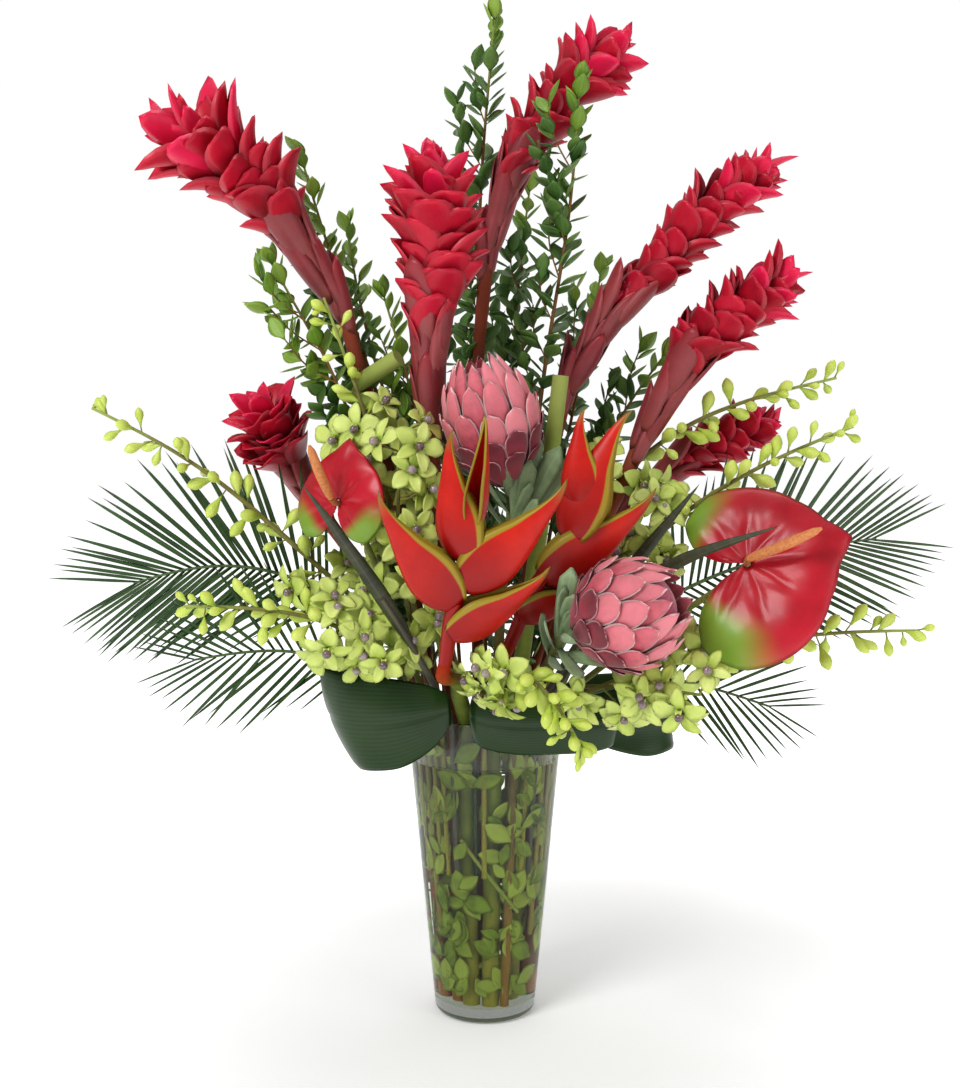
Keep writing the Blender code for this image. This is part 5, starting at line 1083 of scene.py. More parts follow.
ANTHURIUM_RED = finish(
    "anthurium_red", (0.34, 0.003, 0.012), (0.50, 0.008, 0.024), (0.62, 0.03, 0.055), patch=18, own=0.0,
    roughness=0.36, relief=0.10, specular_ior_level=0.4, coat_weight=0.12, coat_roughness=0.16)
SPADIX = finish(
    "spadix_orange", (0.50, 0.16, 0.05), (0.66, 0.27, 0.09), (0.74, 0.42, 0.16), patch=400, own=0.0,
    roughness=0.6, relief=0.9, relief_scale=700.0)
ANTHURIUM_STALK = stem_finish(
    "anthurium_stalk_green", ((0.16, 0.19, 0.05), (0.26, 0.27, 0.08), (0.36, 0.24, 0.08)),
    (0.38, 0.28, 0.06), (0.44, 0.16, 0.06), specular_ior_level=0.12)
print("finishes of the blooms are mixed")

# %% The finishes of the orchids and the greens
ORCHID_LIME = finish(
    "orchid_lime", (0.36, 0.48, 0.055), (0.50, 0.62, 0.10), (0.68, 0.76, 0.26), patch=90, own=0.7,
    roughness=0.48, sheen_weight=0.1,
    marks=tipped(0.35, (0.66, 0.74, 0.22), 0.2, 0.9, base=((0.32, 0.46, 0.05), 0.4, 0.7)))
ORCHID_BUD = finish(
    "orchid_bud", (0.36, 0.48, 0.05), (0.50, 0.62, 0.08), (0.66, 0.74, 0.20), patch=70, own=0.6,
    roughness=0.42, marks=tipped(0.5, (0.62, 0.70, 0.16), 0.4, 1.0, base=((0.28, 0.42, 0.06), 0.35, 0.7)))
ORCHID_THROAT = finish(
    "orchid_throat", (0.16, 0.07, 0.06), (0.42, 0.36, 0.20), (0.62, 0.60, 0.36), patch=420, own=0.4,
    roughness=0.35)
ORCHID_BEAD = finish(
    "orchid_bead", (0.05, 0.022, 0.025), (0.17, 0.10, 0.105), (0.60, 0.52, 0.50), patch=520, own=0.45,
    roughness=0.12, relief=0.5, relief_scale=420.0, coat_weight=1.0, coat_roughness=0.05)
ORCHID_STEM = stem_finish(
    "orchid_stem", ((0.16, 0.14, 0.05), (0.24, 0.24, 0.07), (0.34, 0.38, 0.10)),
    (0.38, 0.34, 0.06), (0.34, 0.42, 0.12))
PALM_GREEN = finish(
    "palm_green", (0.014, 0.046, 0.010), (0.028, 0.078, 0.018), (0.065, 0.135, 0.035),
    roughness=0.42, relief_scale=600.0, marks=veined((0.14, 0.22, 0.09), 0.35, 0.0))
PALM_RIB = finish("palm_rib", (0.05, 0.10, 0.03), (0.09, 0.16, 0.05), (0.16, 0.22, 0.08), own=0.0)
BROAD_GREEN = finish(
    "broad_leaf_green", (0.007, 0.026, 0.003), (0.013, 0.042, 0.005), (0.030, 0.080, 0.010), patch=9,
    own=0.0, roughness=0.32, relief=0.25, specular_ior_level=0.4)
SPEAR_GREEN = finish(
    "spear_leaf_olive", (0.028, 0.036, 0.018), (0.055, 0.065, 0.028), (0.13, 0.11, 0.08), patch=25,
    own=0.3, roughness=0.48, marks=veined((0.20, 0.15, 0.13), 0.30, 0.10, 14.0, 0.0))
CUT_GREEN = stem_finish(
    "cut_stem_green", ((0.24, 0.31, 0.06), (0.33, 0.40, 0.09), (0.46, 0.47, 0.16)),
    (0.36, 0.33, 0.08), (0.36, 0.42, 0.12), specular_ior_level=0.12, patch=25, roughness=0.5,
    relief_scale=300.0)
MYRTLE_GREEN = finish(
    "myrtle_green", (0.034, 0.105, 0.016), (0.066, 0.170, 0.028), (0.18, 0.31, 0.065), patch=70, own=0.7,
    marks=veined((0.16, 0.26, 0.08), 0.45, 0.12, 8.0, 0.7))
YOUNG_GREEN = finish(
    "young_leaf_green", (0.085, 0.19, 0.015), (0.15, 0.29, 0.025), (0.30, 0.44, 0.06), patch=70, own=0.7,
    marks=veined((0.34, 0.46, 0.10), 0.45, 0.12, 8.0, 0.7))
WET_GREEN = finish(
    "wet_leaf_green", (0.065, 0.115, 0.010), (0.200, 0.290, 0.030), (0.50, 0.58, 0.12), patch=70, own=0.9,
    roughness=0.5, specular_ior_level=0.04, marks=veined((0.26, 0.36, 0.10), 0.5, 0.12, 8.0, 0.7))
MYRTLE_TWIG = stem_finish(
    "myrtle_twig", ((0.16, 0.08, 0.035), (0.22, 0.13, 0.05), (0.20, 0.24, 0.08)),
    (0.38, 0.19, 0.05), (0.22, 0.30, 0.08), roughness=0.6)
print("finishes of the orchids and the greens are mixed")

# %% [markdown]
# ## Finding a leaf's place on the plain solid
#
# The plain solids already hold every leaf and flower where there is room for it. A fine
# leaf tries the same few directions again and takes the one whose tip the plain solid
# has as well. So fine and plain leaves match one by one, and nothing has to be tested
# against its neighbours twice.

# %% Matching tips
TIP_MATCH = 0.0004
LINE_STEPS = 90

def corner_tree(name):
    """A search tree of the corners of one plain solid."""
    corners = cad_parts[name].data.vertices
    tree = KDTree(len(corners))
    for number, corner in enumerate(corners):
        tree.insert(corner.co, number)
    tree.balance()
    return tree

def has_corner(tree, point):
    """Whether the plain solid has a corner at this point."""
    return tree.find(Vector(point))[2] < TIP_MATCH

def whole_stem(name, count=120):
    """A stem's smooth line from its cut foot to its top."""
    foot = STEMS[name][1]
    inside = [in_vase(slots[name], z) for z in np.linspace(foot, RIM_PLANE, 12)[:-1]]
    return resample(catmull_rom(np.vstack([inside, routes[name]]), 4), count)

def thin_line(name):
    """The line that the plain solid's stem follows above the rim."""
    route = routes[name]
    tolerance = 0.0009 if STEMS[name][0] > 0.004 else 0.0023
    if len(head_approach(name)):
        return np.vstack([thin_out(route[:-1], tolerance), route[-1:]])
    return thin_out(route, tolerance)

def even_line(name):
    """The plain stem's line above the rim, in even steps."""
    return resample(thin_line(name), LINE_STEPS)

def tapered(line, radius, tip_radius, grow):
    """Radii that narrow towards the end of a line, over its last stretch."""
    steps = np.linalg.norm(np.diff(line, axis=0), axis=1)
    left = np.concatenate([np.cumsum(steps[::-1])[::-1], [0.0]])
    return radius + (tip_radius - radius) * np.clip(1 - left / grow, 0, 1)

def tapered_stem(name, finish, tip_radius, grow, sides=8, count=120):
    """The fine stem of a plant, which keeps its radius until it nears its top."""
    line = whole_stem(name, count)
    return stem_piece(name + "_line", line, tapered(line, STEMS[name][0], tip_radius, grow), finish, sides)

def square_to(normal, along):
    """The normal turned square to the way of growth."""
    return unit(np.asarray(normal) - np.asarray(along) * (np.asarray(normal) @ np.asarray(along)))

def around(side, front, angle):
    """A direction round a stem, from its side towards its front."""
    return math.cos(angle) * side + math.sin(angle) * front

def leaning(run, way, lean):
    """A leaf's way of growth and its facing, when it leans off its stem by an angle."""
    return run * math.cos(lean) + way * math.sin(lean), run * math.sin(lean) - way * math.cos(lean)

def side_and_front(run, back=(0, 1, 0.15)):
    """A direction across a stem, and the one that faces the front of the vase."""
    side = unit(np.cross(run, back))
    front = np.cross(side, run)
    return side, front if front[1] < 0 else -front

def broad_pieces_tree():
    """A search tree over the broad pieces that nothing small should pierce."""
    corners, faces = [], []
    for name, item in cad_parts.items():
        if name.endswith(("_spathe", "_bracts", "_head")) or name.startswith("broad_leaf"):
            first = len(corners)
            corners += [tuple(corner.co) for corner in item.data.vertices]
            faces += [[first + i for i in face.vertices] for face in item.data.polygons]
    return BVHTree.FromPolygons(corners, faces)

BROAD_PIECES = broad_pieces_tree()

def clear_of_broad(point, distance):
    """Whether a point is far enough from every broad piece."""
    return BROAD_PIECES.find_nearest(Vector(point))[3] > distance

def in_the_glass(centre, radius):
    """Whether something round would touch the vase."""
    return centre[2] < VASE_HEIGHT + radius and math.hypot(centre[0], centre[1]) < MOUTH_RADIUS + radius

print("the first ginger's cane is", round(curve_length(whole_stem("ginger_1")), 3), "m long")

# %% [markdown]
# ## The red gingers
#
# A ginger head is a spike of waxy bracts. Each new bract turns by the golden angle, so no
# two stand above each other. Below, long pink bracts hug the cane like a sheath; in the
# middle they open; at the tip they crowd upright. Spiralling them with Geometry Nodes
# keeps that rule in view, and four short curves of lean, reach, length and breadth shape
# the whole head.

# %% Ginger bracts
BRACT = leaf(
    "bract_of_ginger",
    ((0, 0.18), (0.25, 0.34), (0.5, 0.42), (0.72, 0.37), (0.88, 0.23), (0.96, 0.10), (1, 0.0)),
    ((0, 18), (0.5, 6), (0.8, -6), (1, -16)), ((0, 62), (0.5, 50), (0.85, 42), (1, 26)), 10, 7, 0.035)
LONG_BRACT = leaf(
    "long_bract_of_ginger", ((0, 0.12), (0.3, 0.18), (0.6, 0.19), (0.83, 0.13), (0.95, 0.05), (1, 0.0)),
    ((0, -18), (0.18, -4), (0.7, 0), (1, -5)), ((0, 80), (0.6, 66), (1, 40)), 10, 7, 0.016)
TOP_BRACT = leaf(
    "top_bract_of_ginger", ((0, 0.14), (0.3, 0.24), (0.6, 0.27), (0.82, 0.19), (0.95, 0.08), (1, 0.0)),
    ((0, 8), (0.6, 4), (1, -14)), ((0, 70), (0.5, 54), (1, 30)), 10, 7, 0.03)

# Fullness, how far the bracts open, looseness, how much longer the last bracts are, and
# the step of the axis where they begin.
HEAD_CHARACTER = {"ginger_1": (1.10, 10, 0.20, 1.42, 31), "ginger_2": (1.16, 10, 0.20, 1.12, 34),
                  "ginger_3": (1.08, 8, 0.22, 1.34, 33), "ginger_4": (1.04, 0, 0.17, 1.16, 36),
                  "ginger_5": (1.04, 4, 0.18, 1.18, 33), "ginger_6": (1.05, 15, 0.22, 1.12, 32),
                  "ginger_7": (1.0, 6, 0.16, 1.1, 38)}
BRACTS_PER_PLAIN_ONE = 2.7
HEAD_STEPS = 40
CORE_SHAPE = ((0, 0.10), (0.15, 0.14), (0.3, 0.24), (0.6, 0.34), (0.85, 0.26), (1, 0.06))
DEG = math.radians(1)

def times(factor, profile):
    """A profile with its values made larger or smaller."""
    return [(place, value * factor) for place, value in profile]

def make_ginger(name, number):
    """A head of bracts with its sheath, and the cane below it."""
    axis, half, plain_count = GINGER_HEADS[name]
    full, open_by, looseness, flare, stop = HEAD_CHARACTER[name]
    head = resample(catmull_rom(axis), HEAD_STEPS)
    widths = [half * lerp(s, CORE_SHAPE) for s in np.linspace(0, 1, stop + 2)]
    core = stem_piece(name + "_core", head[:stop + 2], widths, GINGER_RED)
    lean = ((0, 16), (0.2, 24 + open_by), (0.5, 31 + open_by), (0.85, 33 + open_by), (1, 22 + open_by))
    bracts = spiral(
        name + "_bracts", BRACT, head[9:stop], GINGER_RED, int(plain_count * BRACTS_PER_PLAIN_ONE),
        half * full, seed=7 * number + 1, first=1.3 * number, looseness=looseness,
        lean=times(DEG, lean),
        reach=times(half, ((0, 0.16), (0.3, 0.24), (0.6, 0.30), (0.88, 0.20), (1, 0.08))),
        growth=((0, 0.96), (0.3, 0.96), (0.6, 1.0), (1, flare)),
        breadth=((0, 0.90), (0.4, 1.0), (0.7, 0.92), (1, 0.86 / flare)))
    tuft = spiral(
        name + "_tuft", TOP_BRACT, head[stop - 5:stop + 2], GINGER_TOP, 12, 1.10 * flare * half * full,
        seed=7 * number + 2, first=0.9 * number, looseness=0.16,
        lean=times(DEG, ((0, 34 + open_by), (1, 9))), reach=times(half, ((0, 0.14), (1, 0.03))),
        growth=((0, 1.0), (1, 0.92)), breadth=((0, 1.0), (1, 0.8)))
    lower = np.vstack([routes[name][-3:], head[2:12:3]])
    sheath = spiral(
        name + "_sheath", LONG_BRACT, lower, GINGER_SHEATH, 14, 1.75 * half, turn=2.2,
        seed=7 * number + 3, first=0.7 * number, looseness=0.04,
        lean=times(DEG, ((0, 2), (0.6, 5), (1, 9))),
        reach=((0, 0.0072), (0.6, 0.18 * half), (1, 0.28 * half)),
        growth=((0, 0.9), (1, 0.95)), breadth=((0, 0.85), (1, 1.35)))
    head_piece = one_piece(name + "_flower", [core, bracts, tuft, sheath], "ginger_bract", name + "_head")
    cane = tapered_stem(name, GINGER_CANE, 0.0082, 0.10, 14, 160)
    one_piece(name + "_cane_stem", [cane], "ginger_sheath", name + "_stem")
    return len(head_piece.data.polygons)

for number, name in enumerate(GINGER_HEADS, 1):
    print(name, "has", make_ginger(name, number), "faces")

# %% [markdown]
# ## The proteas
#
# A protea head is a goblet. Its bracts lie round a swelling profile like overlapping
# tiles, dark and short outside, long and pink inside, each with a pale hairy rim. They
# are draped on the goblet rather than set on a line, so that they hug it without gaps.

# %% Protea heads
GOBLET = ((0.0, 0.20), (0.12, 0.56), (0.30, 0.86), (0.50, 1.0), (0.70, 0.99), (0.85, 0.90), (1.0, 0.70),
          (1.1, 0.55))
DOME = ((0.0, 0.16), (0.2, 0.45), (0.5, 0.66), (0.75, 0.66), (0.90, 0.52), (0.98, 0.28), (1.01, 0.04))
BRACT_OUTLINE = ((0, 0.50), (0.3, 0.74), (0.6, 0.96), (0.74, 1.0), (0.84, 0.90), (0.92, 0.68),
                 (0.975, 0.38), (1, 0.0))
# A ring of bracts: how many, from where to where they climb, how far out they lie, how
# wide each spreads, its colour, and how far its tip stands free.
RINGS = ((9, 0.00, 0.32, 1.01, 0.30, PROTEA_DARK, 0.0030), (10, 0.04, 0.50, 0.98, 0.30, PROTEA_DARK, 0.0030),
         (11, 0.10, 0.72, 0.94, 0.29, PROTEA_PINK, 0.0030), (11, 0.16, 0.93, 0.88, 0.29, PROTEA_PINK, 0.0020),
         (12, 0.24, 1.10, 0.81, 0.30, PROTEA_PINK, -0.0020))

def goblet_frame(name):
    """Where a protea head stands and how it is turned."""
    base, tip, half = PROTEA_HEADS[name]
    base, tip = np.array(base), np.array(tip)
    run = unit(tip - base)
    side = unit(np.cross(run, (0.2, 1.0, 0.1)))
    return base, run, side, np.cross(run, side), np.linalg.norm(tip - base), half

def draped_bract(name, angle, low, high, share, spread, lift):
    """One bract draped on the goblet; its tip stands a little free."""
    base, run, side, up, length, half = goblet_frame(name)

    def place(row, s, v):
        climb = low + (high - low) * s
        out = half * share * lerp(climb, GOBLET) + lift * s ** 3 + 0.0018 * (1 - v * v) * (0.4 + 0.6 * s)
        way = around(side, up, angle + v * spread * lerp(s, BRACT_OUTLINE))
        return base + run * length * climb + way * out

    return shell("draped", surface(15, 7, place), 0.0012)

def make_protea(name):
    """Five rings of bracts round a hairy dome."""
    base, run, _, _, length, half = goblet_frame(name)
    draw = np.random.default_rng(40 + int(name[-1]))
    parts = []
    for ring, (count, low, high, share, spread, colour, lift) in enumerate(RINGS):
        for k in range(count):
            angle = 2 * math.pi * (k + 0.5 * ring) / count + draw.uniform(-0.05, 0.05)
            bract = draped_bract(name, angle, low, high + draw.uniform(-0.03, 0.03), share, spread, lift)
            bract.data.materials.append(colour)
            keep_values(bract.data, {"tint": np.full(len(bract.data.vertices), draw.uniform(0, 1))})
            parts.append(bract)
    smooth = catmull_rom([(t, r, 0) for t, r in DOME], 4)
    dome = stem_piece("dome", [base + run * length * t for t, _, _ in smooth],
                      [max(half * r, 0.0005) for _, r, _ in smooth], PROTEA_FUZZ, 24)
    head = one_piece(name + "_flower", [dome] + parts, "protea_bract", name + "_head")
    return len(head.data.polygons)

for name in PROTEA_HEADS:
    print(name, "has", make_protea(name), "faces")

# %% [markdown]
# The stems below the heads carry a ruff of blunt grey-green leaves.

# %% Protea leaves
BLUNT_LEAF = leaf("blunt_leaf", ((0, 0.045), (0.4, 0.10), (0.8, 0.125), (0.94, 0.10), (1, 0.02)),
                  ((0, 2), (0.6, 10), (1, 18)), ((0, 25), (1, 18)), thick=0.028)
BLUNT_LENGTH = 0.058
LEAF_TURNS = ((40, 0), (55, 0), (55, 0.5), (55, -0.5), (70, 0.2), (70, 1.0), (80, -0.8), (85, 1.6))
# The upright leaves beside a head: their root on the stem, and their tips.
RUFFS = {
    "protea_1": metres([(30, -70, 488), [(31.5, -85, 550), (44.6, -90, 562), (39.8, -84, 577), (51, -80, 588),
                                         (77.2, -86, 570), (82.9, -82, 554), (54, -94, 522)]]),
    "protea_2": metres([(64, -152, 393), [(79.3, -180, 468), (81.2, -186, 448), (79.5, -176, 431),
                                          (86.5, -190, 427), (88.3, -186, 409), (124, -186, 379)]]),
}

def ruff_spots(name):
    """The upright leaves beside a head, from their roots on the stem to their tips."""
    root, tips = RUFFS[name]
    spots = []
    for k, tip in enumerate(tips):
        start = np.array(root) + np.array([0, 0, 0.010 * math.sin(2.2 * k)])
        reach = np.array(tip) - start
        along = unit(reach)
        looks = unit(square_to((0.15 * math.sin(3 * k), -1.0, 0.25), along))
        spots.append((start, along, looks, np.linalg.norm(reach)))
    return spots

def protea_leaf_spots(name):
    """The leaves of the plain solid."""
    tree, line = corner_tree(name + "_stem"), even_line(name)
    length = curve_length(routes[name])
    spots = []
    for i in range(9):
        point, run = at_fraction(line, 1 - (0.004 + 0.0055 * i) / length)
        side = unit(np.cross(run, (0.0, 1.0, 0.1)))
        front = np.cross(side, run)
        for lean, shift in LEAF_TURNS:
            along, normal = leaning(run, around(side, front, i * GOLDEN_ANGLE + shift), math.radians(lean))
            if has_corner(tree, point + along * BLUNT_LENGTH + normal * 0.14 * BLUNT_LENGTH):
                spots.append((point, unit(along + 0.05 * normal), normal, BLUNT_LENGTH))
                break
    return spots

for name in PROTEA_HEADS:
    spots = protea_leaf_spots(name) + ruff_spots(name)
    leaves = parts_on(name + "_leaves", BLUNT_LEAF, spots, PROTEA_LEAF, seed=5)
    stalk = tapered_stem(name, PROTEA_STEM, 0.0045, 0.05, 12)
    one_piece(name + "_leafy_stem", [stalk, leaves], "protea_leaf", name + "_stem")
    print(name, "has", len(spots), "leaves")

# %% [markdown]
# ## The heliconias
#
# A heliconia bract is a folded boat: a rounded keel, two high sides and two rims that
# nearly meet, drawn out to a curved beak. It is lofted from cross-sections along a bent
# line, because both its depth and its fold change all the way to the tip.

# %% Heliconia boats
BOAT_DEEP = ((0, 0.42), (0.10, 0.78), (0.24, 1.0), (0.38, 0.90), (0.55, 0.60), (0.75, 0.28),
             (0.90, 0.11), (1, 0.01))
BOAT_WIDE = ((0, 0.66), (0.10, 0.95), (0.25, 1.0), (0.5, 0.74), (0.75, 0.38), (1, 0.03))
BOAT_SINK = ((0, -0.02), (0.22, 0.0), (0.55, 0.05), (0.8, 0.16), (0.92, 0.26), (1, 0.38))
BOAT_KEEL = catmull_rom([(s, lerp(s, BOAT_DEEP), lerp(s, BOAT_SINK)) for s in np.linspace(0, 1, 12)], 6)
BOAT_HALF = 0.0120

def boat_grid(base, tip, climb):
    """Cross-sections of one boat, from rim through keel to rim."""
    base, tip = np.array(base), np.array(tip)
    length = np.linalg.norm(tip - base)
    run, depth = unit(tip - base), 0.35 * length + 0.008
    up = unit(climb - run * (climb @ run))
    side = np.cross(run, up)

    def place(row, s, v):
        tall, sink = (depth * np.interp(s, BOAT_KEEL[:, 0], BOAT_KEEL[:, k]) for k in (1, 2))
        a = abs(v)
        x = math.copysign(BOAT_HALF * lerp(s, BOAT_WIDE) * (1.62 * a ** 0.72 - 1.12 * a * a), v)
        x += math.copysign(0.0016 * max(0.0, a - 0.86) / 0.14, v) * (1 - s)
        centre = base + run * length * (1.11 * s - 0.05) + up * sink
        return centre + side * x + up * tall * (a ** 1.2 - 0.5)

    return surface(26, 21, place)

def make_heliconia(name):
    """The folded bracts on their axis, and the cane below."""
    axis, bracts = HELICONIAS[name]
    line, plain_line = resample(catmull_rom(axis), 30), resample(catmull_rom(axis), 6)
    radii = [lerp(s, ((0, 0.0062), (0.3, 0.0076), (1, 0.004))) for s in np.linspace(0, 1, 30)]
    parts = [stem_piece(name + "_axis", line, radii, HELICONIA_RED, 14)]
    for base, tip in bracts:
        near = int(np.argmin(np.linalg.norm(plain_line - np.array(base), axis=1)))
        grid = boat_grid(base, tip, at_fraction(plain_line, near / 5)[1])
        parts.append(shell("boat", grid, 0.0020, HELICONIA_RED))
    head = one_piece(name + "_flower", parts, "heliconia_bract", name + "_bracts")
    cane = tapered_stem(name, HELICONIA_CANE, 0.0058, 0.04, 14)
    one_piece(name + "_cane_stem", [cane], "heliconia_stem", name + "_stem")
    return len(head.data.polygons)

for name in HELICONIAS:
    print(name, "has", make_heliconia(name), "faces")

# %% [markdown]
# ## The anthuriums
#
# The heart is a single waxy leaf with lobes that part round the stalk. Its veins are sunk
# and its flesh swells between them, which is what catches the light, so the swelling is
# in the mesh itself. Green creeps in from the lobes.

# %% Anthurium hearts
HEART = ((0, 1.10), (16, 0.93), (40, 0.90), (76, 0.98), (106, 1.03), (130, 0.94), (148, 0.66), (160, 0.30),
         (166, 0.12))
FINGER = ((0, 0.0030), (0.12, 0.0044), (0.6, 0.0048), (0.9, 0.0036), (1, 0.0012))
STALK_HOLE = 0.0034
LOBE_GREEN = (0.20, 0.33, 0.035)

def heart_frame(name):
    """Where a heart hangs and how it is turned."""
    centre, tip_way, facing, spadix, sizes = ANTHURIUMS[name]
    facing = unit(facing)
    ahead = unit(np.array(tip_way) - facing * (np.array(tip_way) @ facing))
    return np.array(centre), facing, ahead, np.cross(facing, ahead), np.array(spadix), sizes

def make_heart(name):
    """A heart-shaped shell round the stalk, swollen between its sunken veins."""
    centre, facing, ahead, aside, _, (upper, lower) = heart_frame(name)

    def place(row, degrees, s):
        angle = math.radians(degrees)
        share = 0.5 - 0.5 * math.cos(min(abs(angle) * 2, math.pi))
        size = (1 - share) * 0.5 * (upper + lower) + share * (upper if degrees > 0 else lower)
        out = STALK_HOLE + (size * lerp(abs(degrees), HEART) - STALK_HOLE) * s
        rise = 0.10 * out * math.sin(math.pi * s * 0.9) - 0.10 * out * s ** 2
        vein = abs(math.sin(math.radians(degrees) * 4.5 + 0.9 * s))
        net = math.sin(16 * s + 2.5 * math.sin(angle * 9))
        swell = 0.0034 * (vein ** 0.6 - 0.5) * s * (1.1 - s) * 2.2 + 0.0012 * net * s * (1 - s)
        return centre + around(ahead, aside, angle) * out + facing * (rise + swell)

    return shell(name + "_heart", surface(73, 22, place, (-163, 163), (0, 1)), 0.0015, ANTHURIUM_RED)

def green_lobes(item, name):
    """Keep on every corner how green it is: the lobes behind the stalk, most at their rims."""
    centre, _, ahead, aside, _, (upper, lower) = heart_frame(name)
    away = np.array([corner.co for corner in item.data.vertices]) - centre
    x, y = away @ ahead, away @ aside
    behind, reach = np.degrees(np.abs(np.arctan2(y, x))), np.hypot(x, y) / (0.5 * (upper + lower))
    green = np.clip((behind - 72) / 55, 0, 1) * np.clip((reach - 0.38) / 0.4, 0, 1)
    keep_values(item.data, {"green": green})

def wash_over(finish, mask_of, colour):
    """Lay another colour over a finish by a mask that is made in its own tree."""
    tree = finish.node_tree
    socket = tree.nodes["Principled BSDF"].inputs["Base Color"]
    tree.links.new(blend(tree, mask_of(tree), socket.links[0].from_socket, colour), socket)

wash_over(ANTHURIUM_RED, lambda tree: between(tree, kept(tree, "green"), 0.15, 0.75), LOBE_GREEN)
for name in ANTHURIUMS:
    heart = make_heart(name)
    green_lobes(heart, name)
    one_piece(name + "_heart", [heart], "anthurium_spathe", name + "_spathe")
    centre, facing, _, _, spadix, _ = heart_frame(name)
    finger = stem_piece(name + "_finger", resample(catmull_rom(spadix), 24),
                        [lerp(s, FINGER) for s in np.linspace(0, 1, 24)], SPADIX, 16)
    line = np.vstack([whole_stem(name)[:-1], routes[name][-1:], centre + 0.004 * facing, spadix[:1]])
    stalk = stem_piece(name + "_stalk_line", line, STEMS[name][0], ANTHURIUM_STALK, 10)
    one_piece(name + "_stalk_and_spadix", [stalk, finger], "anthurium_stalk", name + "_stalk")
    print(name, "has", len(heart.data.polygons), "faces in its heart")

# %% [markdown]
# ## The orchids
#
# A dendrobium flower has three narrow sepals, two broad petals and a lip rolled round its
# throat. The photograph's flowers also hold a small round bead. Each of these parts is
# made once, and set on all the flowers of a spray by the tree for spots.

# %% Orchid parts
def turned_body(name, profile, sides, marked=True, finish=None):
    """A closed body turned about Z from (radius, height) pairs."""
    points, faces = [], []
    for radius, height in profile:
        for k in range(sides):
            turn = 2 * math.pi * k / sides
            points.append((radius * math.cos(turn), radius * math.sin(turn), height))
    for i in range(len(profile) - 1):
        for k in range(sides):
            a, b = i * sides + k, i * sides + (k + 1) % sides
            faces.append((a, b, b + sides, a + sides))
    marks = {"tipward": [point[2] for point in points], "sideways": [0.0] * len(points)} if marked else None
    return closed_mesh(name, points, faces, marks, finish)

SEPAL = leaf("sepal", ((0, 0.13), (0.3, 0.24), (0.55, 0.26), (0.8, 0.17), (0.93, 0.07), (1, 0.0)),
             ((0, 30), (0.5, 8), (1, -26)), ((0, 44), (1, 24)), wave=0.12)
PETAL = leaf("petal", ((0, 0.11), (0.3, 0.30), (0.55, 0.38), (0.8, 0.27), (0.93, 0.11), (1, 0.0)),
             ((0, 26), (0.5, 8), (1, -20)), ((0, 34), (1, 26)), wave=0.18)
LIP = leaf("lip", ((0, 0.26), (0.3, 0.40), (0.6, 0.30), (0.8, 0.34), (1, 0.0)),
           ((0, 60), (0.5, 40), (0.8, -20), (1, -70)), ((0, 110), (0.5, 80), (1, 20)), cols=7, thick=0.04)
BUD = turned_body("bud_form", ((0, 0), (0.045, 0.03), (0.07, 0.18), (0.14, 0.36), (0.215, 0.55),
                               (0.215, 0.74), (0.14, 0.88), (0.05, 0.97), (0, 1)), 10)
BEAD = turned_body("bead_form", ((0, 0), (0.26, 0.07), (0.43, 0.25), (0.5, 0.5), (0.43, 0.75),
                                 (0.26, 0.93), (0, 1)), 12)
COLUMN = turned_body("column_form", ((0, 0), (0.30, 0.02), (0.34, 0.5), (0.24, 0.9), (0, 1)), 8)
print("a sepal has", len(SEPAL.data.polygons), "faces and a bud", len(BUD.data.polygons))

# %% Orchid spots
FLOWER_TRIES = list(product((0.026, 0.023, 0.020), (0.0, 0.6, -0.6, 1.2, -1.2, 1.8, -1.8, 2.4, -2.4, 3.1)))
BUD_TRIES = (0.0, 0.7, -0.7, 1.4, -1.4, 2.2, -2.2, 3.0)
FLOWER_REACH = 0.022
BUD_LENGTH = 0.030
UP = np.array([0, 0, 1.0])

def flower_axes(facing):
    """Two directions across a flower that faces one way."""
    right = unit(np.cross((0, 0, 1) if abs(facing[2]) < 0.9 else (1, 0, 0), facing))
    return right, np.cross(facing, right)

def orchid_spots(name):
    """Where the open flowers and the buds of a spray are, read against its plain solid."""
    flowers, buds, start = ORCHID_SPRAYS[name]
    tree, line = corner_tree(name), even_line(name)
    open_ones, closed_ones = [], []
    total, first_turn = flowers + buds, 0.9 * int(name[-1])
    for i in range(total):
        point, run = at_fraction(line, start + (1 - start) * (i + 0.5) / total)
        side, front = side_and_front(run)
        if i < flowers:
            angle = first_turn + i * 2.2
            spin = 0.5 * math.pi + 0.1 * math.sin(3 * angle)
            for radius, shift in FLOWER_TRIES:
                forward = 0.55 + 0.45 * math.sin(angle + shift)
                way = unit(math.cos(angle + shift) * side + forward * front + 0.25 * run)
                facing = unit(0.75 * way + 0.5 * front + 0.1 * UP)
                centre = point + way * FLOWER_REACH
                right, up = flower_axes(facing)
                if has_corner(tree, centre + around(right, up, spin) * radius + facing * radius * 0.22):
                    open_ones.append((point, centre, facing, right, up, spin, radius))
                    break
        else:
            length = BUD_LENGTH * lerp(i / total, ((0, 1.0), (1, 0.6))) + 0.004
            for shift in BUD_TRIES:
                angle = first_turn + i * 2.6 + shift
                way = unit(math.cos(angle) * side + (0.2 + 0.8 * math.sin(angle)) * front + 0.8 * run)
                if has_corner(tree, point + way * length):
                    closed_ones.append((point, point, way, side, length))
                    break
    return open_ones, closed_ones

print("the first spray matches", len(orchid_spots("orchid_spray_1")[0]), "open flowers")

# %% [markdown]
# A full spray has more flowers than the plain solid. They stand between the matched ones,
# clear of the broad pieces and of the glass.

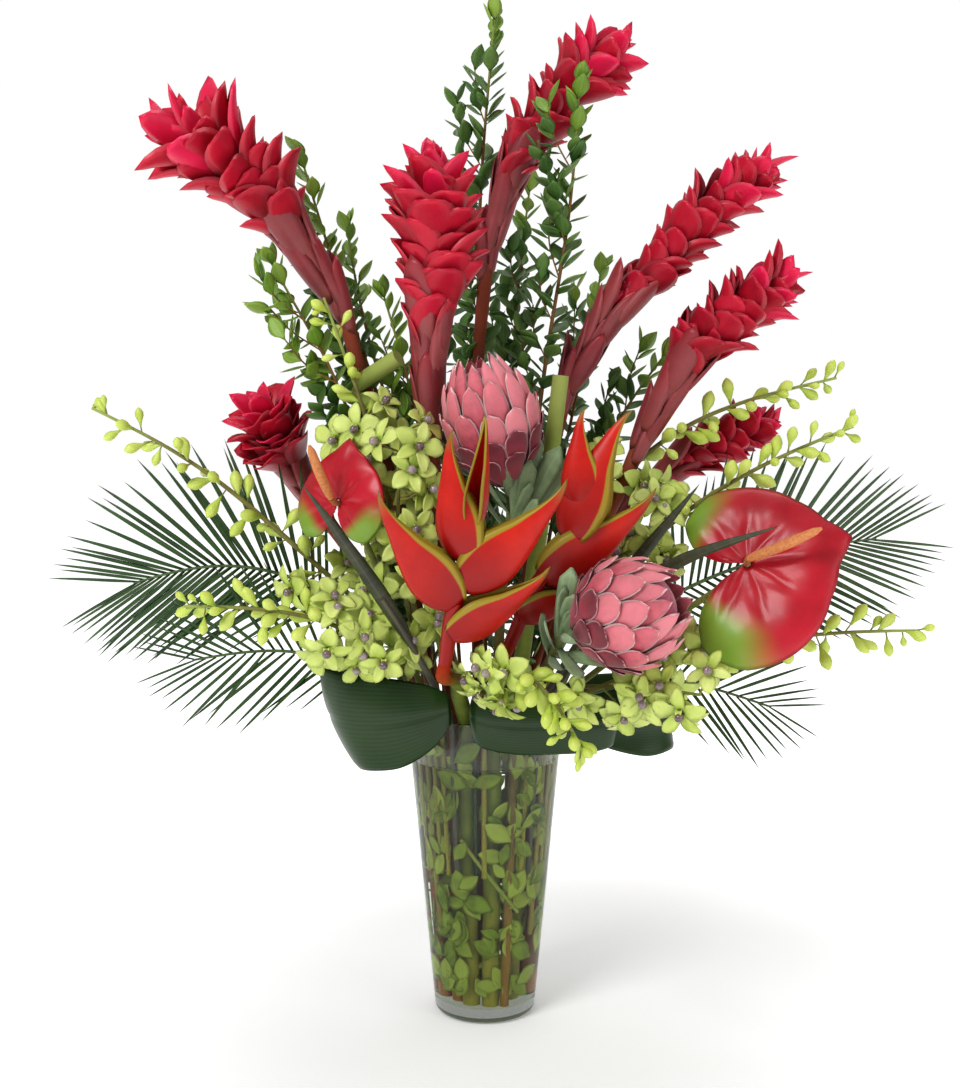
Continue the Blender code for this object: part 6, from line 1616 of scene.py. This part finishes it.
# %% Orchid sprays
def fuller_spray(name, number):
    """Between the matched flowers and buds stand smaller ones, as on a full spray."""
    flowers, buds, start = ORCHID_SPRAYS[name]
    line, draw = even_line(name), np.random.default_rng(60 + number)
    open_ones, closed_ones = [], []
    total = flowers + buds
    for i in range(2 * total):
        t = start + (1 - start) * (i / 2 + draw.uniform(0.1, 0.5)) / total
        point, run = at_fraction(line, min(t, 0.995))
        side, front = side_and_front(run)
        angle = i * 2.4 + draw.uniform(-0.9, 0.9)
        if i < 2 * flowers:
            for _ in range(6):
                angle += draw.uniform(0.5, 1.5)
                way = unit(math.cos(angle) * side + (0.35 + 0.5 * math.sin(angle)) * front + 0.35 * run)
                facing = unit(0.6 * way + 0.6 * front + 0.2 * draw.normal(size=3))
                centre, radius = point + way * draw.uniform(0.018, 0.036), draw.uniform(0.020, 0.026)
                if clear_of_broad(centre, 0.85 * radius) and not in_the_glass(centre, radius):
                    spin = draw.uniform(0, 6.28)
                    open_ones.append((point, centre, facing, *flower_axes(facing), spin, radius))
                    break
        if i >= 2 * flowers - 2:
            size = draw.uniform(0.65, 1.0) * lerp(i / 2 / total, ((0, 1.0), (0.7, 0.9), (1, 0.55)))
            way = unit(math.cos(angle) * side + (0.15 + 0.7 * math.sin(angle)) * front
                       + draw.uniform(0.0, 1.0) * run - draw.uniform(0, 0.4) * UP)
            bud = point + way * draw.uniform(0.003, 0.010)
            if clear_of_broad(bud + way * 0.012, 0.010):
                closed_ones.append((point, bud, way, side, BUD_LENGTH * size))
    return open_ones, closed_ones

def make_orchid_spray(name, number):
    """The stem, tepals, lips, throats, beads and buds of one spray."""
    open_ones, closed_ones = (a + b for a, b in zip(orchid_spots(name), fuller_spray(name, number)))
    parts = [tapered_stem(name, ORCHID_STEM, 0.0013, 0.22)]
    sepals, petals, lips, beads, columns = [], [], [], [], []
    for point, centre, facing, right, up, spin, radius in open_ones:
        for k in range(5):
            way = around(right, up, spin + 2 * math.pi * k / 5)
            (petals if k in (1, 4) else sepals).append((centre + way * 0.001, way, facing, radius * 1.02))
        lips.append((centre - facing * 0.001, unit(facing - 0.35 * up), up, radius * 0.46))
        columns.append((centre - facing * 0.003, facing, up, radius * 0.30))
        beads.append((centre + facing * 0.003 - up * 0.001, facing, up, 0.0088))
        bend = 0.5 * (point + centre) - 0.003 * facing
        parts.append(stem_piece("stalk", catmull_rom([point, bend, centre]), 0.0011, ORCHID_STEM, 6))
    for part, spots, colour, seed in ((SEPAL, sepals, ORCHID_LIME, 1), (PETAL, petals, ORCHID_LIME, 2),
                                      (LIP, lips, ORCHID_LIME, 3), (BEAD, beads, ORCHID_BEAD, 4),
                                      (COLUMN, columns, ORCHID_THROAT, 5)):
        parts.append(parts_on(part.name + "_set", part, spots, colour, 0.10, seed + 10 * number))
    for point, bud, way, _, _ in closed_ones:
        if np.linalg.norm(bud - point) > 0.001:
            parts.append(stem_piece("bud_stalk", [point, bud + 0.001 * way], 0.0007, ORCHID_STEM, 5))
    buds = [spot[1:] for spot in closed_ones]
    if buds:
        parts.append(parts_on("bud_set", BUD, buds, ORCHID_BUD, 0.05, 6 + 10 * number))
    one_piece(name + "_blooms", parts, "orchid_tepal", name)
    return len(open_ones), len(closed_ones)

for number, name in enumerate(ORCHID_SPRAYS, 1):
    print(name, "has %d flowers and %d buds" % make_orchid_spray(name, number))

# %% [markdown]
# ## The palm fronds
#
# A frond is a feather: narrow folded leaflets leave its rib in pairs, long in the middle
# and shorter at the end. Between the leaflets of the plain solid stand as many again.

# %% Palm fronds
LEAFLET = leaf("leaflet", ((0, 0.010), (0.25, 0.019), (0.6, 0.017), (0.85, 0.010), (1, 0.0)),
               ((0, -2), (0.5, 0), (1, -8)), ((0, 10), (1, 10)), thick=0.008, keel=0.45)
LEAFLET_TRIES = list(product((1.0, 0.75, 0.5), (0.10, 0.30, -0.12, 0.50, -0.34, 0.75, -0.60)))

def palm_spots(name):
    """The leaflets of the plain solid, and between each two of them one more."""
    pairs, longest, start = PALM_FRONDS[name]
    tree, line = corner_tree(name), even_line(name)
    spots, last_tilt = [], {1: 0.10, -1: 0.10}
    for i in range(2 * pairs - 1):
        t = start + (0.985 - start) * i / (2 * pairs - 2)
        point, run = at_fraction(line, t)
        share = (t - start) / (1 - start)
        length = longest * lerp(share, ((0, 0.62), (0.25, 1.0), (0.6, 0.95), (0.85, 0.70), (1.0, 0.55)))
        spread = math.radians(lerp(share, ((0, 62), (0.5, 46), (1.0, 16))))
        side, front = side_and_front(run, (0.0, -1.0, 0.35))
        for sign in (1, -1):
            outward = run * math.cos(spread) + side * sign * math.sin(spread)
            if i % 2:
                spots.append((point, unit(outward + front * last_tilt[sign]), front, length * 0.92))
                continue
            for size, tilt in LEAFLET_TRIES:
                way = unit(outward + front * tilt)
                tip = point + way * length * size - square_to(front, way) * 0.05 * length * size
                if has_corner(tree, tip):
                    spots.append((point, way, front, length * size))
                    last_tilt[sign] = tilt
                    break
    return spots

for number, name in enumerate(PALM_FRONDS, 1):
    spots = palm_spots(name)
    leaflets = parts_on(name + "_leaflets", LEAFLET, spots, PALM_GREEN, 0.03, number)
    rib = tapered_stem(name, PALM_RIB, 0.0011, 0.30)
    one_piece(name + "_feather", [rib, leaflets], "palm_leaf", name)
    print(name, "has", len(spots), "leaflets")

# %% [markdown]
# ## The myrtle
#
# Upright sprigs with small pointed leaves fill the back. In the water their lower leaves
# are pressed against the glass, so those twigs keep leaves all the way down.

# %% Myrtle leaves
MYRTLE_LEAF = leaf(
    "myrtle_leaf_form",
    ((0, 0.03), (0.10, 0.07), (0.32, 0.26), (0.5, 0.31), (0.75, 0.22), (0.92, 0.08), (1, 0.0)),
    ((0, -4), (0.5, 4), (1, 12)), ((0, 16), (1, 14)), thick=0.02, keel=0.10)
MYRTLE_TRIES = (0.0, 0.5, -0.5, 1.0, -1.0, 1.7, -1.7, 2.5, -2.5)
BACK_LIMIT = PLAIN_BOX[1][1] + 0.003
WET_LEAVES = 38
LOWEST_LEAF = 0.028

def side_leaf(point, run, side, angle, lean, length):
    """One leaf that leans off its twig at an angle round it."""
    along, normal = leaning(run, around(side, np.cross(run, side), angle), lean)
    return point, along, normal, length

def myrtle_spots(name):
    """The leaves of the plain solid, and after each two smaller ones."""
    count, size = MYRTLE_SPRIGS[name]
    tree, line = corner_tree(name), even_line(name)
    draw = np.random.default_rng(count * 31 + int(1000 * size))
    start = max(0.15, 1 - (count * 0.0125 + 0.05) / curve_length(routes[name]) * 1.5)
    spots = []
    for i in range(count):
        point, run = at_fraction(line, start + (0.99 - start) * i / (count - 1))
        side = unit(np.cross(run, (0.1, 1.0, 0.2)))
        lean = math.radians(lerp(i / count, ((0, 62), (0.7, 50), (1.0, 22))))
        length = size * lerp(i / count, ((0, 1.0), (0.75, 0.95), (1.0, 0.75))) + 0.004
        for shift in MYRTLE_TRIES:
            spot = side_leaf(point, run, side, i * 2.4 + shift, lean, length)
            if has_corner(tree, point + (spot[1] + 0.05 * spot[2]) * length):
                spots.append(spot)
                break
        for k in (1, 2):
            here, run = at_fraction(line, start + (0.99 - start) * (i + k / 3) / (count - 1))
            wide, turn = min(1.45, lean * draw.uniform(0.9, 1.4)), draw.uniform(0, 6.28)
            spots.append(side_leaf(here, run, side, turn, wide, length * draw.uniform(0.75, 1.1)))
    return spots

print("the first sprig has", len(myrtle_spots("myrtle_sprig_1")), "leaves on its own twig")

# %% [markdown]
# Side twigs make a sprig bushy, and leaves under water fill the vase. The youngest leaves,
# at the end of each sprig, are a lighter green.

# %% Myrtle sprigs
def side_twigs(name, seed):
    """Short leafy twigs that branch off a sprig; gives their lines and their leaves."""
    draw, line = np.random.default_rng(seed), even_line(name)
    length = curve_length(line)
    twigs, spots = [], []
    t = max(0.08, 1 - 0.55 / length)
    while t < 0.88:
        point, run = at_fraction(line, t)
        side = unit(np.cross(run, (draw.normal(), 1.0, draw.normal())))
        tip = point + unit(run + side * draw.uniform(0.35, 0.6)) * draw.uniform(0.050, 0.075)
        twig = resample(catmull_rom([point, 0.5 * (point + tip) + 0.006 * side, tip]), 14)
        twigs.append(twig)
        for k in range(1, 11):
            here, onward = at_fraction(twig, k / 10)
            across = unit(np.cross(onward, (0.1, 1.0, 0.2)))
            spot = side_leaf(here, onward, across, draw.uniform(0, 6.28),
                             draw.uniform(0.6, 1.2) * (1.25 - 0.06 * k), draw.uniform(0.022, 0.031))
            end = here + spot[1] * spot[3]
            if clear_of_broad(end, 0.006) and not in_the_glass(end, 0.008) and end[1] < BACK_LIMIT:
                spots.append(spot)
        t += draw.uniform(0.032, 0.048) / length
    return twigs, spots

def drowned_leaves(name, seed):
    """Leaves of a sprig under water: most pressed flat against the glass, some deeper in."""
    draw = np.random.default_rng(seed)
    slot_way = math.atan2(*in_vase(slots[name], 0.1)[1::-1])
    spots = []
    for k in range(WET_LEAVES):
        z = LOWEST_LEAF + (WATER_LEVEL + 0.020 - LOWEST_LEAF) * (k + draw.uniform(0, 1)) / WET_LEAVES
        angle = slot_way + draw.uniform(-0.9, 0.9) + 2.4 * k
        out = np.array([math.cos(angle), math.sin(angle), 0.0])
        tilt = draw.uniform(-1.4, 1.4)
        along = unit(around(UP, np.cross(UP, out), tilt))
        length = draw.uniform(0.020, 0.036)
        depth = draw.uniform(0.0024, 0.007) if k % 4 else draw.uniform(0.012, 0.035)
        middle = out * (vase_radius(z) - VASE_WALL * 0.2 - depth) + z * UP
        root = middle - along * 0.5 * length
        if min(root[2], root[2] + length * along[2]) > VASE_FLOOR + 0.004:
            spots.append((root, along, unit(out + 0.25 * draw.normal(size=3)), length))
    return spots

def make_myrtle(name, number):
    """A woody twig with side twigs, old and young leaves, and drowned leaves in the vase."""
    twigs, more = side_twigs(name, 500 + number)
    spots, end = myrtle_spots(name) + more, routes[name][-1]
    reach = 0.13 if end[0] < -0.10 else 0.05
    near_tip = [np.linalg.norm(spot[0] - end) < reach for spot in spots]
    parts = [tapered_stem(name, MYRTLE_TWIG, 0.0011, 0.30)]
    parts += [stem_piece("twig", twig, 0.0008, MYRTLE_TWIG, 6) for twig in twigs]
    for young, colour, seed in ((False, MYRTLE_GREEN, number), (True, YOUNG_GREEN, 50 + number)):
        chosen = [spot for spot, near in zip(spots, near_tip) if near == young]
        parts.append(parts_on("leaf_set", MYRTLE_LEAF, chosen, colour, 0.14, seed))
    drowned = drowned_leaves(name, 300 + number)
    parts.append(parts_on("wet_leaves", MYRTLE_LEAF, drowned, WET_GREEN, 0.05, number))
    one_piece(name + "_leafy_twig", parts, "myrtle_leaf", name)
    return len(spots)

for number, name in enumerate(MYRTLE_SPRIGS, 1):
    print(name, "has", make_myrtle(name, number), "leaves above the water")

# %% [markdown]
# ## Folded and spear-shaped leaves, and cut stems
#
# A florist folds broad leaves back on themselves to hide the rim. Their two edges are
# given as smooth curves and the leaf is stretched between them.

# %% Broad leaves
BROAD_ROWS = 56

def vein_and_sheen_lines(tree):
    """A wave across the blade, as fine as the veins of a broad leaf. Its lighter lines are partly vein colour
    and partly painted sheen.
    """
    return math_node(tree, "SINE", math_node(tree, "MULTIPLY", kept(tree, "sideways"), 70.0))

# The lighter lines on the broad leaves are partly vein colour and partly painted sheen.
wash_over(BROAD_GREEN, lambda tree: between(tree, vein_and_sheen_lines(tree), -1.0, 1.0, 0.0, 0.12),
          (0.05, 0.13, 0.02))
tree = BROAD_GREEN.node_tree
bump = tree.nodes["Principled BSDF"].inputs["Normal"].links[0].from_node
tree.links.new(math_node(tree, "MULTIPLY", vein_and_sheen_lines(tree), 0.06), bump.inputs["Height"])

def make_broad_leaf(name):
    """A blade between two smooth edges, arched between them, with its midrib sunk."""
    low, high = (resample(catmull_rom([pair[k] for pair in BROAD_LEAVES[name]]), BROAD_ROWS) for k in (0, 1))
    middle = 0.5 * (low + high)
    run = np.gradient(middle, axis=0)

    def place(row, s, v):
        side, across = unit(np.cross(run[row], (0, 0, 1))), high[row] - low[row]
        arch = 0.085 * (1 - v * v) - 0.010 * math.exp(-(v / 0.07) ** 2)
        arch += 0.006 * math.sin(0.35 * row + 2 * v) * abs(v)
        return middle[row] + 0.5 * v * across + side * np.linalg.norm(across) * arch

    blade = shell(name + "_blade", surface(BROAD_ROWS, 25, place), 0.0013, BROAD_GREEN)
    stalk = tapered_stem(name, BROAD_GREEN, 0.0012, 0.03, 10)
    return one_piece(name + "_fold", [blade, stalk], "broad_leaf", name)

for name in BROAD_LEAVES:
    print(name, "has", len(make_broad_leaf(name).data.polygons), "faces")

# %% Spear leaves and cut stems
SPEAR_WIDTH = ((0, 0.004), (0.2, 0.0135), (0.4, 0.0150), (0.6, 0.0120), (0.8, 0.0075), (1, 0.0))
SPEAR_ROWS = 28
STALK_SHARE = 0.72

def make_spear_leaf(name):
    """A narrow folded blade on the upper part of its stem."""
    line = resample(thin_line(name), 60)
    points = resample(catmull_rom([at_fraction(line, 0.34 + 0.66 * k / 5)[0] for k in range(6)]), SPEAR_ROWS)

    def place(row, s, v):
        run = unit(points[min(row + 1, SPEAR_ROWS - 1)] - points[max(row - 1, 0)])
        side = unit(np.cross(run, (0.0, 1.0, 0.35)))
        half = 0.5 * lerp(s, SPEAR_WIDTH)
        return points[row] + side * half * v + np.cross(side, run) * half * 0.55 * abs(v) ** 1.3

    blade = shell(name + "_blade", surface(SPEAR_ROWS, 9, place), 0.0015, SPEAR_GREEN)
    line = whole_stem(name)
    line = line[:int(len(line) * STALK_SHARE)]
    stalk = stem_piece(name + "_stalk", line, tapered(line, STEMS[name][0], 0.0024, 0.1), SPEAR_GREEN, 10)
    return one_piece(name + "_spear", [blade, stalk], "spear_leaf", name)

for name in ("spear_leaf_1", "spear_leaf_2", "spear_leaf_3"):
    print(name, "has", len(make_spear_leaf(name).data.polygons), "faces")

# A loose stick leans among the stems in the vase; it is kept with the second cut stem.
LOOSE_STICK = metres([(-22.6, -54.5, 188), (-6, -55.5, 164), (14, -53.5, 137), (31, -46, 113)])
for number in (1, 2):
    name = "cut_stem_%d" % number
    line = whole_stem(name, 60)
    parts = [stem_piece(name + "_line", line, STEMS[name][0], CUT_GREEN, 16)]
    if number == 2:
        parts.append(stem_piece("loose_stick", LOOSE_STICK, 0.0019, CUT_GREEN, 8))
    one_piece(name + "_stub", parts, "cut_stem", name)
    print(name, "is", round(curve_length(line), 3), "m long")

# %% [markdown]
# ## The vase and its water
#
# The vase is turned from one profile with a thick floor and a rounded foot. The water is a
# plain body without holes, because drowned stems touch it all round, and its side lies a
# hair within the glass, so that no film of air shows. Light bends where glass meets air,
# and much less where glass meets water, so each face gets the finish of what it meets:
# clear glass outside, wet glass inside, and a water side that bends nothing once more.

# %% Glass and water
GLASS_IOR = 1.38
WATER_IOR = 1.33
OVERLAP = 0.00012

def clear_material(name, tone, ior):
    """A clear finish with a faint ripple; its Metallic and Transmission Weight stay plain."""
    made = bpy.data.materials.new(name)
    made.use_nodes = True
    tree = made.node_tree
    shader = tree.nodes["Principled BSDF"]
    for key, value in (("Base Color", (*tone, 1)), ("Roughness", 0.0), ("IOR", ior), ("Metallic", 0.0),
                       ("Transmission Weight", 1.0), ("Specular IOR Level", 0.12)):
        shader.inputs[key].default_value = value
    ripple = noise_at(tree, 14.0, 1.0)
    bump = node(tree, "ShaderNodeBump", {"Strength": 0.03, "Distance": 0.001, "Height": ripple})
    tree.links.new(bump.outputs[0], shader.inputs["Normal"])
    return made

def arc(centre, radius, start, end, count):
    """Points on a rounding of a profile, between two angles in degrees."""
    turns = np.radians(np.linspace(start, end, count))
    return [(centre[0] + radius * math.cos(t), centre[1] + radius * math.sin(t)) for t in turns]

def finish_by_face(item, pick, *finishes):
    """Give each face of a turned body the finish whose number pick names."""
    for finish_of_face in finishes:
        item.data.materials.append(finish_of_face)
    for face in item.data.polygons:
        outward = face.normal.x * face.center.x + face.normal.y * face.center.y
        face.material_index = pick(face.center.z, face.normal.z, outward < 0)

def vase_finish(z, up, inner):
    """The finish of a face of the vase: wet inside, thick foot below, clear elsewhere."""
    if z < WATER_LEVEL and (inner or up > 0.5):
        return 1
    return 2 if z < VASE_FLOOR else 0

GLASS = clear_material("clear_glass_look", (0.92, 0.955, 0.915), GLASS_IOR)
WET_GLASS = clear_material("glass_against_water_look", (0.94, 0.965, 0.93), GLASS_IOR / WATER_IOR)
FOOT_GLASS = clear_material("thick_foot_glass_look", (0.09, 0.115, 0.065), GLASS_IOR)
WATER = clear_material("water_top_look", (0.97, 0.985, 0.90), WATER_IOR)
WATER_SIDE = clear_material("water_against_glass_look", (0.95, 0.975, 0.86), 1.0)

foot = arc((FOOT_RADIUS - 0.007, 0.007), 0.007, -90, 0, 8)
rim = arc((MOUTH_RADIUS - VASE_WALL / 2, VASE_HEIGHT - VASE_WALL / 2), VASE_WALL / 2, 0, 180, 9)
inner_foot = arc((vase_radius(VASE_FLOOR) - 0.004, VASE_FLOOR + 0.004), 0.004, 0, -90, 6)
inner_wall = [(vase_radius(WATER_LEVEL), WATER_LEVEL)] + inner_foot
vase = turned_body("glass_vase", [(0, 0.0)] + foot + rim + inner_wall + [(0, VASE_FLOOR)], 96, False, GLASS)
finish_by_face(vase, vase_finish, WET_GLASS, FOOT_GLASS)
one_piece("glass_vase", [vase], "vase", "vase")

# The water creeps up a little where it meets the glass.
level = [(vase_radius(WATER_LEVEL + 0.0015) + OVERLAP, WATER_LEVEL + 0.0015),
         (vase_radius(WATER_LEVEL) - 0.0012, WATER_LEVEL + 0.0002),
         (vase_radius(WATER_LEVEL) - 0.004, WATER_LEVEL), (0, WATER_LEVEL)]
bed = [(r + OVERLAP * 0.7, z - OVERLAP * 0.7) for r, z in inner_foot[::-1]]
water = turned_body("vase_water", [(0, VASE_FLOOR - OVERLAP)] + bed + level, 96, False, WATER)
finish_by_face(water, lambda z, up, inner: 0 if up > 0.5 else 1, WATER_SIDE)
one_piece("vase_water", [water], "water", "water")
print("vase and water:", len(vase.data.polygons), "and", len(water.data.polygons), "faces")

# %% [markdown]
# ## The studio
#
# A pale floor, an even white surround and three soft lights, with the camera at the
# height of the blooms, looking a little down.

# %% Tidy up the pattern parts
for part in (BRACT, LONG_BRACT, TOP_BRACT, BLUNT_LEAF, SEPAL, PETAL, LIP, BUD, BEAD, COLUMN, LEAFLET,
             MYRTLE_LEAF):
    bpy.data.objects.remove(part, do_unlink=True)

# %% Floor, light and camera
def studio_floor():
    """A pale floor that glows a little more the farther it is, so that no horizon shows."""
    data = bpy.data.meshes.new("studio_floor")
    data.from_pydata([(-12, -12, 0), (12, -12, 0), (12, 12, 0), (-12, 12, 0)], [], [(0, 1, 2, 3)])
    item = new_object("studio_floor", data)
    pale = bpy.data.materials.new("pale_floor")
    pale.use_nodes = True
    tree = pale.node_tree
    shader = tree.nodes["Principled BSDF"]
    for key, value in (("Base Color", (0.92, 0.92, 0.92, 1)), ("Roughness", 0.9),
                       ("Emission Color", (1, 1, 1, 1))):
        shader.inputs[key].default_value = value
    place = node(tree, "ShaderNodeTexCoord").outputs["Object"]
    far = node(tree, "ShaderNodeVectorMath", {0: place}, operation="LENGTH").outputs["Value"]
    tree.links.new(between(tree, far, 0.15, 0.9, 0.20, 0.75), shader.inputs["Emission Strength"])
    data.materials.append(pale)
    item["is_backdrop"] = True

def soft_light(name, place, aim, size, power):
    """A round soft lamp that is not seen itself through the glass."""
    lamp = bpy.data.lights.new(name, "AREA")
    lamp.shape, lamp.size, lamp.energy = "DISK", size, power
    item = new_object(name, lamp)
    item.location = place
    item.rotation_euler = (Vector(aim) - Vector(place)).to_track_quat("-Z", "Y").to_euler()
    item.visible_transmission = False

def white_surround(seen, shed):
    """A white surround that is seen as white, also through glass, but sheds less light."""
    world = bpy.data.worlds.new("white_surround")
    world.use_nodes = True
    tree = world.node_tree
    rays = node(tree, "ShaderNodeLightPath").outputs
    direct = math_node(tree, "MAXIMUM", rays["Is Camera Ray"], rays["Is Transmission Ray"])
    tree.links.new(between(tree, direct, 0.0, 1.0, shed, seen), tree.nodes["Background"].inputs["Strength"])
    tree.nodes["Background"].inputs["Color"].default_value = (1, 1, 1, 1)
    bpy.context.scene.world = world

studio_floor()
soft_light("key", (-1.5, -1.9, 2.4), (0, 0, 0.6), 1.3, 52)
soft_light("fill", (1.9, -1.5, 1.3), (0, 0, 0.5), 1.6, 10)
soft_light("top", (0.2, 0.6, 2.8), (0, 0, 0.5), 1.4, 16)
white_surround(1.0, 0.42)
bpy.context.scene.view_settings.view_transform = "Standard"
bpy.context.scene.view_settings.gamma = 0.90

lens = bpy.data.cameras.new("studio_camera")
lens.lens = 44.7
lens.sensor_width = 36
camera = new_object("studio_camera", lens)
camera.location = (-0.005, -1.35, 0.56)
camera.rotation_euler = (math.radians(90 - 3.7), 0, 0)
bpy.context.scene.camera = camera
print("camera at", tuple(round(x, 3) for x in camera.location))

# %% [markdown]
# The triangles of all the fine pieces are counted, in all and in the largest piece.

# %% Sizes and the end
triangles = [sum(len(face.vertices) - 2 for face in piece.data.polygons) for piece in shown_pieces()]
print("triangles in all:", sum(triangles), "and at most", max(triangles), "in a piece")
